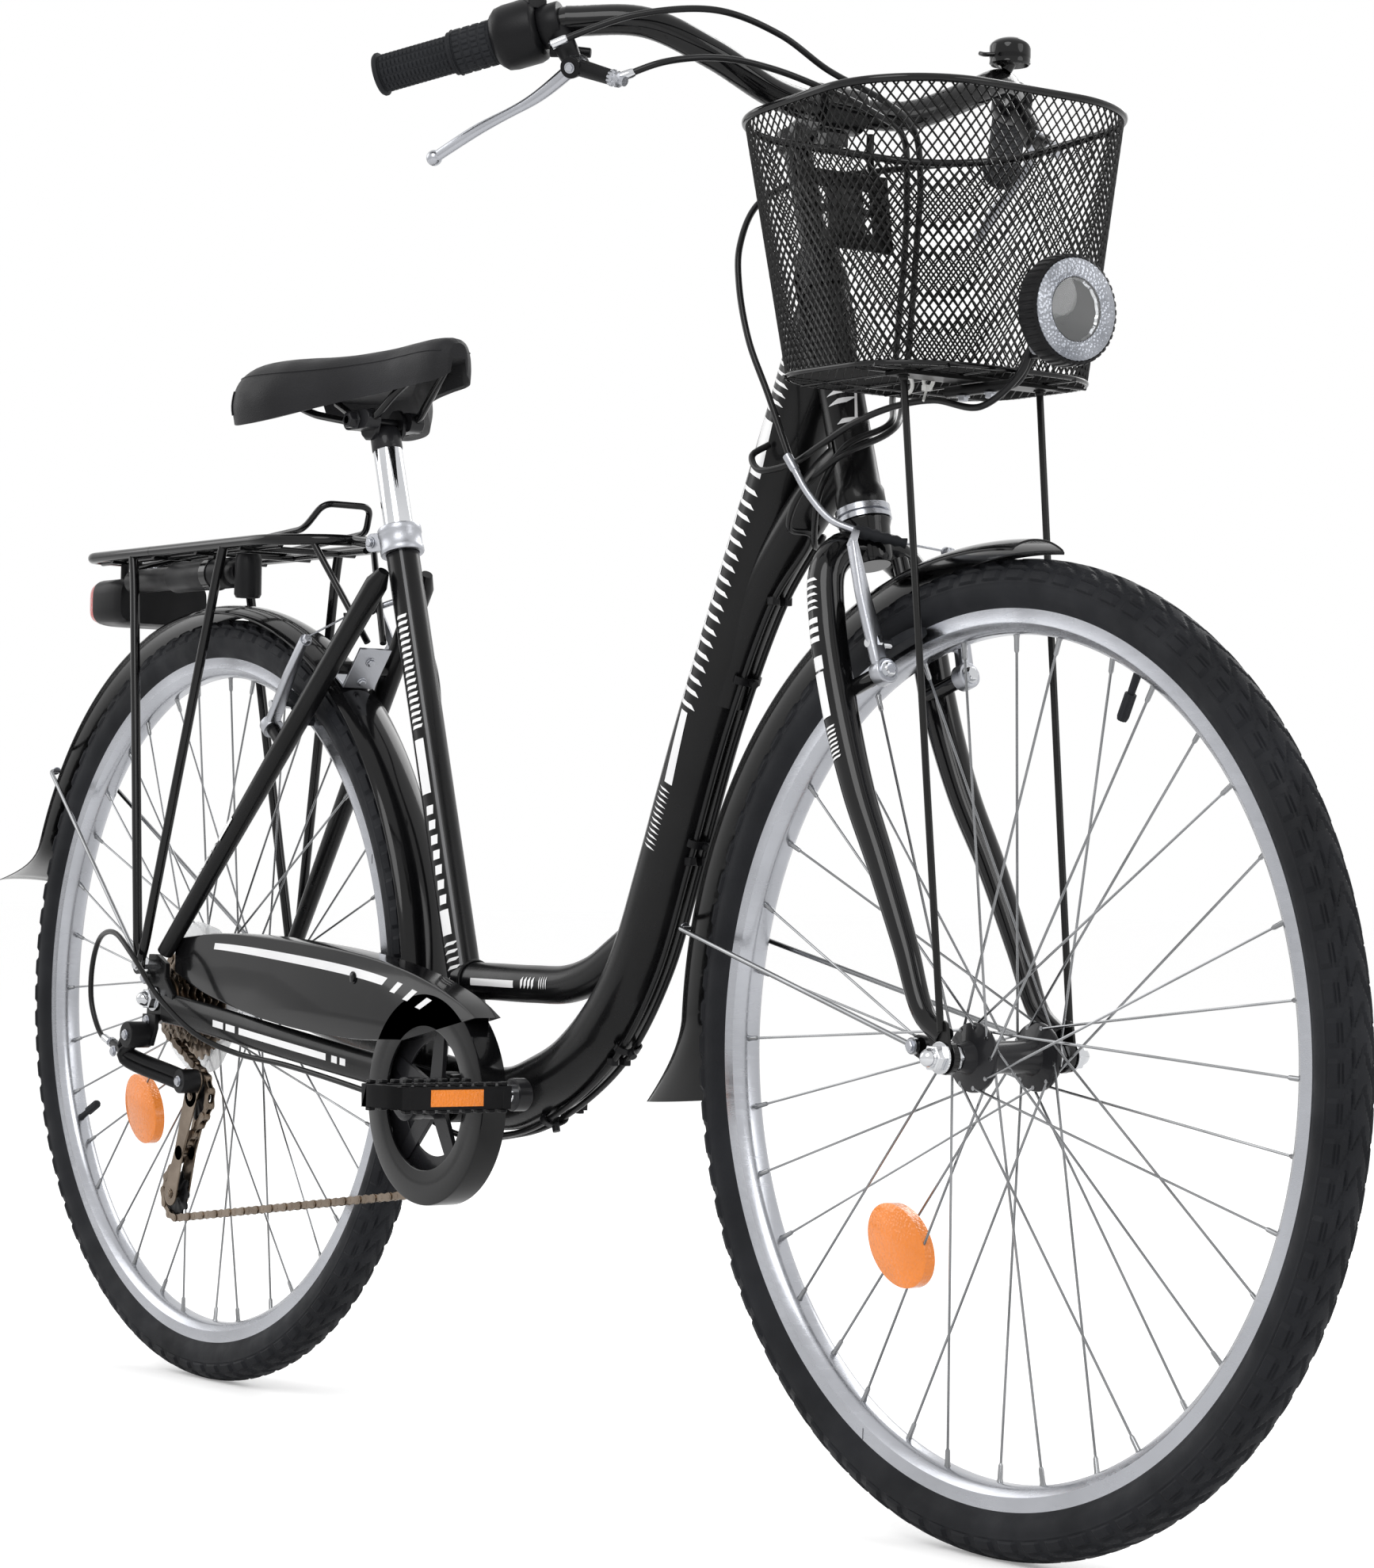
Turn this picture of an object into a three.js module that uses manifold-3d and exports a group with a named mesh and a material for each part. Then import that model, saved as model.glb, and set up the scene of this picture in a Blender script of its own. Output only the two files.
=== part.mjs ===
// A step-through city bicycle with seven gears, two rim brakes, mudguards, a rear rack and a front basket.
// Millimetres. +X points forward, +Y to the rider's left, +Z up, and the tyres stand on z = 0.
// While the pieces are made, x = 0 is the rear axle; at the end the whole bicycle is centred over the origin.
import * as THREE from 'three';
import { mergeVertices } from 'three/addons/utils/BufferGeometryUtils.js';
import Module from 'manifold-3d';

const wasm = await Module();
wasm.setup();

// Layout of the bicycle
const wheelbase = 1113;
const bracketReach = 445;
const bracketHeight = 283;
const tubeAngle = 72.5 * Math.PI / 180;
const forkRake = 47.8;
const forkLength = 418.3;
const headTubeLength = 174;
const seatTubeLength = 508;
const runningGap = 0.3;

// Wheels and tyres
const tyreRadius = 349;
const tyreWidth = 38;
const tyreNeckWidth = 19;
const rimEdgeRadius = 317;
const rimWidth = 25;
const rimLip = 2.6;
const rimWellDepth = 8.5;
const rimTrackHeight = 13;
const rimDepth = 21;
const rimRidgeWidth = 16;
const spokeRadius = 1;
const spokePairs = 9;
const valveRadius = 3;
const valveLength = 38;
const axleRadius = 4.75;
const coneRadius = 9;
const coneWidth = 6;
const frontLocknut = 50;
const rearLocknut = 63;
const frontFlange = 29;
const driveFlange = 17.5;
const restFlange = 33;
const flangeRadius = 24;
const flangeThickness = 4.4;
const hubShellRadius = 11;
const protectorRadius = 70;
const protectorThickness = 1.5;
const reflectorLength = 72;
const reflectorHeight = 52;
const reflectorThickness = 11;

// Frame tubes
const mainTubeRadius = 26;
const gussetTubeRadius = 18;
const headTubeRadius = 16.8;
const headTubeWall = 1.6;
const seatTubeRadius = 14.3;
const seatTubeWall = 1.3;
const braceRadius = 15.5;
const braceRise = 97;
const braceReach = 250;
const braceLift = 60;
const shellRadius = 20;
const shellWidth = 68;
const seatStayRadius = 10;
const seatStayTopY = 22;
const seatStayTopDrop = 42;
const seatStayBridgeRadius = 6;
const chainStayHeight = 28;
const chainStayWidth = 15;
const stayFootY = 66;
const dropoutThickness = 5.4;
const dropoutSize = 45;

// Steering and brakes
const steererRadius = 14.2;
const quillRadius = 11;
const quillTop = 734;
const quillDepth = 60;
const crownPlace = 398;
const bladeTopRadius = 13.5;
const bladeTipRadius = 7.5;
const cupRadius = 20.5;
const cupHeight = 11;
const upperCupHeight = 30;
const barRadius = 11.1;
const brakePivotRadius = 288;
const brakePivotY = 38;
const brakeArmLength = 99;
const brakeArmWidth = 18;
const brakeArmThickness = 9;
const frontStudLength = 42;
const rearStudLength = 33;
const studRadius = 6;
const padPlace = 22;
const padLength = 60;
const padHeight = 10;
const padThickness = 10;
const padGap = 3.2;

// Drive
const chainPitch = 12.7;
const chainRingTeeth = 38;
const chainLine = 45;
const toothRise = 1.2;
const discThickness = 2;
const sprocketTeeth = [28, 24, 22, 20, 18, 16, 14];
const sprocketPitch = 5;
const firstSprocketY = -24.5;
const sprocketInUse = 3;
const freewheelCoreRadius = 24;
const freewheelBossRadius = 17;
const freewheelBossDepth = 18;
const chainHalfWidth = 3.6;
const chainHalfSlot = 1.5;
const chainHalfHeight = 4;
const chainBridge = 1.7;
const pulleyTeeth = 11;
const spindleRadius = 8.5;
const spindleEnd = 52;
const crankLength = 170;
const crankTilt = 4.4 * Math.PI / 180;
const crankBossRadius = 18;
const crankThickness = 13;
const crankInnerY = 62;
const crankOuterY = 84;
const crankEndRadius = 13;
const pedalWidth = 100;
const pedalReach = 60;
const pedalThickness = 24;
const pedalInnerY = 103;
const pedalBarrelHalf = 9;
const pedalBorder = 8;
const pedalAxleRadius = 6;

// Edges that stand less than this out of a plane are left out of joined pieces
const flatness = 0.2;

const at = (x, y, z) => new THREE.Vector3(x, y, z);
const halfTurn = Math.PI;
const fullTurn = 2 * halfTurn;
const degrees = (count) => count * halfTurn / 180;
const bothSides = [-1, 1];
const rearAxle = at(0, 0, tyreRadius);
const frontAxle = at(wheelbase, 0, tyreRadius);
const bracket = at(bracketReach, 0, bracketHeight);
const upwards = at(-Math.cos(tubeAngle), 0, Math.sin(tubeAngle));
const ahead = at(Math.sin(tubeAngle), 0, Math.cos(tubeAngle));
const across = at(0, 1, 0);
const forward = at(1, 0, 0);
const upright = at(0, 0, 1);
const steeringFoot = frontAxle.clone().addScaledVector(ahead, -forkRake);
const steering = (distance) => steeringFoot.clone().addScaledVector(upwards, distance);
const seatAxis = (distance) => bracket.clone().addScaledVector(upwards, distance);
const mirrored = (point, side) => at(point.x, point.y * side, point.z);
// A place, or a table of places, given as steps from another place and perhaps mirrored
const stepFrom = (origin, [x, y, z], side = 1) => at(origin.x + x, origin.y + y * side, origin.z + z);
const stepsFrom = (origin, table, side = 1) => table.map((steps) => stepFrom(origin, steps, side));
const ordered = (side, near, far) => [side * near, side * far].sort((a, b) => a - b);
const pitchRadius = (teeth) => teeth * chainPitch / fullTurn;

const bike = new THREE.Group();
const paint = {
  frameBlack: { color: 0x0b0b0c, roughness: 0.45, metalness: 0.2 },
  glossBlack: { color: 0x08080a, roughness: 0.12, metalness: 0.2 },
  plasticBlack: { color: 0x141415, roughness: 0.5, metalness: 0 },
  rubber: { color: 0x1d1e20, roughness: 0.85, metalness: 0 },
  tyre: { color: 0x17181b, roughness: 0.9, metalness: 0 },
  silver: { color: 0xc4c7cc, roughness: 0.3, metalness: 1 },
  chrome: { color: 0xd8dadd, roughness: 0.08, metalness: 1 },
  bronze: { color: 0x4b4036, roughness: 0.35, metalness: 1 },
  saddleSkin: { color: 0x1a1b1e, roughness: 0.6, metalness: 0 },
  red: { color: 0xb01a14, roughness: 0.2, metalness: 0 },
  clear: { color: 0xdfe6ee, roughness: 0.08, metalness: 0.1 },
};

function signedVolume(geometry) {
  const corner = geometry.attributes.position;
  const index = geometry.index.array;
  const a = at(0, 0, 0), b = at(0, 0, 0), c = at(0, 0, 0);
  let volume = 0;
  for (let i = 0; i < index.length; i += 3) {
    a.fromBufferAttribute(corner, index[i]);
    b.fromBufferAttribute(corner, index[i + 1]);
    c.fromBufferAttribute(corner, index[i + 2]);
    volume += a.dot(b.cross(c)) / 6;
  }
  return volume;
}

// Shares the corners of a geometry, drops collapsed triangles and turns all faces outwards
function closed(geometry) {
  geometry.deleteAttribute('normal');
  geometry.deleteAttribute('uv');
  const merged = mergeVertices(geometry);
  const source = merged.index.array;
  const kept = [];
  for (let i = 0; i < source.length; i += 3) {
    const [a, b, c] = [source[i], source[i + 1], source[i + 2]];
    if (a !== b && b !== c && c !== a) kept.push(a, b, c);
  }
  merged.setIndex(kept);
  if (signedVolume(merged) < 0) {
    for (let i = 0; i < kept.length; i += 3) [kept[i + 1], kept[i + 2]] = [kept[i + 2], kept[i + 1]];
    merged.setIndex(kept);
  }
  return merged;
}

function toSolid(geometry) {
  const shape = closed(geometry);
  const vertProperties = new Float32Array(shape.attributes.position.array);
  const triVerts = new Uint32Array(shape.index.array);
  return new wasm.Manifold(new wasm.Mesh({ numProp: 3, vertProperties, triVerts }));
}

function toGeometry(body) {
  const mesh = body.asOriginal().simplify(flatness).getMesh();
  const geometry = new THREE.BufferGeometry();
  geometry.setAttribute('position', new THREE.BufferAttribute(new Float32Array(mesh.vertProperties), 3));
  geometry.setIndex(Array.from(mesh.triVerts));
  return geometry;
}

const joined = (first, ...others) =>
  toGeometry(others.reduce((body, other) => body.add(toSolid(other)), toSolid(first)));
const cutBy = (first, ...others) =>
  toGeometry(others.reduce((body, other) => body.subtract(toSolid(other)), toSolid(first)));

// The largest of the bodies that a cut leaves
const mainBody = (geometry) => toGeometry(
  toSolid(geometry).decompose().sort((a, b) => b.volume() - a.volume())[0]);

function addPiece(name, geometry, finish) {
  const mesh = new THREE.Mesh(closed(geometry), new THREE.MeshStandardMaterial(paint[finish]));
  mesh.name = name;
  bike.add(mesh);
}

const circle = (radius, sides) => Array.from({ length: sides }, (_, i) =>
  new THREE.Vector2(radius * Math.cos(fullTurn * i / sides), radius * Math.sin(fullTurn * i / sides)));

// A closed skin through copies of one section; each station gives its place, directions and size
function sweep(section, stations, loop = false) {
  const positions = [];
  const index = [];
  const count = section.length;
  for (const station of stations) {
    for (const corner of section) {
      const point = station.origin.clone()
        .addScaledVector(station.sideways, corner.x * station.wide)
        .addScaledVector(station.upright, corner.y * station.high);
      positions.push(point.x, point.y, point.z);
    }
  }
  const rings = stations.length;
  for (let i = 0; i < (loop ? rings : rings - 1); i++) {
    for (let j = 0; j < count; j++) {
      const a = i * count + j;
      const b = i * count + (j + 1) % count;
      const c = ((i + 1) % rings) * count + j;
      const d = ((i + 1) % rings) * count + (j + 1) % count;
      index.push(a, b, d, a, d, c);
    }
  }
  if (!loop) {
    const winding = Math.sign(THREE.ShapeUtils.area(section));
    for (const face of THREE.ShapeUtils.triangulateShape(section, [])) {
      const same = Math.sign(THREE.ShapeUtils.area(face.map((k) => section[k]))) === winding;
      const [a, b, c] = same ? face : [face[0], face[2], face[1]];
      const last = (rings - 1) * count;
      index.push(a, c, b, last + a, last + b, last + c);
    }
  }
  const geometry = new THREE.BufferGeometry();
  geometry.setAttribute('position', new THREE.Float32BufferAttribute(positions, 3));
  geometry.setIndex(index);
  return geometry;
}

// Stations along a list of points, turned as little as possible from one to the next
function stationsAlong(points, radiusAt, squeeze) {
  const last = points.length - 1;
  const tangents = points.map((point, i) => {
    const before = points[Math.max(0, i - 1)];
    return points[Math.min(last, i + 1)].clone().sub(before).normalize();
  });
  const start = Math.abs(tangents[0].y) < 1 / 2 ? across : forward;
  let high = tangents[0].clone().cross(start).normalize();
  return points.map((origin, i) => {
    high = high.clone().addScaledVector(tangents[i], -high.dot(tangents[i])).normalize();
    const radius = radiusAt(i / last);
    return { origin, sideways: high.clone().cross(tangents[i]).normalize(), upright: high,
      wide: radius * squeeze, high: radius };
  });
}

// A round tube along a smooth route, whose radius may change and which may be squeezed; its section never twists
const taperedTube = (points, radiusAt, sides, steps, squeeze = 1) => sweep(circle(1, sides),
  stationsAlong(new THREE.CatmullRomCurve3(points).getSpacedPoints(steps), radiusAt, squeeze));
const tube = (points, radius, sides, steps) => taperedTube(points, () => radius, sides, steps);

// A straight round bar, which may taper
const rod = (from, to, radius, sides = 8, endRadius = radius) =>
  sweep(circle(1, sides), stationsAlong([from, to], (share) => radius + (endRadius - radius) * share, 1));

// Bent wire through given points, each corner taken in two short steps
function wire(points, radius, sides) {
  const route = points.flatMap((point, i) => {
    if (i === 0 || i === points.length - 1) return [point];
    return [points[i - 1], points[i + 1]].map((other) =>
      point.clone().addScaledVector(other.clone().sub(point).normalize(), radius * 2));
  });
  return sweep(circle(1, sides), stationsAlong(route, () => radius, 1));
}

// A turned body round the Y axis; the profile holds pairs of radius and place along the axis
function turned(profile, sides) {
  const points = profile.map(([radius, place]) => new THREE.Vector2(radius, place));
  const closedAlready = profile[0][0] === 0 && profile[profile.length - 1][0] === 0;
  if (!closedAlready) points.push(points[0].clone());
  return new THREE.LatheGeometry(points, sides);
}

// Moves a body made round the Y axis to another axis through a point
function onAxis(geometry, origin, axis) {
  const turn = new THREE.Quaternion().setFromUnitVectors(across, axis.clone().normalize());
  return geometry.applyQuaternion(turn).translate(origin.x, origin.y, origin.z);
}

// The corner radius that keeps a many-sided bore clear of a round one
const roundAbout = (radius, sides) => radius / Math.cos(Math.PI / sides);
const moved = (geometry, place) => geometry.translate(place.x, place.y, place.z);

// A ring or bushing between two places on an axis
const sleeve = (inner, outer, low, high, sides) =>
  turned([[inner, low], [outer, low], [outer, high], [inner, high]], sides);

// A flat plate standing along the bicycle, from an outline of x and z pairs
function plate(outline, low, high) {
  const shape = new THREE.Shape(outline.map(([x, z]) => new THREE.Vector2(x, z)));
  const geometry = new THREE.ExtrudeGeometry(shape, { depth: high - low, bevelEnabled: false });
  return geometry.rotateX(halfTurn / 2).translate(0, high, 0);
}

function block(low, high) {
  const box = new THREE.BoxGeometry(high.x - low.x, high.y - low.y, high.z - low.z);
  return moved(box, low.clone().lerp(high, 1 / 2));
}

// Frame: head tube, swan-neck main tube, gusset tube, brace tube, seat tube and bracket shell
const headLow = forkLength + cupHeight;
const headHigh = headLow + headTubeLength;
const mainJoinShare = 0.86;
const mainJoin = steering(headLow + headTubeLength * mainJoinShare);
const mainReach = mainJoin.x - bracket.x;
const mainRise = mainJoin.z - bracket.z;
const onMain = ([x, z]) => at(bracket.x + mainReach * x, 0, bracket.z + mainRise * z);
const mainRouteShares = [
  [0, 0], [0.116, 0.005], [0.208, 0.025], [0.304, 0.055], [0.404, 0.109], [0.469, 0.161], [0.52, 0.22],
  [0.568, 0.298], [0.672, 0.478], [0.755, 0.611], [0.86, 0.777], [1, 1], [1.04, 1.065],
];
const gussetRouteShares = [
  [1.11, 0.86], [1.076, 0.831], [1.015, 0.803], [0.955, 0.767], [0.85, 0.686], [0.781, 0.608], [0.735, 0.535],
];
const braceRouteShares = [[0, 0], [0.2, 0], [0.42, 0], [0.62, 0.03], [0.78, 0.2], [0.9, 0.45], [1.03, 0.75]];
const braceStart = seatAxis(braceRise / Math.sin(tubeAngle));
const mainRoute = mainRouteShares.map(onMain);
const gussetRoute = gussetRouteShares.map(onMain);
const braceRoute = braceRouteShares.map(([x, z]) =>
  at(braceStart.x + braceReach * x, 0, braceStart.z + braceLift * z));

function makeFrame() {
  const aheadOfHead = rod(mainJoin, mainJoin.clone().addScaledVector(ahead, mainReach), headTubeLength, 4);
  const bent = joined(tube(mainRoute, mainTubeRadius, 12, 12), tube(gussetRoute, gussetTubeRadius, 8, 6));
  const body = joined(
    cutBy(bent, aheadOfHead),
    rod(steering(headLow), steering(headHigh), headTubeRadius, 16),
    rod(seatAxis(0), seatAxis(seatTubeLength), seatTubeRadius, 16),
    tube(braceRoute, braceRadius, 8, 7),
    moved(sleeve(0, shellRadius, -shellWidth / 2, shellWidth / 2, 16), bracket),
  );
  addPiece('frame', cutBy(
    body,
    rod(steering(headLow - headTubeWall), steering(headHigh + headTubeWall), headTubeRadius - headTubeWall, 16),
    rod(steering(headHigh), steering(headHigh + headTubeLength), mainTubeRadius * 2, 8),
    rod(seatAxis(shellRadius * 2), seatAxis(seatTubeLength + seatTubeWall), seatTubeRadius - seatTubeWall, 16),
    moved(sleeve(0, spindleRadius + runningGap * 2, -shellWidth, shellWidth, 16), bracket),
  ), 'frameBlack');
}

// Stays and drop-outs behind the seat tube, made on each side from one route
const chainStayRouteShares = [
  [0.04, 1, 0.88], [0.112, 0.91, 0.82], [0.4, 0.71, 0.56], [0.7, 0.5, 0.3], [0.84, 0.44, 0.2], [0.94, 0.36, 0.1],
];
const stayRise = tyreRadius - bracketHeight;
const chainStayRoute = (side) => chainStayRouteShares.map(([x, y, z]) =>
  at(bracketReach * x, side * stayFootY * y, bracketHeight + stayRise * z));
const chainStay = (side, margin) => taperedTube(chainStayRoute(side), () => chainStayHeight / 2 + margin, 8, 7,
  (chainStayWidth / 2 + margin) / (chainStayHeight / 2 + margin));
const seatStayTop = seatAxis(seatTubeLength - seatStayTopDrop);
const seatStayFootShares = [0.3, 0.95];
const seatStayFoot = at(dropoutSize * seatStayFootShares[0], stayFootY,
  tyreRadius + dropoutSize * seatStayFootShares[1]);
const onSeatStay = (share, side) => mirrored(
  seatStayFoot.clone().lerp(at(seatStayTop.x, seatStayTopY, seatStayTop.z), share), side);
const dropoutOutlineShares = [
  [0.75, -0.2], [0.75, 0.1], [0.42, 0.42], [0.42, 0.72], [0.05, 0.9], [-0.28, 0.9], [-0.34, 0.55], [-0.3, 0.1],
  [-0.34, -0.5], [0.12, -0.5],
];
const dropoutOutline = (lift) =>
  dropoutOutlineShares.map(([x, z]) => [dropoutSize * x, tyreRadius + dropoutSize * z + lift]);
const bridgeShare = 0.76;
const seatStayTipShare = 0.85;
const dropoutInner = rearLocknut + runningGap;
const dropoutOuter = dropoutInner + dropoutThickness;
const frontDropoutInner = frontLocknut + runningGap;
const frontDropoutOuter = frontDropoutInner + dropoutThickness;

// Each brake end: its axle, the direction up its arms and the direction in which its studs point
const stayRun = at(seatStayTop.x - seatStayFoot.x, 0, seatStayTop.z - seatStayFoot.z).normalize();
const front = { name: 'front', axle: frontAxle, angle: degrees(110), along: upwards, out: ahead };
const rear = {
  name: 'rear', axle: rearAxle, angle: degrees(59.1), along: stayRun, out: at(-stayRun.z, 0, stayRun.x),
};
const brakePivot = (end, side) => at(end.axle.x + brakePivotRadius * Math.cos(end.angle), side * brakePivotY,
  end.axle.z + brakePivotRadius * Math.sin(end.angle));

// The fixed stud of a brake arm, from inside the blade or stay up to the arm
const brakeStud = (end, side, length) => rod(
  brakePivot(end, side).addScaledVector(end.out, -length),
  brakePivot(end, side).addScaledVector(end.out, -brakeArmThickness / 2 - runningGap), studRadius, 8);

function makeStays() {
  const parts = bothSides.flatMap((side) => [
    chainStay(side, 0), plate(dropoutOutline(0), ...ordered(side, dropoutInner, dropoutOuter))]);
  const yoke = chainStayRoute(1)[4];
  addPiece('chain_stays', cutBy(
    joined(...parts, rod(mirrored(yoke, -1), yoke, seatStayRadius / 2, 8)),
    moved(sleeve(0, shellRadius + runningGap, -shellWidth, shellWidth, 16), bracket),
    moved(sleeve(0, axleRadius + runningGap, -stayFootY * 2, stayFootY * 2, 12), rearAxle),
    tube(mainRoute.slice(0, 4), mainTubeRadius + runningGap * 2, 12, 4)), 'frameBlack');

  const stays = bothSides.flatMap((side) => [
    rod(onSeatStay(0, side), onSeatStay(1, side), seatStayRadius * seatStayTipShare, 8, seatStayRadius),
    brakeStud(rear, side, rearStudLength),
  ]);
  addPiece('seat_stays', cutBy(
    joined(...stays, rod(onSeatStay(bridgeShare, -1), onSeatStay(bridgeShare, 1), seatStayBridgeRadius, 8)),
    rod(seatAxis(0), seatAxis(seatTubeLength * 2), seatTubeRadius + runningGap, 16),
    plate(dropoutOutline(runningGap), -stayFootY * 2, stayFootY * 2)), 'frameBlack');
}

// Tyre, rim, hub and spokes of one wheel
const pointOnWheel = (radius, angle, y) => at(radius * Math.cos(angle), y, radius * Math.sin(angle));
const wheelSides = 32;
const arcSteps = 6;

function makeWheel(wheel) {
  const ring = tyreWidth / 2;
  const tyreCentre = tyreRadius - ring;
  const neck = tyreNeckWidth / 2;
  const foot = rimEdgeRadius - rimWellDepth + runningGap;
  const seat = rimEdgeRadius + runningGap;
  const shoulder = Math.acos((seat - tyreCentre) / ring);
  const arc = Array.from({ length: arcSteps + 1 }, (_, i) => {
    const turn = shoulder * (1 - 2 * i / arcSteps);
    return [tyreCentre + ring * Math.cos(turn), ring * Math.sin(turn)];
  });
  const tyre = turned([[foot, -neck], [foot, neck], [seat, neck], ...arc, [seat, -neck]], wheelSides);
  addPiece(wheel.name + '_tyre', moved(tyre, wheel.axle), 'tyre');

  const half = rimWidth / 2;
  const inner = rimEdgeRadius - rimDepth;
  const rim = turned([
    [rimEdgeRadius, -half], [rimEdgeRadius - rimWellDepth, rimLip - half],
    [rimEdgeRadius - rimWellDepth, half - rimLip], [rimEdgeRadius, half],
    [inner, rimRidgeWidth / 2], [inner, -rimRidgeWidth / 2],
  ], wheelSides);
  const valve = rod(pointOnWheel(inner + rimLip, wheel.valveAngle, 0),
    pointOnWheel(inner - valveLength, wheel.valveAngle, 0), valveRadius, 6);
  addPiece(wheel.name + '_rim', moved(joined(rim, valve), wheel.axle), 'silver');

  const seatRadius = flangeRadius - spokeRadius;
  const spokeEnd = inner - spokeRadius * 2;
  const pairStep = fullTurn / spokePairs;
  const spokes = [[wheel.rightFlange, 0], [wheel.leftFlange, pairStep / 4]].flatMap(([flange, offset]) =>
    Array.from({ length: spokePairs * 2 }, (_, i) => {
      const way = i % 2 === 0 ? 1 : -1;
      const hole = pairStep * i / 2 + offset;
      const lean = Math.sign(flange) * spokeRadius;
      return rod(pointOnWheel(seatRadius, hole, flange + way * lean * 1.2),
        pointOnWheel(spokeEnd, hole + way * fullTurn / 6, lean * (2 + way * 1.2)), spokeRadius, 3);
    }));
  const spot = wheel.reflectorAngle;
  const reflector = sweep(circle(1, 8), [0, 1].map((share) => ({
    origin: pointOnWheel(wheel.reflectorRadius, spot, wheel.reflectorY - reflectorThickness * share),
    sideways: pointOnWheel(1, spot + halfTurn / 2, 0), upright: pointOnWheel(1, spot, 0),
    wide: reflectorLength / 2, high: reflectorHeight / 2,
  })));
  addPiece(wheel.name + '_hub', moved(joined(turned(wheel.hub, 12), ...spokes, reflector), wheel.axle), 'chrome');
}

function makeWheels() {
  const bore = axleRadius + runningGap * 2;
  const half = flangeThickness / 2;
  const [frontEnd, rearEnd] = [frontLocknut - coneWidth, rearLocknut - coneWidth];
  // One half of a hub, from the middle of its shell out to its bearing
  const hubHalf = (flange, end) => [
    [hubShellRadius, flange - half * 4], [flangeRadius, flange - half], [flangeRadius, flange + half],
    [coneRadius, flange + half * 2], [coneRadius, end], [bore, end]];
  const otherHalf = (profile) => profile.map(([radius, place]) => [radius, -place]).reverse();
  makeWheel({
    name: 'front', axle: frontAxle, rightFlange: -frontFlange, leftFlange: frontFlange,
    hub: [...otherHalf(hubHalf(frontFlange, frontEnd)), ...hubHalf(frontFlange, frontEnd)],
    reflectorAngle: degrees(235), reflectorRadius: 170, reflectorY: -6, valveAngle: degrees(64),
  });
  const boss = [
    [bore, -driveFlange - half - freewheelBossDepth], [freewheelBossRadius, -driveFlange - half - freewheelBossDepth],
    [freewheelBossRadius, -driveFlange - half - protectorThickness],
    [protectorRadius, -driveFlange - half - protectorThickness],
    [protectorRadius, -driveFlange - half], [flangeRadius, -driveFlange - half], [flangeRadius, -driveFlange + half],
    [hubShellRadius, -driveFlange + half * 4],
  ];
  makeWheel({
    name: 'rear', axle: rearAxle, rightFlange: -driveFlange, leftFlange: restFlange,
    hub: [...boss, ...hubHalf(restFlange, rearEnd)],
    reflectorAngle: degrees(221), reflectorRadius: 165, reflectorY: -3, valveAngle: degrees(205),
  });
}

// An axle with its locknuts, outer nuts and domed caps
const nut = { radius: 10, width: 9, capReach: 9, capShare: 0.7 };
const lugThickness = 2.3;
function makeAxle(name, axle, locknut, nutPlace) {
  const cone = locknut - coneWidth + runningGap;
  const nutEnd = nutPlace + nut.width;
  const side = [
    [axleRadius, cone], [coneRadius, cone], [coneRadius, locknut], [axleRadius, locknut], [axleRadius, nutPlace],
    [nut.radius, nutPlace], [nut.radius, nutEnd], [nut.radius * nut.capShare, nutEnd + nut.capReach * nut.capShare],
    [0, nutEnd + nut.capReach],
  ];
  const otherSide = side.map(([radius, place]) => [radius, -place]).reverse();
  addPiece(name, moved(turned([...otherSide, ...side], 8), axle), 'chrome');
}

// Freewheel with seven sprockets
function makeFreewheel() {
  const half = discThickness / 2;
  const shoulder = sprocketPitch / 2 + half / 2;
  const inner = roundAbout(freewheelBossRadius + runningGap, 12);
  const lastY = firstSprocketY - sprocketPitch * (sprocketTeeth.length - 1);
  const discs = sprocketTeeth.flatMap((teeth, i) => {
    const [place, radius] = [firstSprocketY - sprocketPitch * i, pitchRadius(teeth) + toothRise];
    return [[freewheelCoreRadius, place + half], [radius, place],
      [freewheelCoreRadius, place - half]];
  });
  addPiece('freewheel', moved(turned([
    [inner, firstSprocketY + shoulder], [freewheelCoreRadius, firstSprocketY + shoulder], ...discs,
    [freewheelCoreRadius, lastY - shoulder / 2], [inner, lastY - shoulder / 2]], 12), rearAxle), 'bronze');
}

// Chain: one closed loop round chainring, sprocket and both pulleys, a channel open to the inside
const chainY = firstSprocketY - sprocketPitch * sprocketInUse;
const guideSteps = [33, 0, -87];
const tensionSteps = [-1, 0, -178];
const guide = stepFrom(rearAxle, guideSteps);
const tension = stepFrom(rearAxle, tensionSteps);
const chainWheels = [
  { centre: bracket, radius: pitchRadius(chainRingTeeth), steps: 10 },
  { centre: tension, radius: pitchRadius(pulleyTeeth), steps: 5 },
  { centre: guide, radius: -pitchRadius(pulleyTeeth), steps: 4 },
  { centre: rearAxle, radius: pitchRadius(sprocketTeeth[sprocketInUse]), steps: 6 },
];
const wrapTurn = (angle) => ((angle % fullTurn) + fullTurn) % fullTurn;

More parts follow.
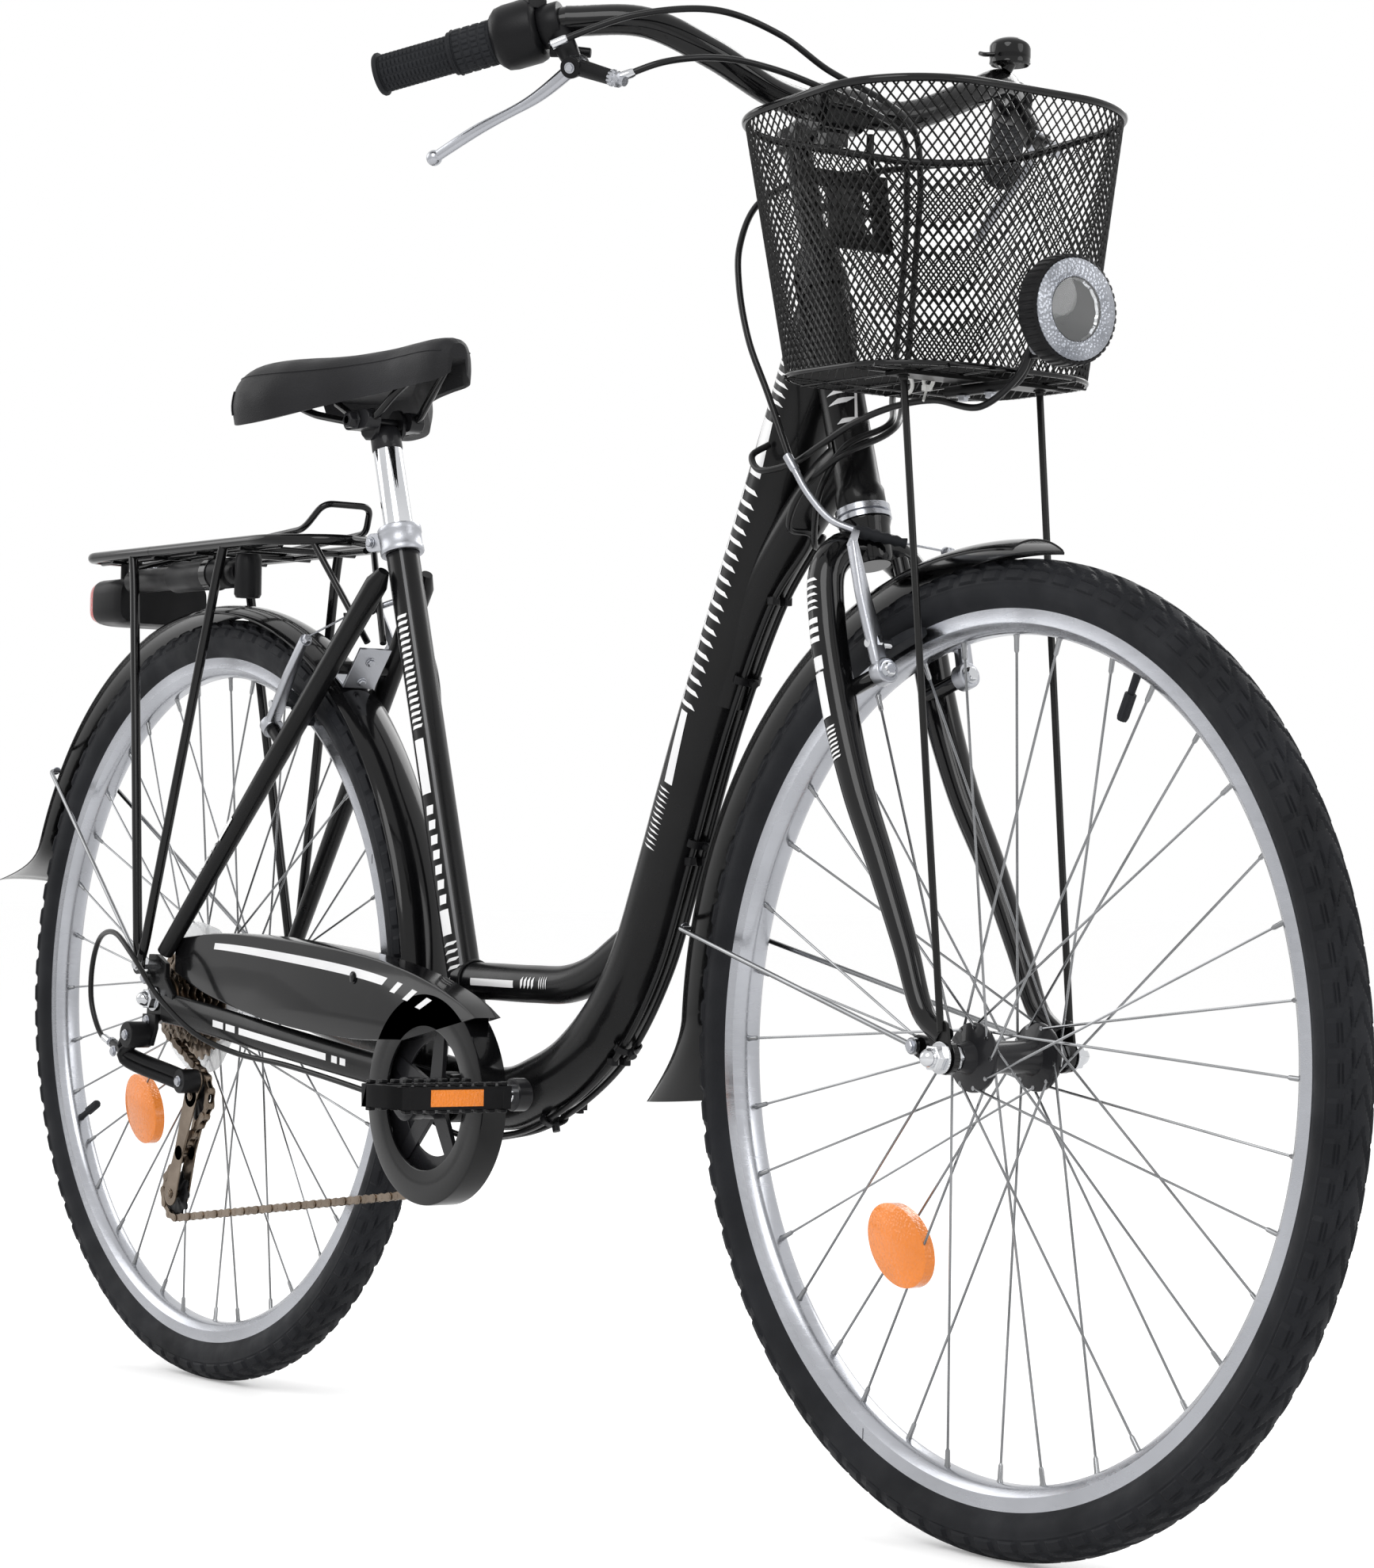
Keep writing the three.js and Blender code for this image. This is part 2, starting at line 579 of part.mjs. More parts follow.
function makeChain() {
  const count = chainWheels.length;
  const leave = chainWheels.map((wheel, i) => {
    const run = chainWheels[(i + 1) % count].centre.clone().sub(wheel.centre);
    const drop = wheel.radius - chainWheels[(i + 1) % count].radius;
    return Math.atan2(run.z, run.x) - Math.asin(drop / run.length());
  });
  const rampStart = pitchRadius(sprocketTeeth[0]) + sprocketPitch * 2;
  const rampEnd = bracketReach - pitchRadius(chainRingTeeth);
  const stations = chainWheels.flatMap((wheel, i) => {
    const enter = leave[(i + count - 1) % count];
    const turn = wheel.radius > 0 ? -wrapTurn(enter - leave[i]) : wrapTurn(leave[i] - enter);
    return Array.from({ length: wheel.steps + 1 }, (_, step) => {
      const angle = enter + turn * step / wheel.steps;
      const outward = at(-Math.sin(angle), 0, Math.cos(angle));
      const origin = wheel.centre.clone().addScaledVector(outward, wheel.radius);
      const ramp = THREE.MathUtils.clamp((origin.x - rampStart) / (rampEnd - rampStart), 0, 1);
      return { origin: origin.setY(THREE.MathUtils.lerp(chainY, -chainLine, ramp)),
        sideways: across, upright: outward, wide: 1, high: 1 };
    });
  });
  const [w, s, h, b] = [chainHalfWidth, chainHalfSlot, chainHalfHeight, chainHalfHeight - chainBridge];
  const outline = [[-w, -h], [-w, h], [w, h], [w, -h], [s, -h], [s, b], [-s, b], [-s, -h]];
  addPiece('chain', sweep(outline.map(([x, y]) => new THREE.Vector2(x, y)), stations, true), 'bronze');
}

// Right crank with chainring, spindle and pedal axle; left crank with its own pedal axle
const crankTurn = at(Math.cos(crankTilt), 0, Math.sin(crankTilt));
const pedalPlace = (side) => bracket.clone().addScaledVector(crankTurn, -side * crankLength);
const spiderCount = 5;
const spiderWindowShares = [0.6, 0.18];

function crankArm(side, armY) {
  const end = pedalPlace(side);
  const endY = crankOuterY - crankThickness / 2;
  const arm = taperedTube(
    [bracket.clone().setY(side * armY), end.clone().setY(side * endY)],
    (share) => crankThickness - (crankThickness - pedalAxleRadius) / 2 * share, 8, 2, 1 / 2);
  const boss = rod(end.clone().setY(side * (crankOuterY - crankThickness)), end.clone().setY(side * crankOuterY),
    crankEndRadius, 10);
  const axle = rod(end.clone().setY(side * endY),
    end.clone().setY(side * (pedalInnerY + pedalWidth - pedalAxleRadius * 2)), pedalAxleRadius, 8);
  return joined(arm, boss, axle);
}

function makeCranks() {
  const outer = pitchRadius(chainRingTeeth) + toothRise;
  const [ringLow, ringHigh] = [-chainLine - discThickness / 2, -chainLine + discThickness / 2];
  const ring = moved(sleeve(0, outer, ringLow, ringHigh, 24), bracket);
  const windows = Array.from({ length: spiderCount }, (_, i) => {
    const angle = fullTurn * (i + 1 / 2) / spiderCount;
    const middle = bracket.clone().add(pointOnWheel(outer * spiderWindowShares[0], angle, 0));
    return rod(middle.clone().setY(-chainLine * 2), middle.clone().setY(0), outer * spiderWindowShares[1], 6);
  });
  const bossEnd = crankInnerY + crankThickness;
  addPiece('crankset', joined(
    cutBy(ring, ...windows), moved(sleeve(0, crankBossRadius, -bossEnd, ringHigh, 12), bracket),
    moved(sleeve(0, spindleRadius, ringLow, spindleEnd, 10), bracket),
    crankArm(-1, crankInnerY + crankThickness / 2)), 'plasticBlack');

  const armY = spindleEnd + crankThickness / 2;
  const leftBoss = moved(sleeve(0, crankBossRadius, spindleEnd - crankThickness, spindleEnd + crankThickness, 12),
    bracket);
  const socket = moved(sleeve(0, spindleRadius + runningGap, 0, spindleEnd + runningGap, 10), bracket);
  addPiece('left_crank', cutBy(joined(leftBoss, crankArm(1, armY)), socket), 'plasticBlack');
}

// Pedals: a platform frame round a barrel, with two openings
function makePedals() {
  const [halfX, halfZ] = [pedalReach / 2, pedalThickness / 2];
  for (const side of bothSides) {
    const [low, high] = ordered(side, pedalInnerY, pedalInnerY + pedalWidth);
    const openings = bothSides.map((way) => {
      const [from, to] = ordered(way, pedalBarrelHalf, halfX - pedalBorder);
      return block(at(from, low + pedalBorder, -halfZ * 2), at(to, high - pedalBorder, halfZ * 2));
    });
    const bore = rod(at(0, side * (pedalInnerY - pedalBorder), 0),
      at(0, side * (pedalInnerY + pedalWidth - pedalAxleRadius), 0), roundAbout(pedalAxleRadius + runningGap, 8), 8);
    addPiece(side < 0 ? 'pedal_right' : 'pedal_left', moved(
      cutBy(block(at(-halfX, low, -halfZ), at(halfX, high, halfZ)), ...openings, bore), pedalPlace(side)),
    'plasticBlack');
  }
}

// Derailleur: knuckles and link on the drop-out, and the cage with its two pulleys
const cage = { half: 5.7, wall: 1.5, radius: 11, axleRadius: 4, pivotSteps: [42, 0, -73] };
const cageOuter = chainY - cage.half - cage.wall;
const cagePivot = stepFrom(rearAxle, cage.pivotSteps);
const derailleur = {
  plateSteps: [[-14, -14], [10, -14], [10, -27], [2, -43], [-18, -43]], plateThickness: 4,
  knuckleSteps: [-8, 0, -33], knuckleRadius: 12, knuckleWidth: 24,
  bendSteps: [-30, 0, -49], linkRadius: 9, lowerWidth: 18, barrelSteps: [-64, 8, -43], barrelRadius: 4,
};

// A flat plate with round ends between two places
function capsule(from, to, radius, low, high) {
  const lean = Math.atan2(to.z - from.z, to.x - from.x);
  const ends = [[to, lean - halfTurn / 2], [from, lean + halfTurn / 2]];
  const steps = 4;
  return plate(ends.flatMap(([centre, start]) => Array.from({ length: steps + 1 }, (_, i) => {
    const turn = start + halfTurn * i / steps;
    return [centre.x + radius * Math.cos(turn), centre.z + radius * Math.sin(turn)];
  })), low, high);
}

function makeDerailleur() {
  const near = -dropoutOuter - runningGap;
  const far = near - derailleur.knuckleWidth;
  const middle = (near + far) / 2;
  const knuckle = stepFrom(rearAxle, derailleur.knuckleSteps);
  const bend = stepFrom(rearAxle, derailleur.bendSteps).setY(far + derailleur.linkRadius);
  const lower = cageOuter - runningGap;
  addPiece('derailleur_body', joined(
    plate(derailleur.plateSteps.map(([x, z]) => [x, tyreRadius + z]), near - derailleur.plateThickness, near),
    rod(knuckle.clone().setY(near), knuckle.clone().setY(far), derailleur.knuckleRadius, 10),
    rod(knuckle.clone().setY(middle), bend, derailleur.linkRadius, 6),
    rod(bend, cagePivot.clone().setY(lower - derailleur.lowerWidth / 2), derailleur.linkRadius, 6),
    rod(cagePivot.clone().setY(lower - derailleur.lowerWidth), cagePivot.clone().setY(lower), cage.radius, 10),
    rod(bend, stepFrom(bend, derailleur.barrelSteps).sub(stepFrom(at(0, 0, 0), derailleur.bendSteps)), derailleur.barrelRadius, 8),
  ), 'plasticBlack');

  const innerPlate = chainY + cage.half;
  const disc = (centre, radius) =>
    moved(sleeve(0, radius, chainY - discThickness / 2, chainY + discThickness / 2, 10), centre);
  const pin = (centre) => rod(centre.clone().setY(cageOuter + cage.wall / 2),
    centre.clone().setY(innerPlate + cage.wall / 2), cage.axleRadius, 8);
  addPiece('derailleur_cage', joined(
    capsule(tension, guide, cage.radius, cageOuter, cageOuter + cage.wall),
    capsule(tension, guide, cage.radius, innerPlate, innerPlate + cage.wall),
    capsule(guide, cagePivot, cage.radius, cageOuter, cageOuter + cage.wall),
    disc(guide, pitchRadius(pulleyTeeth) - chainHalfHeight - toothRise),
    disc(tension, pitchRadius(pulleyTeeth) + toothRise), pin(guide), pin(tension)), 'bronze');
}

// Chain guard: a shallow case open towards the wheel, with a round opening for the crank
const guard = {
  outerY: 58, innerY: 33, wall: 2.5, discRadius: 88, openingRadius: 59, rise: 122, strapHalf: 7, strapThickness: 2,
};
const guardTopShares = [
  [0.04, 1], [0.225, 1.05], [0.56, 1.01], [0.83, 0.92], [0.99, 0.81], [1.12, 0.66], [1.17, 0.57],
];
const guardBottomShares = [[0.92, 0.38], [0.74, 0.36], [0.41, 0.44], [0.14, 0.62], [0.04, 0.74]];
const guardSlotShares = [[0.2, -2], [-2, -1], [-0.75, -0.5], [-0.1, -0.8]];
const guardPoint = (inset) => ([x, z]) => [bracketReach * x, bracketHeight + guard.rise * z + inset];

function makeGuard() {
  const outline = [...guardTopShares, ...guardBottomShares].map(guardPoint(0));
  const openEnd = ([, z]) => [0, z];
  const hollow = [
    ...[openEnd(guardTopShares[0]), ...guardTopShares.slice(1)].map(guardPoint(-guard.wall)),
    ...[...guardBottomShares.slice(0, 4), openEnd(guardBottomShares[3])].map(guardPoint(guard.wall)),
  ];
  const disc = (radius, low, high) => moved(sleeve(0, radius, low, high, 20), bracket);
  const floor = guard.wall - guard.outerY;
  const strapFrom = -shellWidth / 2 - runningGap;
  const strapTo = strapFrom - guard.strapThickness;
  const strap = (angle) => {
    const point = (radius, side) => {
      const spot = pointOnWheel(radius, angle, 0).addScaledVector(pointOnWheel(1, angle + halfTurn / 2, 0), side);
      return [bracket.x + spot.x, bracket.z + spot.z];
    };
    const [near, far, half] = [spindleRadius, guard.discRadius - guard.wall / 2, guard.strapHalf];
    return plate([point(near, -half), point(far, -half), point(far, half), point(near, half)], strapTo, strapFrom);
  };
  const shell = cutBy(
    joined(plate(outline, -guard.outerY, -guard.innerY), disc(guard.discRadius, -guard.outerY, -guard.innerY)),
    plate(hollow, floor, 0), disc(guard.discRadius - guard.wall, floor, 0),
    disc(guard.openingRadius, -guard.outerY * 2, 0));
  const chainSlot = plate(guardSlotShares.map(([x, z]) =>
    [bracket.x + guard.discRadius * x, bracket.z + guard.discRadius * z]), floor + guard.wall, 0);
  addPiece('chain_guard', cutBy(
    joined(cutBy(shell, chainSlot), strap(degrees(15)), strap(degrees(-60)), disc(shellRadius, strapTo, strapFrom)),
    chainStay(-1, runningGap * 2), rod(onSeatStay(0, -1), onSeatStay(1, -1),
      seatStayRadius * seatStayTipShare + runningGap, 8, seatStayRadius + runningGap),
    disc(spindleRadius + runningGap * 3, -guard.outerY, 0)), 'glossBlack');
}

// Headset, fork and stem
function makeHeadset() {
  const inner = steererRadius + runningGap;
  const ring = (profile) => onAxis(turned(profile, 16), steeringFoot, upwards);
  addPiece('headset_lower', ring([[inner, forkLength], [cupRadius, forkLength],
    [cupRadius, headLow - runningGap], [inner, headLow - runningGap]]), 'silver');
  const low = headHigh + runningGap;
  const [middle, high] = [low + upperCupHeight / 2, low + upperCupHeight];
  const neck = (inner + cupRadius) / 2;
  addPiece('headset_upper', ring([[inner, low], [cupRadius, low], [cupRadius, middle - headTubeWall],
    [neck, middle], [neck, high], [inner, high]]), 'silver');
}

const bladeSteps = [
  [-3, 53, 14], [-26, 53, 29], [-49, 52, 75], [-80, 51, 134], [-110, 49, 185], [-138, 47, 251],
  [-155, 45.5, 309], [-164, 39, 348], [-167, 22, 363],
];
const bladeTaperShare = 1.5;
const crownRadiusShares = [0.8, 0.95];
const forkTip = { radius: 12, eyeletSteps: [-29, 0, 7], eyeletRadius: 8, faceRadius: 28, roomRadius: 15 };

function makeFork() {
  const blades = bothSides.flatMap((side) => {
    const route = [...stepsFrom(frontAxle, bladeSteps, side), steering(crownPlace)];
    const [low, high] = ordered(side, frontDropoutInner, frontDropoutOuter);
    return [
      taperedTube(route, (share) =>
        bladeTipRadius + (bladeTopRadius - bladeTipRadius) * Math.min(1, share * bladeTaperShare), 8, 9),
      moved(sleeve(0, forkTip.radius, low, high, 8), frontAxle),
      capsule(frontAxle, stepFrom(frontAxle, forkTip.eyeletSteps), forkTip.eyeletRadius, low, high),
      brakeStud(front, side, frontStudLength),
    ];
  });
  const faces = bothSides.map((side) => moved(
    sleeve(0, forkTip.faceRadius, ...ordered(side, frontDropoutOuter, frontDropoutOuter * 2), 8), frontAxle));
  const crown = rod(steering(crownPlace - bladeTopRadius), steering(forkLength - runningGap),
    cupRadius * crownRadiusShares[0], 12, cupRadius * crownRadiusShares[1]);
  addPiece('fork', cutBy(
    joined(...blades, crown, rod(steering(crownPlace), steering(headHigh + upperCupHeight + runningGap),
      steererRadius, 16)),
    ...faces,
    moved(sleeve(0, axleRadius + runningGap, -frontDropoutOuter * 2, frontDropoutOuter * 2, 8), frontAxle),
    moved(sleeve(0, forkTip.roomRadius, -frontDropoutInner, frontDropoutInner, 8), frontAxle),
    rod(steering(headHigh - quillDepth), steering(quillTop), quillRadius + runningGap, 12)), 'glossBlack');
}

// Handlebar: a smooth rise on each side into straight grip ends
const stemSteps = [50.3, 0, 10.4];
const barCentre = stepFrom(steering(quillTop), stemSteps);
const barRiseSteps = [[8, 60, 2], [6, 120, 25], [-12, 168, 44]];
const gripStartSteps = [-47, 212, 44];
const gripEndSteps = [-162, 300, 10];
const gripStart = stepFrom(barCentre, gripStartSteps);
const gripEnd = stepFrom(barCentre, gripEndSteps);
const gripLine = gripEnd.clone().sub(gripStart).normalize();
const gripRun = gripEnd.distanceTo(gripStart);
const onGrip = (distance, side) => mirrored(gripStart.clone().addScaledVector(gripLine, distance), side);
const stem = { clampHalf: 20, clampRadius: 18, shoulderRadius: 15, shoulderHeight: 13, armRadius: 12 };
const grips = {
  bracketStart: 3, bracketWidth: 19, bracketRadius: 16, housingWidth: 36, housingRadius: 24, twistWidth: 32, twistRadius: 16.5,
  radius: 14, flangeRadius: 16, flangeWidth: 3, barInset: 4, leftGap: 2,
};
const barRoute = [
  onGrip(gripRun - grips.barInset, -1), ...new THREE.CatmullRomCurve3([
    onGrip(0, -1), ...stepsFrom(barCentre, barRiseSteps, -1).reverse(), barCentre,
    ...stepsFrom(barCentre, barRiseSteps), onGrip(0, 1)]).getSpacedPoints(16), onGrip(gripRun - grips.barInset, 1),
];
const barShape = (radius) => sweep(circle(1, 10), stationsAlong(barRoute, () => radius, 1));

function makeBar() {
  addPiece('handlebar', barShape(barRadius), 'glossBlack');
  addPiece('stem', cutBy(joined(
    rod(steering(headHigh - quillDepth + runningGap), steering(quillTop), quillRadius, 12),
    rod(steering(quillTop - stem.shoulderHeight), steering(quillTop), stem.shoulderRadius, 12),
    rod(steering(quillTop - stem.shoulderHeight / 2), barCentre, stem.armRadius, 10),
    rod(barCentre.clone().setY(-stem.clampHalf), barCentre.clone().setY(stem.clampHalf), stem.clampRadius, 12),
  ), barShape(barRadius + runningGap)), 'glossBlack');
}

// A sleeve on the grip end between two distances from its start
const gripSleeve = (from, to, radius, side) =>
  onAxis(sleeve(barRadius + runningGap * 2, radius, from, to, 12), onGrip(0, side), mirrored(gripLine, side));

function makeGrips() {
  const housingEnd = grips.bracketWidth + grips.housingWidth;
  const twistEnd = housingEnd + grips.twistWidth;
  const [bore, barEnd] = [barRadius + runningGap * 2, gripRun - grips.barInset + runningGap];
  const { radius, flangeRadius, flangeWidth } = grips;
  const grip = (from, side) => onAxis(turned([
    [0, barEnd], [bore, barEnd], [bore, from], [flangeRadius, from], [flangeRadius, from + flangeWidth],
    [radius, from + flangeWidth], [radius, barEnd], [flangeRadius, barEnd], [flangeRadius, barEnd + flangeWidth * 2],
    [0, barEnd + flangeWidth * 2]], 12), onGrip(0, side), mirrored(gripLine, side));
  addPiece('grip_right', grip(twistEnd + runningGap, -1), 'rubber');
  addPiece('grip_left', grip(grips.bracketWidth + grips.leftGap, 1), 'rubber');
  addPiece('shifter_housing', gripSleeve(grips.bracketWidth + runningGap, housingEnd, grips.housingRadius, -1),
    'glossBlack');
  addPiece('twist_grip', gripSleeve(housingEnd + runningGap, twistEnd, grips.twistRadius, -1), 'rubber');
}

// Brake levers: a clamp and body under the bar, and a lever on a pin
const lever = {
  pivotSteps: [-25, 219, 7], tipSteps: [-144, 262, -49], barrelSteps: [8, 208, -5], elbowSteps: [6, 0, -3],
  elbowShare: 0.3, kneeShare: 0.7, tipShare: 0.75, flatShare: 0.7, gripShare: 0.85,
  bossRadius: 8, half: 4, cheek: 5, bladeRadius: 6, bodyRadius: 9, barrelRadius: 6, pull: degrees(18),
};

function makeLevers() {
  const pivotAt = stepFrom(barCentre, lever.pivotSteps);
  const tipAt = stepFrom(barCentre, lever.tipSteps);
  const pull = onGrip(gripRun * lever.gripShare, 1).sub(tipAt);
  const pinLine = tipAt.clone().sub(pivotAt).cross(pull).normalize();
  for (const side of bothSides) {
    const [pivot, tip, pin] = [pivotAt, tipAt, pinLine].map((point) => mirrored(point, side));
    const acrossLever = (reach, radius, sides) => rod(pivot.clone().addScaledVector(pin, -reach),
      pivot.clone().addScaledVector(pin, reach), radius, sides);
    const elbow = stepFrom(pivot.clone().lerp(tip, lever.elbowShare), lever.elbowSteps);
    const blade = (margin) => taperedTube([pivot, elbow, pivot.clone().lerp(tip, lever.kneeShare), tip],
      (share) => margin + lever.bladeRadius * (1 - (1 - lever.tipShare) * share), 6, 5, lever.flatShare);
    // The blade's room in the bracket, over its whole pull
    const room = [0, 1 / 3, 2 / 3, 1].map((share) => moved(moved(blade(runningGap * 3), pivot.clone().negate())
      .applyMatrix4(new THREE.Matrix4().makeRotationAxis(pin, side * lever.pull * share)), pivot));
    const end = side < 0 ? 'right' : 'left';
    addPiece('brake_bracket_' + end, mainBody(cutBy(joined(
      gripSleeve(grips.bracketStart, grips.bracketWidth, grips.bracketRadius, side),
      cutBy(rod(onGrip(grips.bracketWidth / 2, side), pivot, lever.bodyRadius, 6), barShape(barRadius + runningGap)),
      acrossLever(lever.half + lever.cheek, lever.bossRadius, 8),
      rod(pivot, stepFrom(barCentre, lever.barrelSteps, side), lever.barrelRadius, 6),
    ), acrossLever(lever.half + runningGap, roundAbout(lever.bossRadius + runningGap * 2, 8), 8), ...room)),
    'plasticBlack');
    addPiece('brake_lever_' + end, joined(acrossLever(lever.half, lever.bossRadius, 8), blade(0),
      moved(new THREE.SphereGeometry(lever.bladeRadius, 8, 4), tip)), 'chrome');
  }
}

// Bell: a low drum on a foot on the left side of the bar
const bell = { steps: [8, 4, 13], footStep: -2.8, footRadius: 6, footRise: 4, radius: 16, height: 20, edge: 4 };
function makeBell() {
  const drum = stepFrom(stepFrom(barCentre, barRiseSteps[2]), bell.steps);
  const { radius, height, edge } = bell;
  addPiece('bell', joined(
    rod(stepFrom(drum, [bell.footStep, bell.footStep, bell.footStep]), stepFrom(drum, [0, 0, bell.footRise]),
      bell.footRadius, 8),
    onAxis(turned([[0, 0], [radius, 0], [radius, height - edge], [radius - edge, height], [0, height + edge / 2]], 12),
      drum, upright)), 'glossBlack');
}

// Front basket: an open tub with a wire rim
const basket = {
  rimSteps: [117, 0, -25.3], length: 218, width: 258, pitch: degrees(3.9), floorSteps: [8, 0, -190.2],
  floorLength: 172, floorWidth: 203, wall: 2.4, rimRadius: 3,
};
const cornerShare = 0.68;
const rimCentre = stepFrom(barCentre, basket.rimSteps);
const floorCentre = stepFrom(rimCentre, basket.floorSteps);
const cornerSteps = 3;
const tubSection = [[1, 1], [-1, 1], [-1, -1], [1, -1]].flatMap((ways, corner) =>
  Array.from({ length: cornerSteps + 1 }, (_, i) => {
    const turn = halfTurn / 2 * (corner + i / cornerSteps);
    return new THREE.Vector2(ways[0] * (1 - cornerShare) + cornerShare * Math.cos(turn),
      ways[1] * (1 - cornerShare) + cornerShare * Math.sin(turn));
  }));

function makeBasket() {
  const rimForward = at(Math.cos(basket.pitch), 0, Math.sin(basket.pitch));
  const ring = (origin, sideways, length, width) =>
    ({ origin, sideways, upright: across, wide: length / 2, high: width / 2 });
  const { length, width, floorLength, floorWidth, wall } = basket;
  const lift = (point, height) => point.clone().addScaledVector(upright, height);
  const outer = sweep(tubSection, [
    ring(floorCentre, forward, floorLength, floorWidth), ring(rimCentre, rimForward, length, width)]);
  const inner = sweep(tubSection, [
    ring(lift(floorCentre, wall), forward, floorLength - wall * 2, floorWidth - wall * 2),
    ring(rimCentre, rimForward, length - wall * 2, width - wall * 2),
    ring(lift(rimCentre, wall * 4), rimForward, length - wall * 2, width - wall * 2)]);
  const rimUp = rimForward.clone().cross(across);
  const points = tubSection.map((corner) => rimCentre.clone()
    .addScaledVector(rimForward, corner.x * length / 2).addScaledVector(across, corner.y * width / 2));
  const rim = points.map((origin, i) => {
    const before = points[(i + points.length - 1) % points.length];
    const along = points[(i + 1) % points.length].clone().sub(before);
    return { origin, sideways: along.cross(rimUp).normalize(), upright: rimUp, wide: basket.rimRadius,
      high: basket.rimRadius };
  });
  addPiece('basket', joined(cutBy(outer, inner), sweep(circle(1, 5), rim, true)), 'frameBlack');
}

// Basket holder: a slotted plate behind the tub on two hooks under the bar
const holder = {
  half: 42, thickness: 3, lowShare: 0.6, highShare: 0.92, slotY: 21, slotHalf: 4, slotEnd: 14, hookY: 32, hookOutY: 34,
  hookRadius: 3, hookStand: 9, hookRise: 14, hookBack: 1,
};
function makeHolder() {
  const tilt = Math.sin(basket.pitch);
  const low = at(floorCentre.x - basket.floorLength / 2, 0, floorCentre.z);
  const high = at(rimCentre.x - basket.length / 2, 0, rimCentre.z - tilt * basket.length / 2);
  const wallUp = high.clone().sub(low).normalize();
  const behind = at(-wallUp.z, 0, wallUp.x);
  const spot = (share, y, depth) => low.clone().lerp(high, share).setY(y).addScaledVector(behind, depth);
  const square = [[-1, 0], [1, 0], [1, 1], [-1, 1]].map(([x, y]) => new THREE.Vector2(x, y));
  const sheet = sweep(square, [holder.lowShare, holder.highShare].map((share) => ({
    origin: spot(share, 0, runningGap), sideways: across, upright: behind, wide: holder.half, high: holder.thickness })));
  const slots = bothSides.map((side) => block(
    at(high.x - holder.half, side * holder.slotY - holder.slotHalf, spot(holder.lowShare, 0, 0).z + holder.slotEnd),
    at(low.x + holder.half, side * holder.slotY + holder.slotHalf, spot(holder.highShare, 0, 0).z - holder.slotEnd)));
  const hooks = bothSides.map((side) => tube([
    spot(holder.highShare, side * holder.hookY, runningGap + holder.hookRadius).addScaledVector(wallUp, -holder.hookStand / 2),
    spot(holder.highShare, side * holder.hookOutY, holder.hookStand).addScaledVector(wallUp, holder.hookRise),
    at(barCentre.x - holder.hookBack, side * holder.hookOutY, barCentre.z - barRadius - holder.hookRadius)],
  holder.hookRadius, 6, 5));
  addPiece('basket_bracket', joined(cutBy(sheet, ...slots), ...hooks), 'frameBlack');
}

// Basket legs: a strip under the floor and a wire leg on each side down to the front axle
const legs = {
  stripFrom: 28, stripTo: 52, half: 70, thickness: 3, legStep: 40, legY: 63, radius: 3, footY: 59.2, lugRadius: 6,
  lugRise: 20, footShare: 0.9,
};
function makeLegs() {
  const top = floorCentre.z - runningGap;
  const lugInner = frontDropoutOuter + runningGap;
  const lugTop = frontAxle.clone().addScaledVector(upright, legs.lugRise);
  const sides = bothSides.flatMap((side) => [
    rod(at(floorCentre.x + legs.legStep, side * legs.legY, top - legs.thickness / 2),
      frontAxle.clone().lerp(lugTop, legs.footShare).setY(side * legs.footY), legs.radius, 8),
    cutBy(capsule(frontAxle, lugTop, legs.lugRadius + legs.radius / 2,
      ...ordered(side, lugInner, lugInner + lugThickness)),
    moved(sleeve(0, axleRadius + runningGap, -lugInner * 2, lugInner * 2, 12), frontAxle)),
  ]);
  addPiece('basket_legs', joined(
    block(at(floorCentre.x + legs.stripFrom, -legs.half, top - legs.thickness),
      at(floorCentre.x + legs.stripTo, legs.half, top)), ...sides),
  'frameBlack');
}

// Headlight: a drum lamp on an arm under the basket, and its lens
const lamp = {
  steps: [150, 0, 38.5], radius: 39, depth: 44, rim: 3, lensDepth: 5, lensRise: 3, backRadius: 16, armRadius: 4,
  armStart: 12, armRun: 88, bendSteps: [-42, 0, -22], endSteps: [-32, 0, -6],
};
const lampShares = [[0.6, 0.7], [0.9, 0.45], [1, 0.35]];
function makeHeadlight() {
  const centre = stepFrom(floorCentre, lamp.steps);
  const shell = lampShares.map(([radius, depth]) => [lamp.radius * radius, -lamp.depth * depth]);
  const edge = lamp.radius - lamp.rim;
  const body = turned([[0, -lamp.depth], [lamp.backRadius, -lamp.depth], ...shell, [lamp.radius, 0], [edge, 0],
    [edge, -lamp.lensDepth], [0, -lamp.lensDepth]], 14);
  const armDrop = runningGap * 2 + legs.thickness + lamp.armRadius;
  const armAt = (x) => at(floorCentre.x + x, 0, floorCentre.z - armDrop);
  addPiece('headlight', joined(onAxis(body, centre, forward), wire([
    armAt(lamp.armStart), armAt(lamp.armRun), stepFrom(centre, lamp.bendSteps), stepFrom(centre, lamp.endSteps)],
  lamp.armRadius, 8)), 'plasticBlack');
  const glass = [[0, runningGap - lamp.lensDepth], [edge - runningGap, runningGap - lamp.lensDepth],
    [edge - runningGap, 0], [edge / 2, lamp.lensRise / 2], [0, lamp.lensRise]];
  addPiece('headlight_lens', onAxis(turned(glass, 14), centre, forward), 'clear');
}

// Mudguards: a rounded channel round each tyre, ending in a flap that stands off
const mudguard = { radius: 362, half: 24, skirt: 7, wall: 1.6, stand: 2.2, tabRadius: 6, tabRise: 16, wireRadius: 2,
  eyeRadius: 6, frontFlapRise: 42, rearFlapRise: 64 };
const mudguardSkinShares = [[-1, -1], [-0.8, -0.3], [0, 0], [0.8, -0.3], [1, -1]];

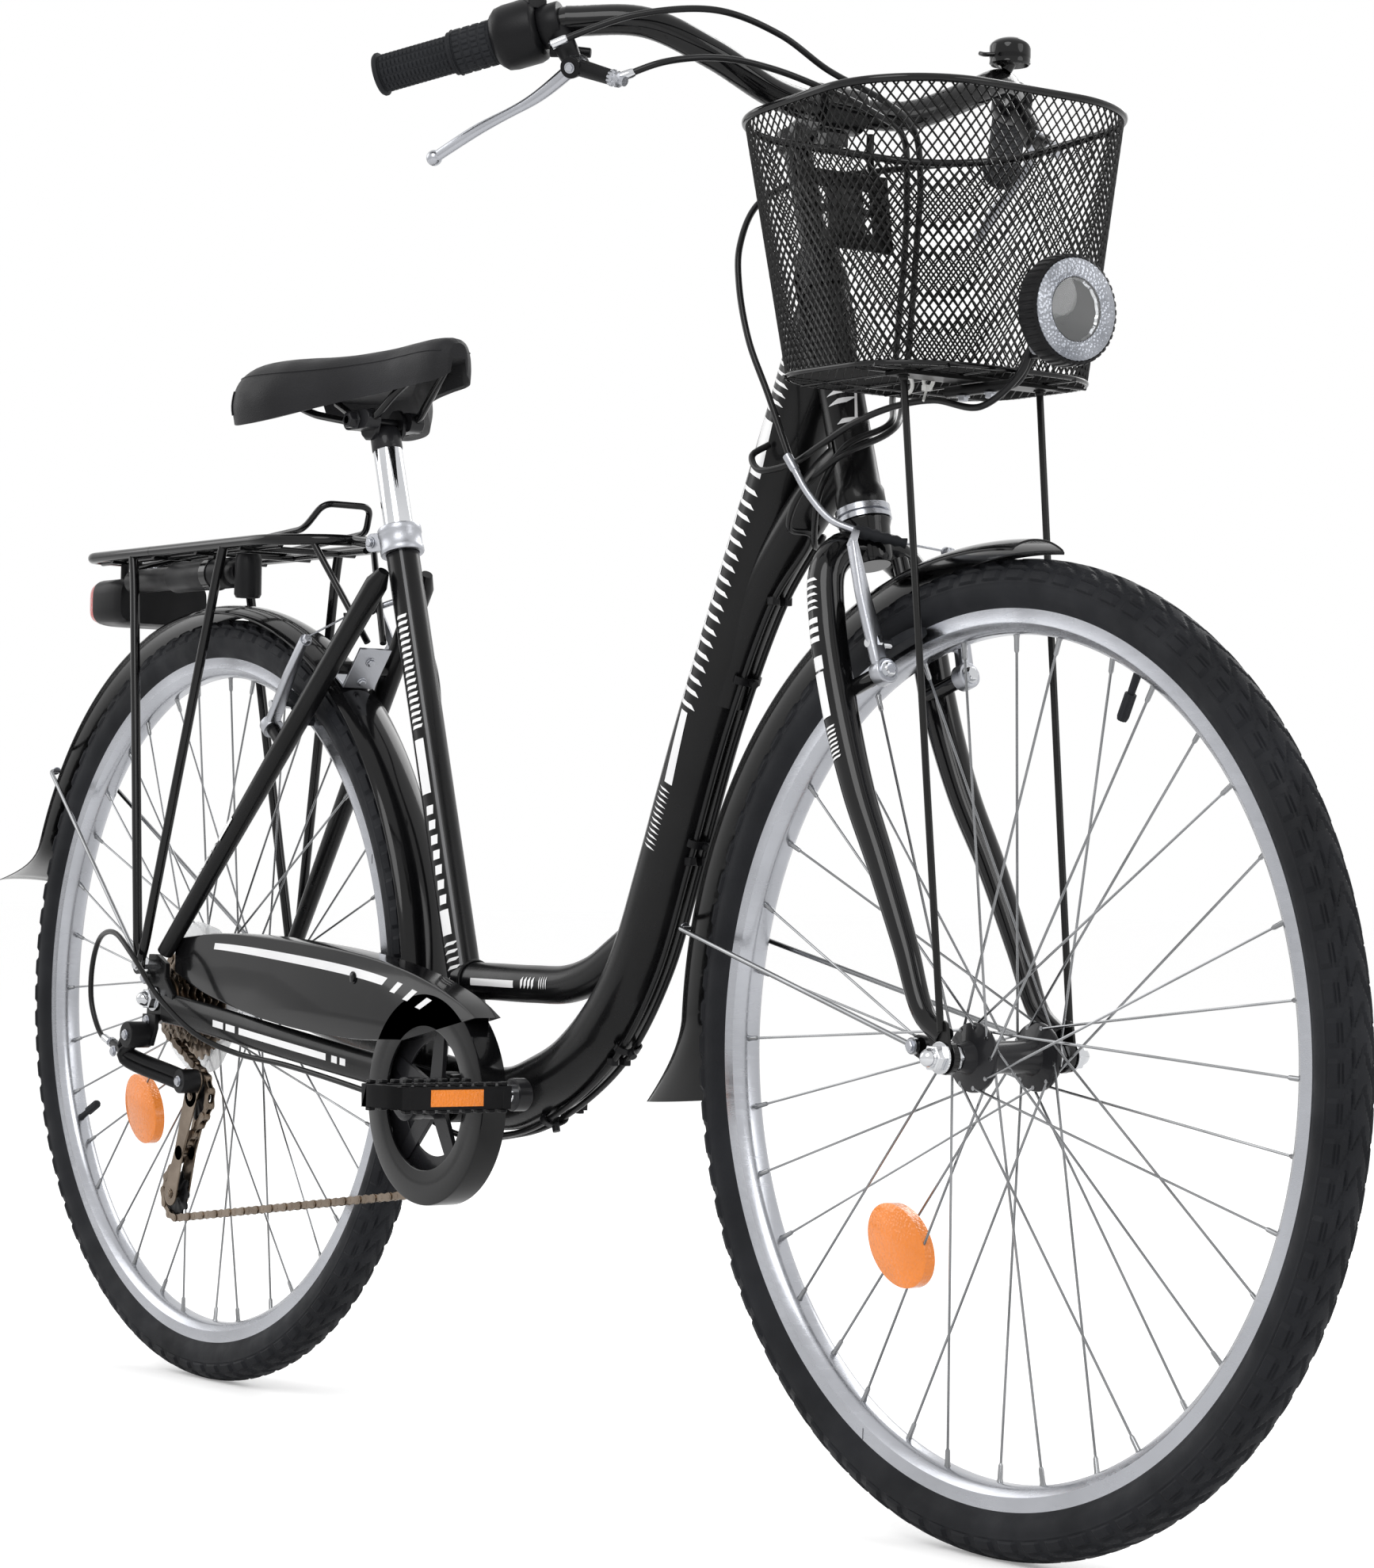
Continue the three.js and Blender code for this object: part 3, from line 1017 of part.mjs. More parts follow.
function channel(axle, from, to, flapFrom, flapRise, steps) {
  const { half, skirt, wall } = mudguard;
  const outerSkin = mudguardSkinShares.map(([y, r]) => new THREE.Vector2(y * half, r * skirt));
  const innerSkin = mudguardSkinShares.map(([y, r], i) => new THREE.Vector2(y * (half - wall),
    i === 0 || i === 4 ? -skirt : r * (skirt - wall) - wall)).reverse();
  return sweep([...outerSkin, ...innerSkin], Array.from({ length: steps + 1 }, (_, i) => {
    const angle = from + (to - from) * i / steps;
    const stray = Math.max(0, (angle - flapFrom) / (to - flapFrom));
    const outward = pointOnWheel(1, angle, 0);
    const origin = axle.clone().addScaledVector(outward, mudguard.radius + flapRise * stray * stray);
    return { origin, sideways: across, upright: outward, wide: 1, high: 1 };
  }));
}

// A wire stay: a bridge over the mudguard and a leg on each side down to the drop-outs
function wireStay(name, axle, angle, eyeY, eyeSteps) {
  const { wireRadius, half, stand } = mudguard;
  const bend = axle.clone().add(pointOnWheel(mudguard.radius + stand, angle, 0));
  const halfSpan = half + wireRadius * 2;
  const eye = (side) => stepFrom(axle, eyeSteps).setY(side * (eyeY + wireRadius * 2));
  const route = [eye(-1), bend.clone().setY(-halfSpan), bend.clone().setY(halfSpan), eye(1)];
  const eyes = bothSides.map((side) => moved(
    sleeve(0, mudguard.eyeRadius, ...ordered(side, eyeY, eyeY + wireRadius * 2), 8), eye(side).setY(0)));
  addPiece(name, joined(wire(route, wireRadius, 5), ...eyes), 'chrome');
}

function makeMudguards() {
  const tabAt = (radius) => frontAxle.clone().add(pointOnWheel(radius, degrees(110), 0));
  addPiece('front_mudguard', joined(
    channel(frontAxle, degrees(86), degrees(187.7), degrees(178), mudguard.frontFlapRise, 14),
    rod(tabAt(mudguard.radius - mudguard.wall), tabAt(mudguard.radius + mudguard.tabRise), mudguard.tabRadius, 8)),
  'glossBlack');
  wireStay('front_mudguard_stay', frontAxle, degrees(167), frontDropoutOuter + runningGap, forkTip.eyeletSteps);
  addPiece('rear_mudguard', cutBy(
    channel(rearAxle, degrees(-12), degrees(165.7), degrees(157), mudguard.rearFlapRise, 22),
    chainStay(-1, runningGap * 2), chainStay(1, runningGap * 2)), 'glossBlack');
  wireStay('rear_mudguard_stay', rearAxle, degrees(144.5), dropoutOuter + runningGap, rearEyeSteps);
}
const rearEyeSteps = [-9, 0, 19];

// The sheet bracket between rear mudguard and seat stays, resting against their bridge
const sheet = { thickness: 2.5, half: 16, low: 15.5, high: 28, footAngle: degrees(53.5) };
function makeStayBridge() {
  const bridge = onSeatStay(bridgeShare, 0);
  const near = seatStayBridgeRadius + runningGap;
  const point = (run, depth) => {
    const spot = bridge.clone().addScaledVector(rear.along, run).addScaledVector(rear.out, -depth);
    return [spot.x, spot.z];
  };
  const onGuard = (rise) => {
    const spot = rearAxle.clone().add(pointOnWheel(mudguard.radius + rise, sheet.footAngle, 0));
    return [spot.x, spot.z];
  };
  addPiece('stay_bridge', plate([
    point(sheet.high, near), point(sheet.high, near + sheet.thickness), point(-sheet.low, near + sheet.thickness),
    onGuard(runningGap * 2), onGuard(runningGap * 2 + sheet.thickness), point(-sheet.low + sheet.thickness, near),
  ], -sheet.half, sheet.half), 'silver');
}

// Brake arms with their pads
const brakeArmShares = [[0, 1, -0.1], [0.06, 1, 0.35], [0.1, 0.8, 0.6], [0.11, 0.62, 0.85], [0.12, 0.5, 1]];
const padPostRadius = 4;
function makeBrakeArms(end) {
  const square = [[-1, -1], [1, -1], [1, 1], [-1, 1]].map(([x, y]) => new THREE.Vector2(x, y));
  for (const side of bothSides) {
    const pivot = brakePivot(end, side);
    const arm = sweep(square, brakeArmShares.map(([y, wide, rise]) => ({
      origin: pivot.clone().addScaledVector(across, side * brakeArmLength * y)
        .addScaledVector(end.along, brakeArmLength * rise),
      sideways: across, upright: end.out, wide: brakeArmWidth / 2 * wide, high: brakeArmThickness / 2 })));
    const radial = pivot.clone().addScaledVector(end.along, padPlace).setY(0).sub(end.axle).normalize();
    const tangent = radial.clone().cross(across);
    const padY = side * (rimWidth / 2 + padGap + padThickness / 2);
    const centre = end.axle.clone().addScaledVector(radial, rimEdgeRadius - rimTrackHeight / 2).setY(padY);
    const pad = sweep(square, bothSides.map((way) => ({
      origin: centre.clone().addScaledVector(tangent, way * padLength / 2),
      sideways: across, upright: radial, wide: padThickness / 2, high: padHeight / 2 })));
    const bolt = rod(pivot.clone().addScaledVector(end.out, -brakeArmThickness / 2),
      pivot.clone().addScaledVector(end.out, brakeArmThickness), brakeArmThickness, 8);
    addPiece(end.name + '_brake_arm_' + (side < 0 ? 'right' : 'left'), joined(arm, pad, bolt,
      rod(centre, centre.clone().setY(side * (brakePivotY + brakeArmThickness)), padPostRadius, 8)), 'chrome');
  }
}

// Seat post, clamp collar, rails and saddle
const post = { radius: 12.7, noseRadius: 11, noseLength: 16, top: 598, insertion: 148, headRise: 6 };
const collar = { wall: 4.5, height: 25, inset: 1, earReach: 44, earInner: 5.6, earOuter: 9, earHalf: 8, earStart: 8 };
const clamp = { halfX: 17, halfY: 27, drop: 9, rise: 11, pinRadius: 7, pinY: 38 };
const rails = { radius: 3.5, steps: [[-127, 28.6, 30.5], [-81, 22, 13], [-20, 22, 2], [20, 22, 2], [49, 18, 23],
  [85, 11, 43]] };
const saddle = { steps: [-151, 0, 66], length: 270, halfWidth: 90 };
const saddleSectionShares = [
  [-0.97, 0], [-1, 0.3], [-0.93, 0.62], [-0.75, 0.84], [-0.45, 0.96], [0, 1], [0.45, 0.96], [0.75, 0.84],
  [0.93, 0.62], [1, 0.3], [0.97, 0], [0.85, 0.04], [0.7, 0.5], [0, 0.55], [-0.7, 0.5], [-0.85, 0.04],
];
// Place along the saddle, then half-width, top and skirt as shares of the half-width
const saddleBodyShares = [
  [0, 0.42, -0.167, -0.511], [0.03, 0.66, -0.1, -0.611], [0.09, 0.88, -0.056, -0.689], [0.17, 0.985, -0.033, -0.733],
  [0.25, 1, -0.033, -0.733], [0.34, 0.95, -0.044, -0.711], [0.43, 0.8, -0.056, -0.656], [0.52, 0.6, -0.056, -0.589],
  [0.6, 0.44, -0.044, -0.533], [0.7, 0.34, -0.033, -0.5], [0.82, 0.29, -0.011, -0.467], [0.92, 0.26, 0, -0.444],
  [0.97, 0.2, -0.011, -0.422], [1, 0.1, -0.067, -0.356],
];
function makeSeat() {
  const noseStart = post.top - post.noseLength;
  addPiece('seat_post', joined(
    rod(seatAxis(seatTubeLength - post.insertion), seatAxis(noseStart), post.radius, 16),
    rod(seatAxis(noseStart - seatTubeWall), seatAxis(post.top), post.noseRadius, 16)), 'chrome');
  const inner = seatTubeRadius + runningGap;
  const top = seatTubeLength - collar.inset;
  const middle = seatAxis(top - collar.height / 2);
  const ears = bothSides.map((side) => plate([
    [middle.x - collar.earReach, middle.z - collar.earHalf], [middle.x - collar.earStart, middle.z - collar.earHalf],
    [middle.x - collar.earStart, middle.z + collar.earHalf], [middle.x - collar.earReach, middle.z + collar.earHalf],
  ], ...ordered(side, collar.earInner, collar.earOuter)));
  addPiece('seat_clamp', cutBy(
    joined(onAxis(sleeve(inner, inner + collar.wall, top - collar.height, top, 16), bracket, upwards), ...ears),
    rod(seatAxis(0), seatAxis(post.top), inner, 16)), 'silver');

  const head = seatAxis(post.top + post.headRise);
  const clampBody = cutBy(joined(
    block(stepFrom(head, [-clamp.halfX, -clamp.halfY, -clamp.drop]),
      stepFrom(head, [clamp.halfX, clamp.halfY, clamp.rise])),
    rod(head.clone().setY(-clamp.pinY), head.clone().setY(clamp.pinY), clamp.pinRadius, 10)),
  rod(seatAxis(0), seatAxis(post.top + runningGap), post.noseRadius + runningGap, 16));
  const wires = bothSides.map((side) => tube(stepsFrom(head, rails.steps, side), rails.radius, 5, 8));
  addPiece('saddle_rails', joined(clampBody, ...wires), 'silver');

  const tail = stepFrom(head, saddle.steps);
  const stations = saddleBodyShares.map(([run, wide, crest, skirt]) => ({
    origin: at(tail.x + saddle.length * run, 0, tail.z + saddle.halfWidth * skirt), sideways: across, upright,
    wide: saddle.halfWidth * wide, high: saddle.halfWidth * (crest - skirt),
  }));
  addPiece('saddle', sweep(saddleSectionShares.map(([x, y]) => new THREE.Vector2(x, y)), stations), 'saddleSkin');
}

// Rack with its legs and struts
const rack = {
  height: 760, radius: 5, thinRadius: 3, half: 60, innerY: 44, rear: -172, front: 165, noseX: 215, noseY: 20,
  noseBack: 26, rearLegX: -78, frontLegX: 92, footSteps: [-9, 80.5, 31], rearAnkleSteps: [-12, 80.5, 43],
  frontAnkleSteps: [-1, 80.5, 43], strutX: 200, strutY: 31, strutFootSteps: [23, 8, 21.5],
};
const hinge = { x: -120, drop: 9, radius: 3 };
const hingeAt = (y) => at(hinge.x, y, rack.height - hinge.drop);
const onRack = (x, y) => at(x, y, rack.height);

function makeRack() {
  const { radius, thinRadius, half } = rack;
  const bridge = onSeatStay(bridgeShare, 0);
  const sides = bothSides.flatMap((side) => [
    rod(onRack(rack.rear, side * rack.innerY), onRack(rack.front, side * rack.innerY), thinRadius, 5),
    wire([onRack(rack.rearLegX, side * half), stepFrom(rearAxle, rack.rearAnkleSteps, side),
      stepFrom(rearAxle, rack.footSteps, side)], radius, 5),
    wire([onRack(rack.frontLegX, side * half), stepFrom(rearAxle, rack.frontAnkleSteps, side),
      stepFrom(rearAxle, rack.footSteps, side)], radius, 5),
    rod(hingeAt(side * half), onRack(hinge.x, side * half), hinge.radius, 5),
    rod(onRack(rack.strutX, side * rack.strutY), stepFrom(bridge, rack.strutFootSteps, side), thinRadius, 5),
  ]);
  const nose = seatAxis(seatTubeLength - collar.inset - collar.height / 2);
  addPiece('rack', joined(
    wire([onRack(rack.noseX, -rack.noseY), onRack(rack.front, -half), onRack(rack.rear, -half),
      onRack(rack.rear, half), onRack(rack.front, half), onRack(rack.noseX, rack.noseY)], radius, 6),
    rod(onRack(rack.noseX, -rack.noseY), onRack(rack.noseX, rack.noseY), radius, 6),
    rod(onRack(rack.front, -half), onRack(rack.front, half), thinRadius, 6),
    rod(onRack(rack.noseX, 0), nose.addScaledVector(forward, -rack.noseBack), radius, 6),
    ...sides, rod(hingeAt(-half), hingeAt(half), hinge.radius, 8)), 'frameBlack');
}

// The sprung clamp of the rack: a wire loop on two sleeves, with a wound spring beside each sleeve
const springArm = {
  y: 32, wireRadius: 3, sleeveHalf: 4, sleeveRadius: 6.5, frontX: 185, frontRise: 10, tipX: 205, tipY: 24, tipRise: 32,
  crossX: 40, crossRise: 0,
};
const spring = { curls: 3, steps: 8, radius: 5.6, wireRadius: 1.1, pitch: 4.2, inset: 3 };

// The least gap a spring leaves to itself, measured between points at least half a curl apart
function leastGap(stations, thickness) {
  let least = Infinity;
  stations.forEach((one, i) => stations.slice(i + spring.steps / 2).forEach((other) => {
    least = Math.min(least, one.origin.distanceTo(other.origin) - thickness);
  }));
  return least;
}

function makeSpringArm() {
  const { y, wireRadius } = springArm;
  const tip = (side) => at(springArm.tipX, side * springArm.tipY, rack.height + springArm.tipRise);
  const knee = (side) => at(springArm.frontX, side * y, rack.height + springArm.frontRise);
  const slope = (springArm.frontRise + hinge.drop) / (springArm.frontX - hinge.x);
  const crossZ = rack.height - hinge.drop + slope * (springArm.crossX - hinge.x);
  const springs = bothSides.map((side) => {
    const stations = Array.from({ length: spring.curls * spring.steps + 1 }, (_, i) => {
      const turn = fullTurn * i / spring.steps;
      const outward = pointOnWheel(1, turn, 0);
      const origin = hingeAt(side * (y - spring.inset - spring.pitch * i / spring.steps))
        .addScaledVector(outward, spring.radius);
      const along = pointOnWheel(spring.radius, turn + halfTurn / 2, -side * spring.pitch / fullTurn);
      return { origin, sideways: outward.clone().cross(along).normalize(), upright: outward,
        wide: spring.wireRadius, high: spring.wireRadius };
    });
    if (side > 0) {
      console.log('rack spring: least gap to itself', leastGap(stations, spring.wireRadius * 2).toFixed(2), 'mm');
    }
    return sweep(circle(1, 5), stations);
  });
  addPiece('rack_spring_arm', cutBy(joined(
    wire([hingeAt(-y), knee(-1), tip(-1), tip(1), knee(1), hingeAt(y)], wireRadius, 6),
    rod(at(springArm.crossX, -y, crossZ), at(springArm.crossX, y, crossZ), wireRadius, 6),
    ...bothSides.map((side) => moved(sleeve(0, springArm.sleeveRadius,
      ...ordered(side, y - springArm.sleeveHalf, y + springArm.sleeveHalf), 10), hingeAt(0))),
    ...springs,
  ), rod(hingeAt(-y * 2), hingeAt(y * 2), hinge.radius + runningGap, 8)), 'glossBlack');
}

// Tail light under the back of the rack, and the pump under its right side
const tailLight = { start: -195, end: -127, half: 50, top: 18, height: 45, postY: 30, postRadius: 4 };
const pump = {
  y: -42, z: 736, start: -110, step: -40, end: 96, radius: 14, tubeRadius: 11, knobX: 106, knobRadius: 12, knobDrop: 24,
  knobRise: 16, clipStart: 40, clipEnd: 52, clipHalf: 5,
};
function makeLuggage() {
  const top = rack.height - tailLight.top;
  addPiece('tail_light', joined(
    block(at(tailLight.start, -tailLight.half, top - tailLight.height), at(tailLight.end, tailLight.half, top)),
    ...bothSides.map((side) => rod(at(rack.rear, side * tailLight.postY, top - tailLight.postRadius),
      at(rack.rear, side * tailLight.postY, rack.height - rack.radius - runningGap), tailLight.postRadius, 8)),
  ), 'red');
  const barrel = turned([[0, pump.start], [pump.radius, pump.start], [pump.radius, pump.step],
    [pump.tubeRadius, pump.step], [pump.tubeRadius, pump.end], [0, pump.end]], 12);
  addPiece('pump', joined(
    onAxis(barrel, at(0, pump.y, pump.z), forward),
    rod(at(pump.knobX, pump.y, pump.z - pump.knobDrop), at(pump.knobX, pump.y, pump.z + pump.knobRise),
      pump.knobRadius, 10),
    block(at(pump.clipStart, pump.y - pump.clipHalf, pump.z),
      at(pump.clipEnd, pump.y + pump.clipHalf, rack.height - rack.thinRadius - runningGap))), 'plasticBlack');
}

// Cables, each whole along its route; their points are places chosen from the photograph
const cableRadius = 2.5;
const cableStand = 2.2;
const cableY = 6;
const mainCurve = new THREE.CatmullRomCurve3(mainRoute.slice(0, -1));
const gussetCurve = new THREE.CatmullRomCurve3(gussetRoute);
const gussetCableShares = [0.36, 0.62];
const mainCableShares = [0.6, 0.46, 0.34, 0.24, 0.12, 0.05];
const smallShare = 0.01;
// A place just off the front and lower side of a bent tube
function beside(curve, share, radius, y) {
  const tangent = curve.getPointAt(share + smallShare).sub(curve.getPointAt(share)).normalize();
  const outside = at(tangent.z, 0, -tangent.x);
  if (outside.z > 0) outside.negate();
  const height = Math.sqrt((radius + cableRadius + cableStand) ** 2 - y * y);
  return curve.getPointAt(share).addScaledVector(outside, height).setY(y);
}
const underTubes = (y) => [
  ...gussetCableShares.map((share) => beside(gussetCurve, share, gussetTubeRadius, y)),
  ...mainCableShares.map((share) => beside(mainCurve, share, mainTubeRadius, y)),
];
const rearBrakeTop = [
  [910, -206, 1040], [928, -180, 1052], [934, -135, 1060], [937, -92, 1058], [938, -46, 1050], [928, 12, 1040],
  [908, 56, 1030], [886, 78, 1000], [878, 84, 955], [884, 74, 890], [914, 46, 832], [949, 14, 806], [945, -22, 788],
  [924, -27, 760], [906, -19, 734], [889, -4, 718],
];
const rearBrakeEnd = [
  [430, 10, 252], [410, 9, 268], [404, 10, 300], [396, 15, 350], [380, 19, 420], [349, 19, 520], [328, 24, 590],
  [298, 38, 640], [264, 42, 690], [244, 38, 708], [228, 20, 702], [219, -8, 692], [213, -44, 672],
];
const gearTop = [
  [868, -236, 1066], [880, -222, 1074], [906, -190, 1088], [934, -140, 1094], [944, -90, 1082], [945, -46, 1062],
  [934, 18, 1048], [912, 64, 1034], [890, 88, 1000], [882, 92, 955], [889, 82, 890], [919, 52, 828], [956, 10, 800],
  [945, -29, 779], [912, -38, 754], [890, -30, 730],
];
const gearEnd = [
  [430, -14, 252], [380, -27, 270], [300, -35, 284], [200, -45, 298], [130, -58, 306], [90, -74, 320], [39, -86, 352],
  [0, -92, 388], [-42, -89, 408], [-84, -82, 401], [-103, -79, 374], [-104, -78, 341], [-86, -77, 313],
  [-69, -77, 307],
];
const frontBrakeRoute = [
  [910, 206, 1040], [908, 160, 1026], [888, 108, 1018], [860, 60, 1010], [838, 12, 1000], [832, -22, 980],
  [842, -46, 944], [850, -52, 915], [868, -55, 870], [890, -52, 827], [915, -48, 775], [930, -44, 753],
  [948, -36, 733], [968, -18, 722], [978, 10, 717], [984, 44, 713],
];
const lampRoute = [
  [1133, -6, 847.3], [1126, -9, 828], [1092, -16, 806], [1043, -20, 814], [1004, -25, 812], [965, -30, 803],
  [935, -35, 790], [905, -40, 777], [872, -46, 774], [858, -42, 786], [860, -28, 795],
];

function makeCables() {
  const cable = (name, points, steps) => addPiece(name, tube(points, cableRadius, 5, steps), 'rubber');
  const origin = at(0, 0, 0);
  cable('rear_brake_cable',
    [...stepsFrom(origin, rearBrakeTop), ...underTubes(cableY), ...stepsFrom(origin, rearBrakeEnd)], 54);
  cable('gear_cable', [...stepsFrom(origin, gearTop), ...underTubes(-cableY), ...stepsFrom(origin, gearEnd)], 58);
  cable('front_brake_cable', stepsFrom(origin, frontBrakeRoute), 21);
  cable('lamp_cable', stepsFrom(origin, lampRoute), 16);
}

makeFrame();
makeStays();
makeStayBridge();
makeWheels();
makeAxle('front_axle', frontAxle, frontLocknut, frontDropoutOuter + lugThickness + runningGap * 2);
makeAxle('rear_axle', rearAxle, rearLocknut, dropoutOuter + runningGap);
makeFreewheel();
makeChain();
makeCranks();
makePedals();
makeDerailleur();
makeGuard();
makeHeadset();
makeFork();
makeBar();
makeGrips();
makeLevers();
makeBell();
makeBasket();
makeHolder();
makeLegs();
makeHeadlight();
makeMudguards();
makeBrakeArms(front);
makeBrakeArms(rear);
makeSeat();
makeRack();
makeSpringArm();
makeLuggage();
makeCables();

const box = new THREE.Box3().setFromObject(bike);
bike.position.set(-(box.min.x + box.max.x) / 2, -(box.min.y + box.max.y) / 2, -box.min.z);

export default bike;
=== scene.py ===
"""Looks of a step-through city bicycle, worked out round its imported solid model.

Lengths in the code are millimetres, counted from the rear axle (x forward, y to the rider's left, z up
from the ground); to_metres turns them into the shared frame.
"""

import math

import bmesh
import bpy
import numpy as np
from mathutils import Matrix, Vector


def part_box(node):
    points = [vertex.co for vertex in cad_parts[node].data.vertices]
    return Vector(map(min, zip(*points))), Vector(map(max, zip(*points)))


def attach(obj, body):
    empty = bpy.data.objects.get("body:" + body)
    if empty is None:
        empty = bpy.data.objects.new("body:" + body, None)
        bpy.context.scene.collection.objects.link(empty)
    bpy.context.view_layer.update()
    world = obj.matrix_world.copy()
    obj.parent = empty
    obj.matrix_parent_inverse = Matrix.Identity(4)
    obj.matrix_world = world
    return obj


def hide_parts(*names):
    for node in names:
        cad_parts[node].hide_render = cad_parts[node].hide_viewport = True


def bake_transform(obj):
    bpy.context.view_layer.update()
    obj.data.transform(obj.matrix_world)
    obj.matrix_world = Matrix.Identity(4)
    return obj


bl_info = {
    "name": "Step-through Bicycle",
    "version": (1, 0, 0),
    "blender": (4, 5, 0),
    "location": "View3D > Sidebar > Bicycle",
    "description": "Builds the frame, wheels, drive, luggage parts and stage of a step-through bicycle",
    "category": "Add Mesh",
}

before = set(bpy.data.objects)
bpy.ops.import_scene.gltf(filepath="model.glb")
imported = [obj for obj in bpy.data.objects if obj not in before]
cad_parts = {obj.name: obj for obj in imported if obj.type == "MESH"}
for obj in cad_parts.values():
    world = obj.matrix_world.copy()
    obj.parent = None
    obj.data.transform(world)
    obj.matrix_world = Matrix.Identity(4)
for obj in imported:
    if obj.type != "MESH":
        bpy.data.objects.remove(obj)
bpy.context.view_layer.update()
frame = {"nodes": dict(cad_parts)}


def middle_of(node):
    """Half-way between the lowest and highest corner of a solid, in metres."""
    low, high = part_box(node)
    return (np.array(low) + np.array(high)) / 2


REAR_AXLE_X = middle_of("rear_tyre")[0] * 1000
TAU = 2 * math.pi
ACROSS = np.array([0.0, 1.0, 0.0])
FORWARD = np.array([1.0, 0.0, 0.0])
UPRIGHT = np.array([0.0, 0.0, 1.0])
ANGLE = math.radians(72.5)
UP = np.array([-math.cos(ANGLE), 0, math.sin(ANGLE)])
AHEAD = np.array([math.sin(ANGLE), 0, math.cos(ANGLE)])
WHEEL = 349.0
REAR = np.array([0, 0, WHEEL])
FRONT = np.array([1113.0, 0, WHEEL])
BRACKET = np.array([445.0, 0, 283.0])
FOOT = FRONT - AHEAD * 47.8
HEAD_LOW, HEAD_HIGH = 429.3, 603.3
MAIN_RADIUS, GUSSET_RADIUS, BRACE_RADIUS, SEAT_RADIUS = 26, 18, 15.5, 14.3
GUARD_RADIUS = 362
BRIDGE_SHARE = 0.76
REAR_BRAKE_ANGLE = 59.1
CHAIN_PITCH = 12.7


def steering(distance):
    """A place on the steering axis, counted up from its foot."""
    return FOOT + UP * distance


def seat_axis(distance):
    """A place on the axis of the seat tube, counted up from the bottom bracket."""
    return BRACKET + UP * distance


def mirrored(points, side):
    """Places of the left side (side 1) taken to the right one (side -1)."""
    return np.asarray(points, float) * [1, side, 1]


def to_metres(points):
    """Millimetres from the rear axle to metres in the shared frame."""
    return (np.asarray(points, float).reshape(-1, 3) + [REAR_AXLE_X, 0, 0]) / 1000


def unit(vector):
    """A vector, or each row of a table of them, brought to length 1."""
    vector = np.asarray(vector, float)
    return vector / np.linalg.norm(vector, axis=-1, keepdims=True)


class Skin:
    """Grids and faces gathered for one mesh."""

    def __init__(self):
        self.points, self.quads, self.rings, self.count = [], [], [], 0

    def grid(self, points, loop_u=False, loop_v=True, caps=True):
        """A sheet over two parameters: rows u, columns v, joined round where looped, its end rings closed."""
        points = np.asarray(points, float)
        rows, columns = points.shape[:2]
        index = np.arange(rows * columns).reshape(rows, columns) + self.count
        if loop_u:
            index = np.vstack([index, index[:1]])
        if loop_v:
            index = np.hstack([index, index[:, :1]])
        quads = np.stack([index[:-1, :-1], index[:-1, 1:], index[1:, 1:], index[1:, :-1]], -1)
        self.points.append(points.reshape(-1, 3))
        self.quads.append(quads.reshape(-1, 4))
        if caps and loop_v and not loop_u:
            self.rings += [index[0, :columns][::-1].tolist(), index[-1, :columns].tolist()]
        self.count += rows * columns
        return self

    def arrays(self, points):
        """Many like grids at once: points run over copies, rows, columns and x y z."""
        for one in points:
            self.grid(one)
        return self


def smooth(points, steps):
    """Centripetal Catmull-Rom through the points, cut again at equal lengths."""
    p = np.asarray(points, float)
    q = np.vstack([2 * p[0] - p[1], p, 2 * p[-1] - p[-2]])
    d = np.sqrt(np.linalg.norm(np.diff(q, axis=0), axis=1))[:, None]
    x0, x1, x2, x3 = q[:-3], q[1:-2], q[2:-1], q[3:]
    d0, d1, d2 = d[:-2], d[1:-1], d[2:]
    a = ((x1 - x0) / d0 - (x2 - x0) / (d0 + d1) + (x2 - x1) / d1) * d1
    b = ((x2 - x1) / d1 - (x3 - x1) / (d1 + d2) + (x3 - x2) / d2) * d1
    t = np.linspace(0, 1, 24, endpoint=False)[None, :, None]
    x1, x2, a, b = x1[:, None], x2[:, None], a[:, None], b[:, None]
    dense = x1 + a * t + (3 * (x2 - x1) - 2 * a - b) * t**2 + (2 * (x1 - x2) + a + b) * t**3
    return evenly(np.vstack([dense.reshape(-1, 3), p[-1:]]), steps)


def evenly(path, steps):
    """The same line with its points at equal lengths."""
    path = np.asarray(path, float)
    run = np.r_[0, np.cumsum(np.linalg.norm(np.diff(path, axis=0), axis=1))]
    at = np.linspace(0, run[-1], steps + 1)
    return np.stack([np.interp(at, run, path[:, i]) for i in range(3)], -1)


def rounded(points, radius, turns=5):
    """Bent wire: each inner corner of the line becomes an arc-like curve of the given reach."""
    p = np.asarray(points, float)
    before = p[1:-1] + unit(p[:-2] - p[1:-1]) * radius
    after = p[1:-1] + unit(p[2:] - p[1:-1]) * radius
    t = np.linspace(0, 1, turns)[None, :, None]
    bends = before[:, None] * (1 - t) ** 2 + 2 * p[1:-1][:, None] * t * (1 - t) + after[:, None] * t**2
    return np.vstack([p[:1], bends.reshape(-1, 3), p[-1:]])


def frames(path, loop=False):
    """Directions along a line: the tangent, and two square to it that never twist."""
    path = np.asarray(path, float)
    if loop:
        tangent = unit(np.roll(path, -1, 0) - np.roll(path, 1, 0))
    else:
        tangent = unit(np.gradient(path, axis=0))
    start = ACROSS if abs(tangent[0][1]) < 0.5 else FORWARD
    high = unit(np.cross(tangent[0], start))
    highs = []
    for t in tangent:
        high = unit(high - t * np.dot(high, t))
        highs.append(high)
    highs = np.array(highs)
    return tangent, np.cross(highs, tangent), highs


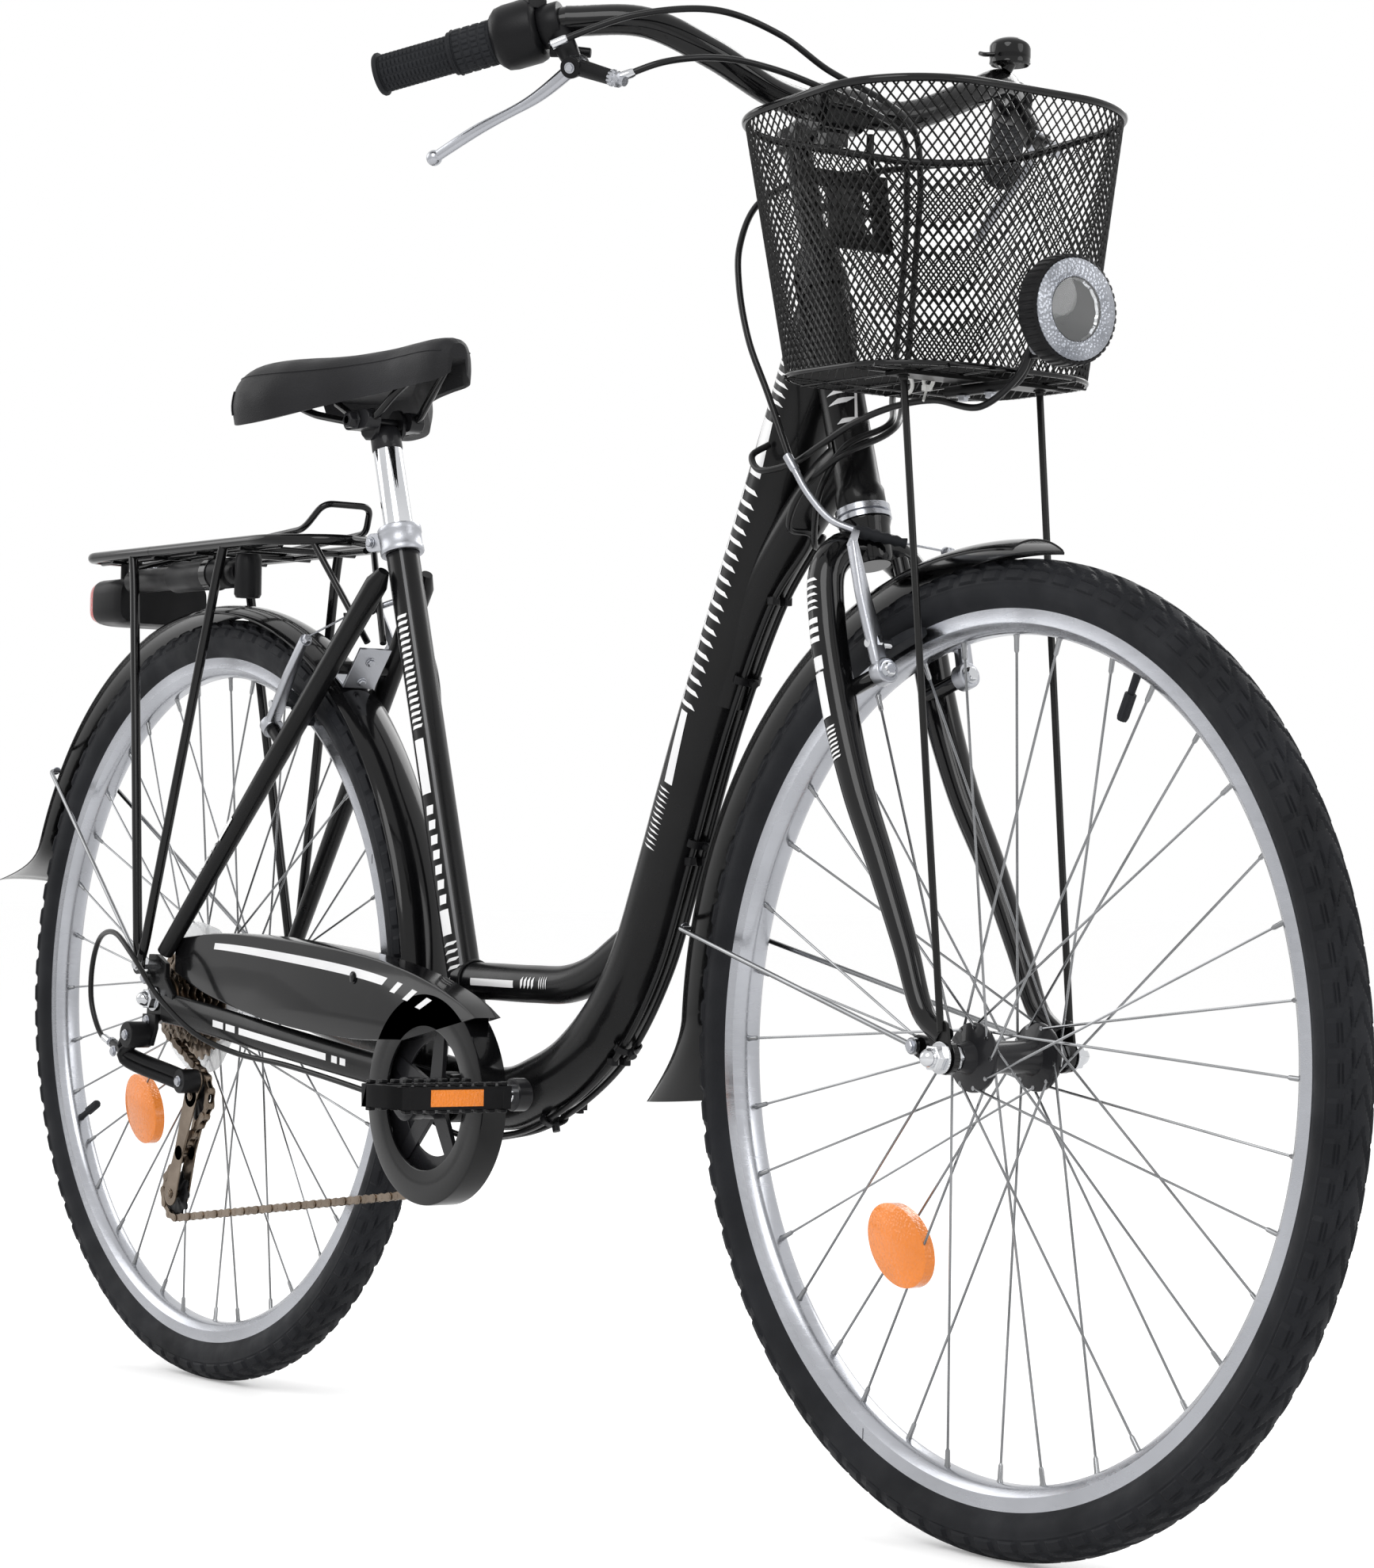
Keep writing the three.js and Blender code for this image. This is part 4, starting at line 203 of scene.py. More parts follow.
def sweep(skin, path, section, loop=False, scale=None):
    """A closed section of (sideways, high) pairs carried along a line."""
    _, sideways, high = frames(path, loop)
    section = np.asarray(section, float)
    scale = np.ones(len(path)) if scale is None else np.asarray(scale, float)
    offset = section[None, :, :] * scale[:, None, None]
    points = path[:, None] + offset[..., :1] * sideways[:, None] + offset[..., 1:] * high[:, None]
    return skin.grid(points, loop_u=loop)


def squared(wave, power):
    """A wave between -1 and 1 pressed towards a square one, which turns a circle into a rounded box."""
    return np.sign(wave) * np.abs(wave) ** power


def circle(radius, sides, squeeze=1.0):
    """The outline of a round section, flattened by squeeze."""
    turn = np.arange(sides) * TAU / sides
    return np.stack([np.cos(turn) * radius * squeeze, np.sin(turn) * radius], -1)


def tube(skin, path, radius, sides=20, squeeze=1.0, loop=False):
    """A round skin along a line; the radius may be one number or one for each point."""
    radius = np.broadcast_to(np.asarray(radius, float), (len(path),))
    return sweep(skin, np.asarray(path, float), circle(1, sides, squeeze), loop, radius)


def rod(skin, start, end, radius, sides=20, end_radius=None):
    """A straight bar that may taper."""
    end_radius = radius if end_radius is None else end_radius
    return tube(skin, np.array([start, end], float), [radius, end_radius], sides)


def basis(axis):
    """The axis at length 1, with two directions across it."""
    axis = unit(axis)
    start = UPRIGHT if abs(axis[2]) < 0.9 else FORWARD
    one = unit(np.cross(start, axis))
    return axis, one, np.cross(axis, one)


def lathe(skin, profile, origin, axis, sides=40, wave=None, hollow=False):
    """A turned skin: profile pairs of radius and place, spun round an axis; wave adds to the radius. A hollow
    one is a ring whose profile closes on itself."""
    axis, one, two = basis(axis)
    profile = np.asarray(profile, float)
    turn = np.arange(sides) * TAU / sides
    radius = np.repeat(profile[:, :1], sides, 1)
    if wave is not None:
        radius = radius + wave(profile[:, 1][:, None], turn[None, :])
    ring = np.cos(turn)[:, None] * one + np.sin(turn)[:, None] * two
    points = np.asarray(origin) + profile[:, 1][:, None, None] * axis + radius[..., None] * ring[None]
    return skin.grid(points, loop_u=hollow)


def puck(skin, origin, axis, radius, low, high, sides=40, wave=None):
    """A plain disc between two places along an axis."""
    return lathe(skin, [[0, low], [radius, low], [radius, high], [0, high]], origin, axis, sides, wave)


def prism(skin, outline, low, high, side=1):
    """A flat plate standing along the bicycle: x z pairs taken from y = low to y = high on one side."""
    low, high = sorted((side * low, side * high))
    outline = np.asarray(outline, float)
    sheet = np.stack([outline[:, 0], np.zeros(len(outline)), outline[:, 1]], -1)
    return skin.grid(np.stack([sheet + ACROSS * low, sheet + ACROSS * high]))


def capsule(start, end, radius, steps=10):
    """Outline of a plate with two round ends, as x z pairs; the ends may differ in radius."""
    lean = math.atan2(end[2] - start[2], end[0] - start[0])
    first, last = (radius, radius) if np.isscalar(radius) else radius
    turn = np.linspace(-TAU / 4, TAU / 4, steps)
    far = np.stack([end[0] + last * np.cos(turn + lean), end[2] + last * np.sin(turn + lean)], -1)
    near = np.stack([start[0] - first * np.cos(turn + lean), start[2] - first * np.sin(turn + lean)], -1)
    return np.vstack([far, near])


def block(skin, low, high):
    """A box from its lowest to its highest corner."""
    low, high = np.asarray(low, float), np.asarray(high, float)
    outline = [[low[0], low[2]], [high[0], low[2]], [high[0], high[2]], [low[0], high[2]]]
    return prism(skin, outline, low[1], high[1])


def cuboid(skin, centre, half):
    """A box from its middle and its three half sizes."""
    return block(skin, centre - np.array(half), centre + np.array(half))


def bolt(skin, place, axis, radius=5.0, height=4.0):
    """A round washer and a domed hexagon head with a small socket rim."""
    puck(skin, place, axis, radius * 1.25, 0, 1, 24)
    lathe(skin, [[0, 1], [radius, 1], [radius, height * 0.8], [radius * 0.8, height], [0, height]],
          place, axis, 6)
    return skin


def patch(skin, path, radius, along, around, lean=0.0, rise=0.3):
    """A thin printed mark on a tube: a stretch of its length by a stretch of its turn, in degrees from the
    rider's right side upwards; lean shears it round the tube along its length."""
    path = evenly(path, 240)
    _, sideways, high = frames(path)
    share = np.linspace(along[0], along[1], 24)
    spot = np.clip((share * 240).astype(int), 0, 240)
    fine = np.stack([np.interp(share, np.linspace(0, 1, 241), path[:, i]) for i in range(3)], -1)
    turn = np.radians(np.linspace(around[0], around[1], 9))[None, :] + np.radians(lean) * (
        (share - along[0]) / max(along[1] - along[0], 1e-6))[:, None]
    right = np.where(sideways[spot][:, 1:2] > 0, -1, 1) * sideways[spot]
    top = np.where(high[spot][:, 2:3] + high[spot][:, :1] * -0.3 < 0, -1, 1) * high[spot]
    points = fine[:, None] + (radius + rise) * (
        np.cos(turn)[..., None] * right[:, None] + np.sin(turn)[..., None] * top[:, None])
    return skin.grid(points, loop_v=False)


MATERIALS, SLOTS = {}, {}


def piece(name, skin, finish_name, body, *nodes, angle=38, bevel=0.0, body_b=None, ends=None):
    """Puts a gathered skin into a mesh whose faces point outwards, and rides it on its body."""
    mesh = bpy.data.meshes.new(name)
    faces = np.vstack(skin.quads).tolist() + skin.rings
    mesh.from_pydata(to_metres(np.vstack(skin.points)).tolist(), [], faces)
    shell = bmesh.new()
    shell.from_mesh(mesh)
    bmesh.ops.remove_doubles(shell, verts=shell.verts, dist=4e-6)
    bmesh.ops.dissolve_degenerate(shell, edges=shell.edges, dist=1e-6)
    bmesh.ops.recalc_face_normals(shell, faces=shell.faces)
    shell.to_mesh(mesh)
    shell.free()
    mesh.shade_smooth()
    mesh.set_sharp_from_angle(angle=math.radians(angle))
    mesh.materials.append(MATERIALS[finish_name])
    made = bpy.data.objects.new(name, mesh)
    bpy.context.scene.collection.objects.link(made)
    if bevel:
        edge = made.modifiers.new("Soft edges", "BEVEL")
        edge.width = bevel / 1000
        edge.segments = 2
        edge.limit_method = "ANGLE"
        edge.angle_limit = math.radians(38)
    if body_b:
        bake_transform(made)
    else:
        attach(made, body)
    if nodes:
        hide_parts(*nodes)
    return made


# Finishes


class Nodes:
    """Short names for the nodes of one material."""

    def __init__(self, name, slot):
        self.material = bpy.data.materials.new(name)
        self.material.use_nodes = True
        self.tree = self.material.node_tree
        self.shader = self.tree.nodes["Principled BSDF"]
        SLOTS[name] = slot
        self.place = self.tree.nodes.new("ShaderNodeTexCoord").outputs["Object"]

    def put(self, kind, **settings):
        """A new node with its settings."""
        node = self.tree.nodes.new(kind)
        for key, value in settings.items():
            setattr(node, key, value)
        return node

    def join(self, source, target):
        """A link from an output to an input."""
        self.tree.links.new(source, target)

    def noise(self, scale, detail=4.0, stretch=(1, 1, 1), centre=(0, 0, 0)):
        """Noise in the object's own space."""
        turn = self.put("ShaderNodeMapping")
        turn.inputs["Scale"].default_value = stretch
        turn.inputs["Location"].default_value = centre
        self.join(self.place, turn.inputs["Vector"])
        node = self.put("ShaderNodeTexNoise")
        node.inputs["Scale"].default_value = scale
        node.inputs["Detail"].default_value = detail
        self.join(turn.outputs["Vector"], node.inputs["Vector"])
        return node.outputs["Fac"]

    def cells(self, scale, feature="F1"):
        """Distances to the middles of small cells."""
        node = self.put("ShaderNodeTexVoronoi", feature=feature)
        node.inputs["Scale"].default_value = scale
        self.join(self.place, node.inputs["Vector"])
        return node.outputs["Distance"]

    def spread(self, source, low, high):
        """The middle of a noise stretched to low and high."""
        node = self.put("ShaderNodeMapRange")
        node.inputs["From Min"].default_value = 0.3
        node.inputs["From Max"].default_value = 0.7
        node.inputs["To Min"].default_value = low
        node.inputs["To Max"].default_value = high
        self.join(source, node.inputs["Value"])
        return node.outputs["Result"]

    def tint(self, source, dark, light):
        """A base colour between two tones."""
        node = self.put("ShaderNodeMix", data_type="RGBA")
        node.inputs["A"].default_value = (*dark, 1)
        node.inputs["B"].default_value = (*light, 1)
        self.join(self.spread(source, 0, 1), node.inputs["Factor"])
        self.join(node.outputs["Result"], self.shader.inputs["Base Color"])

    def bump(self, source, strength, distance=0.001):
        """Relief, on top of any that is there already."""
        node = self.put("ShaderNodeBump")
        node.inputs["Strength"].default_value = strength
        node.inputs["Distance"].default_value = distance
        self.join(source, node.inputs["Height"])
        previous = self.shader.inputs["Normal"].links
        if previous:
            self.join(previous[0].from_socket, node.inputs["Normal"])
        self.join(node.outputs["Normal"], self.shader.inputs["Normal"])

    def rough(self, source, low, high):
        """A roughness that wanders between two values."""
        self.join(self.spread(source, low, high), self.shader.inputs["Roughness"])


def finish(name, slot, dark, light, rough, metal=0.0, coat=0.0, grain=0.0, grain_scale=900.0,
           patches=14.0, stretch=(1, 1, 1), cells=0.0, cell_scale=700.0, clear=0.0, alpha=1.0):
    """A finish from two tones in soft patches, roughness that wanders, and a fine grain in the surface."""
    made = Nodes(name, slot)
    made.shader.inputs["Metallic"].default_value = metal
    made.shader.inputs["Coat Weight"].default_value = coat
    made.shader.inputs["Coat Roughness"].default_value = 0.05
    if not metal and max(light) < 0.1:
        made.shader.inputs["Specular IOR Level"].default_value = 0.16
    if clear:
        made.shader.inputs["Transmission Weight"].default_value = clear
        made.shader.inputs["IOR"].default_value = 1.46
    if alpha < 1:
        made.shader.inputs["Alpha"].default_value = alpha
    made.tint(made.noise(patches, 6), dark, light)
    made.rough(made.noise(patches * 3, 5, stretch), *rough)
    if grain:
        made.bump(made.noise(grain_scale, 3, stretch), grain, 0.0004)
    if cells:
        made.bump(made.cells(cell_scale), cells, 0.0006)
    return made.material


def shades(colour, spread=0.12):
    """A darker and a lighter tint of one colour."""
    colour = np.array(colour[:3])
    return tuple(colour * (1 - spread)), tuple(np.minimum(colour * (1 + spread) + 0.002, 1))


class BICYCLE_PG_sizes(bpy.types.PropertyGroup):
    """Sizes and counts that a user would change."""

    tyre_width: bpy.props.FloatProperty(
        name="Tyre width", description="Width of the tyre across its bulge", default=0.038, unit="LENGTH")
    tread_blocks: bpy.props.IntProperty(
        name="Tread blocks", description="Blocks round each tyre", default=84, min=24, max=160)
    mesh_columns: bpy.props.IntProperty(
        name="Basket columns", description="Diamonds round the basket", default=100, min=40, max=160)
    mesh_wire: bpy.props.FloatProperty(
        name="Basket wire", description="Half the thickness of the mesh wire", default=0.00072, unit="LENGTH")
    chain_pitch: bpy.props.FloatProperty(
        name="Chain pitch", description="Distance from pin to pin", default=CHAIN_PITCH / 1000, unit="LENGTH")
    grip_rows: bpy.props.IntProperty(
        name="Grip rows", description="Rows of blocks along a grip", default=16, min=6, max=30)


def colour(name, description, default):
    """A colour of the panel."""
    return bpy.props.FloatVectorProperty(name=name, description=description, subtype="COLOR", size=3,
                                         default=default)


class BICYCLE_PG_colours(bpy.types.PropertyGroup):
    """Colours of the main finishes."""

    frame: colour("Frame paint", "Satin paint of the frame", (0.0032, 0.0032, 0.0036))
    gloss: colour("Gloss parts", "Paint of fork, bar and mudguards", (0.0028, 0.0028, 0.0032))
    tyre: colour("Tyre rubber", "Colour of the tyres", (0.0085, 0.0092, 0.0115))
    alloy: colour("Alloy", "Colour of rims and brake arms", (0.42, 0.43, 0.46))
    reflector: colour("Reflector", "Colour of wheel and pedal reflectors", (0.8, 0.21, 0.004))


def make_finishes():
    """One procedural material for each real finish."""
    colours = bpy.context.scene.bicycle_colours

    def add(key, *tones, **settings):
        MATERIALS[key] = finish(*tones, **settings)

    dark, light = shades(colours.frame, 0.25)
    add("frame", "satin frame paint", "frame_black", dark, light, (0.24, 0.34), coat=0.12, grain=0.12,
        grain_scale=420)
    dark, light = shades(colours.gloss, 0.25)
    add("gloss", "gloss black paint", "gloss_black", dark, light, (0.07, 0.14), coat=0.3, grain=0.05,
        grain_scale=260)
    add("guard", "gloss guard plastic", "guard_black", dark, light, (0.1, 0.18), coat=0.25, grain=0.05,
        grain_scale=200)
    add("plastic", "moulded black plastic", "plastic_black", (0.003, 0.003, 0.0035), (0.007, 0.007, 0.008),
        (0.3, 0.44), grain=0.3, grain_scale=1500)
    add("rubber", "grip rubber", "rubber", (0.011, 0.012, 0.014), (0.02, 0.021, 0.024), (0.55, 0.75),
        grain=0.35, grain_scale=1800)
    dark, light = shades(colours.tyre, 0.3)
    add("tyre", "tyre rubber", "tyre", dark, light, (0.5, 0.72), grain=0.4, grain_scale=1300)
    dark, light = shades(colours.alloy, 0.08)
    add("alloy", "brushed alloy", "alloy", dark, light, (0.18, 0.3), metal=1, grain=0.12, grain_scale=500,
        stretch=(1, 1, 6))
    add("cast", "tumbled cast alloy", "alloy", dark, light, (0.26, 0.42), metal=1, grain=0.35,
        grain_scale=900)
    add("chrome", "chromed steel", "chrome", (0.56, 0.57, 0.59), (0.68, 0.69, 0.71), (0.05, 0.13), metal=1,
        grain=0.03, grain_scale=300)
    add("spoke", "drawn spoke steel", "chrome", (0.2, 0.205, 0.21), (0.32, 0.325, 0.335), (0.18, 0.3),
        metal=1, grain=0.04, grain_scale=300)
    add("crank", "black crank coat", "alloy_black", (0.008, 0.008, 0.009), (0.016, 0.016, 0.018),
        (0.25, 0.4), coat=0.2, grain=0.15, grain_scale=800)
    add("bronze", "oiled bronze steel", "steel_bronze", (0.15, 0.115, 0.085), (0.26, 0.21, 0.165),
        (0.24, 0.4), metal=1, grain=0.2, grain_scale=700, patches=40)
    add("skin", "saddle cover", "saddle_skin", (0.011, 0.011, 0.012), (0.019, 0.019, 0.021), (0.42, 0.56),
        grain=0.2, grain_scale=1400, cells=0.35, cell_scale=900)
    add("bumper", "saddle bumper", "saddle_skin", (0.006, 0.006, 0.007), (0.01, 0.01, 0.011), (0.16, 0.26),
        grain=0.08, grain_scale=500)
    add("cable", "cable casing", "cable_black", (0.004, 0.004, 0.004), (0.008, 0.008, 0.009), (0.25, 0.38),
        coat=0.2, grain=0.1, grain_scale=800)
    add("white", "white print", "frame_black", (0.75, 0.75, 0.76), (0.86, 0.86, 0.86), (0.3, 0.4), coat=0.4,
        grain=0.04, grain_scale=500)
    add("grey", "grey print", "frame_black", (0.045, 0.046, 0.05), (0.07, 0.071, 0.075), (0.28, 0.38),
        coat=0.4, grain=0.04, grain_scale=500)
    dark, light = shades(colours.reflector, 0.15)
    add("amber", "amber reflector", "red_lens", dark, light, (0.12, 0.22), coat=0.5, cells=0.9,
        cell_scale=420)
    add("red", "red lens", "red_lens", (0.42, 0.012, 0.008), (0.62, 0.025, 0.015), (0.08, 0.16), coat=0.6,
        cells=0.7, cell_scale=380)
    add("prism", "clear reflex ring", "clear_lens", (0.1, 0.11, 0.13), (0.56, 0.58, 0.63), (0.12, 0.24),
        metal=0.7, coat=0.3, cells=1.0, cell_scale=400)
    add("lens", "clear lamp lens", "clear_lens", (0.95, 0.97, 0.98), (1, 1, 1), (0.01, 0.04), clear=0.96,
        grain=0.04, grain_scale=150)
    add("mirror", "lamp mirror", "chrome", (0.85, 0.86, 0.88), (0.95, 0.95, 0.96), (0.02, 0.07), metal=1,
        grain=0.03, grain_scale=200)
    add("milky", "milky plate", "clear_lens", (0.72, 0.73, 0.74), (0.85, 0.86, 0.87), (0.2, 0.3),
        clear=0.35, alpha=0.55, grain=0.05, grain_scale=300)
    add("wire", "coated mesh wire", "frame_black", (0.003, 0.003, 0.003), (0.007, 0.007, 0.007),
        (0.3, 0.45), coat=0.2, grain=0.2, grain_scale=900)
    add("tie", "white strap", "cable_black", (0.7, 0.7, 0.68), (0.82, 0.82, 0.8), (0.35, 0.5), grain=0.1,
        grain_scale=900)


# Tubes of the frame and its printed marks

MAIN_JOIN = steering(HEAD_LOW + (HEAD_HIGH - HEAD_LOW) * 0.86)
MAIN_RUN = MAIN_JOIN - BRACKET


def on_main(shares):
    """Places on the way from the bottom bracket to the head tube, in shares of it."""
    shares = np.asarray(shares, float)
    return np.stack([BRACKET[0] + MAIN_RUN[0] * shares[:, 0], shares[:, 0] * 0,
                     BRACKET[2] + MAIN_RUN[2] * shares[:, 1]], -1)


MAIN_ROUTE = on_main([[0, 0], [0.116, 0.005], [0.208, 0.025], [0.304, 0.055], [0.404, 0.109], [0.469, 0.161],
                      [0.52, 0.22], [0.568, 0.298], [0.672, 0.478], [0.755, 0.611], [0.86, 0.777], [1, 1],
                      [1.04, 1.065]])
GUSSET_ROUTE = on_main([[1.11, 0.86], [1.076, 0.831], [1.015, 0.803], [0.955, 0.767], [0.85, 0.686],
                        [0.781, 0.608], [0.735, 0.535]])
BRACE_START = seat_axis(97 / math.sin(ANGLE))
BRACE_ROUTE = BRACE_START + np.array([[0, 0], [0.2, 0], [0.42, 0], [0.62, 0.03], [0.78, 0.2], [0.9, 0.45],
                                      [1.03, 0.75]]) @ np.array([[250.0, 0, 0], [0, 0, 60.0]])
SEAT_TOP = 508.0
STAY_TOP = seat_axis(SEAT_TOP - 42)
STAY_FOOT = np.array([13.5, 66.0, WHEEL + 45 * 0.95])


def on_stay(share, side):
    """A place on a seat stay, from its foot to its top."""
    top = np.array([STAY_TOP[0], 22, STAY_TOP[2]])
    return mirrored(STAY_FOOT + (top - STAY_FOOT) * share, side)


STAY_RUN = unit([STAY_TOP[0] - STAY_FOOT[0], 0, STAY_TOP[2] - STAY_FOOT[2]])
CHAIN_STAY = np.array([[0.04, 1, 0.88], [0.112, 0.91, 0.82], [0.4, 0.71, 0.56], [0.7, 0.5, 0.3],
                       [0.84, 0.44, 0.2], [0.94, 0.36, 0.1]]) * [BRACKET[0], 66, 66] + [0, 0, BRACKET[2]]
DROPOUT = np.array([[0.75, -0.2], [0.75, 0.1], [0.42, 0.42], [0.42, 0.72], [0.05, 0.9], [-0.28, 0.9],
                    [-0.34, 0.55], [-0.3, 0.1], [-0.34, -0.5], [0.12, -0.5]]) * 45 + [0, WHEEL]


def flush_with_head(skin, path, radius, sides):
    """A tube, with what would stand out in front of the head tube pressed back to its middle plane."""
    tube(skin, path, radius, sides)
    beyond = np.maximum((skin.points[-1] - MAIN_JOIN) @ AHEAD, 0)
    skin.points[-1] = skin.points[-1] - beyond[:, None] * AHEAD
    return skin


def hatch(skin, path, radius, start, step, count, around, width=0.35, lean=12):
    """Short slanted bars set one after another along a tube."""
    for i in range(count):
        patch(skin, path, radius, (start + i * step, start + (i + width) * step), around, lean)
    return skin


def make_frame_tubes(main, brace):
    """Main, gusset, brace, head and seat tubes with the bracket shell and two weld beads."""
    made = flush_with_head(Skin(), main, MAIN_RADIUS, 48)
    flush_with_head(made, smooth(GUSSET_ROUTE, 40), GUSSET_RADIUS, 36)
    tube(made, brace, BRACE_RADIUS, 36)
    lathe(made, [[15.2, HEAD_LOW + 1], [17.6, HEAD_LOW], [18.4, HEAD_LOW + 3], [18.4, HEAD_LOW + 12],
                 [16.8, HEAD_LOW + 16], [16.8, HEAD_HIGH - 16], [18.4, HEAD_HIGH - 12],
                 [18.4, HEAD_HIGH - 3], [17.6, HEAD_HIGH], [15.2, HEAD_HIGH - 1]], FOOT, UP, 44)
    lathe(made, [[13, SEAT_TOP - 4], [14, SEAT_TOP], [SEAT_RADIUS, SEAT_TOP - 1], [SEAT_RADIUS, 4],
                 [0, 0]], BRACKET, UP, 40)
    lathe(made, [[11, -35.5], [18.5, -35.5], [19.6, -34.5], [20, -33], [20, 33], [19.6, 34.5],
                 [18.5, 35.5], [11, 35.5]], BRACKET, ACROSS, 48)
    # Weld beads: thin rolls where tubes meet
    for place, axis, radius in ((BRACE_START + FORWARD * 15, FORWARD, 16.4),
                                (seat_axis(19.5), UP, 15.6)):
        _, one, two = basis(axis)
        turn = np.linspace(0, TAU, 48, endpoint=False)[:, None]
        tube(made, place + radius * (np.cos(turn) * one + np.sin(turn) * two), 1.5, 8, loop=True)
    piece("frame_tubes", made, "frame", "frame", "frame")


def make_chain_stays():
    """Two flattened stays with their drop-outs and the yoke between them."""
    stays = Skin()
    for side in (-1, 1):
        tube(stays, smooth(mirrored(CHAIN_STAY, side), 40), 14, 28, 15 / 28)
        prism(stays, DROPOUT, 63.3, 68.7, side)
    yoke = CHAIN_STAY[4]
    rod(stays, mirrored(yoke, -1), yoke, 5)
    piece("chain_stay_tubes", stays, "frame", "frame", "chain_stays", bevel=0.8)


def make_seat_stays():
    """Two seat stays, their brake pivots and the plate of the rear mudguard."""
    back = Skin()
    out = np.array([-STAY_RUN[2], 0, STAY_RUN[0]])
    for side in (-1, 1):
        ends = np.array([on_stay(0, side), on_stay(0.5, side), on_stay(0.97, side), on_stay(1, side)])
        tube(back, ends, [7.6, 9.3, 10, 5], 28)
        pivot = brake_pivot(REAR, REAR_BRAKE_ANGLE, side)
        rod(back, pivot - out * 33, pivot - out * 4.8, 6)
    rod(back, on_stay(BRIDGE_SHARE, -1), on_stay(BRIDGE_SHARE, 1), 6)
    piece("seat_stay_tubes", back, "frame", "frame", "seat_stays")

    bridge = on_stay(BRIDGE_SHARE, 0)
    near = 6.3

    def point(run, depth):
        spot = bridge + STAY_RUN * run - out * depth
        return [spot[0], spot[2]]

    def on_guard(rise):
        turn = math.radians(53.5)
        spot = REAR + wheel_place(GUARD_RADIUS + rise, turn, 0)
        return [spot[0], spot[2]]

    plate = Skin()
    prism(plate, [point(28, near), point(28, near + 2.5), point(-15.5, near + 2.5), on_guard(0.6),
                  on_guard(3.1), point(-13, near)], -16, 16)
    for run in (-8, 14):
        bolt(plate, bridge + STAY_RUN * run - out * (near + 2.5), -out, 3.6, 3)
    piece("bridge_plate", plate, "cast", "frame", "stay_bridge", bevel=0.5)


def make_headset():
    """Lower and upper headset cups."""
    def ring(skin, profile):
        return lathe(skin, profile, FOOT, UP, 48)

    lower, upper = Skin(), Skin()
    ring(lower, [[14.5, 418.3], [20.5, 418.3], [20.5, 421.5], [18.6, 422.2], [18.6, 423], [20.5, 423.8],
                 [20.5, 428.4], [19.8, 429], [14.5, 429]])
    piece("lower_headset", lower, "alloy", "frame", "headset_lower")
    low = HEAD_HIGH + 0.3
    ring(upper, [[14.5, low], [20, low], [20.5, low + 1], [20.5, low + 7], [18, low + 9], [20.5, low + 11],
                 [20, low + 14], [17.5, low + 15], [17.5, low + 18.6], [18.4, low + 19], [18.4, low + 24],
                 [17, low + 25], [17.6, low + 26], [17.6, low + 29], [16.5, low + 30], [14.5, low + 30]])
    piece("upper_headset", upper, "crank", "frame", "headset_upper")


def make_frame_prints(main, brace):
    """Generic bars and hatches in the places of the printed marks."""
    white, grey, flank = Skin(), Skin(), Skin()
    seat = np.array([seat_axis(20), seat_axis(SEAT_TOP)])
    stay = np.array([on_stay(0, -1), on_stay(1, -1)])
    head = np.array([steering(HEAD_LOW), steering(HEAD_HIGH)])
    # Bars: tube, radius, start, step, count, turn round the tube, width of a bar, lean
    for row in ((main, MAIN_RADIUS, 0.86, 0.0085, 6, (-18, 24)),
                (main, MAIN_RADIUS, 0.435, 0.0052, 12, (-16, 4)),
                (seat, SEAT_RADIUS, 0.62, 0.012, 18, (-6, 34), 0.5, 6),
                (seat, SEAT_RADIUS, 0.17, 0.014, 5, (-10, 34), 0.4, 18),
                (brace, BRACE_RADIUS, 0.40, 0.02, 4, (-14, 12), 0.6),
                (brace, BRACE_RADIUS, 0.50, 0.012, 4, (-14, 12), 0.4, 14),
                (stay, 8.9, 0.18, 0.01, 4, (10, 60), 0.4, 14),
                (stay, 9.2, 0.235, 0.018, 3, (10, 56), 0.6),
                (head, 16.8, 0.45, 0.045, 3, (8, 58), 0.5, 30)):
        hatch(white, *row)
    # Bands: tube, radius, stretch along it, turn round it, lean
    for row in ((main, MAIN_RADIUS, (0.80, 0.852), (-14, 20), 8),
                (main, MAIN_RADIUS, (0.50, 0.57), (-16, 4), 10),
                (seat, SEAT_RADIUS, (0.50, 0.60), (-6, 34)), (seat, SEAT_RADIUS, (0.245, 0.29), (-6, 34)),
                (brace, BRACE_RADIUS, (0.12, 0.36), (-12, 10)), (stay, 9.4, (0.30, 0.36), (0, 50)),
                (head, 16.8, (0.36, 0.38), (24, 76), 16), (head, 16.8, (0.38, 0.54), (72, 80), 16)):
        patch(white, *row)
    # Open marks in a row, each from two bars and the edge that joins them
    for start in 0.575 + np.arange(9) * 0.0245:
        for low, high, turn, lean in ((0, 0.004, (-20, 24), 10), (0, 0.017, (18, 24), 4),
                                      (0.013, 0.017, (-20, 24), 10)):
            patch(white, main, MAIN_RADIUS, (start + low, start + high), turn, lean)
    for start in 0.30 + np.arange(7) * 0.027:
        patch(white, seat, SEAT_RADIUS, (start, start + 0.016), (2, 30), 5)
    for start in (-34, 46):
        patch(grey, seat, SEAT_RADIUS, (0.06, 0.97), (start, start + 10))
    piece("white_prints", white, "white", "frame")
    piece("grey_stripes", grey, "grey", "frame")
    chain = evenly(smooth(mirrored(CHAIN_STAY, -1), 40), 200)
    for low, high in ((0.2, 0.24), (0.25, 0.29), (0.3, 0.62), (0.64, 0.66), (0.67, 0.69)):
        run = chain[int(low * 200):int(high * 200) + 1] + ACROSS * -7.75
        flank.grid(np.stack([run + UPRIGHT * 3, run - UPRIGHT * 3]), loop_v=False)
    piece("stay_prints", flank, "white", "frame")


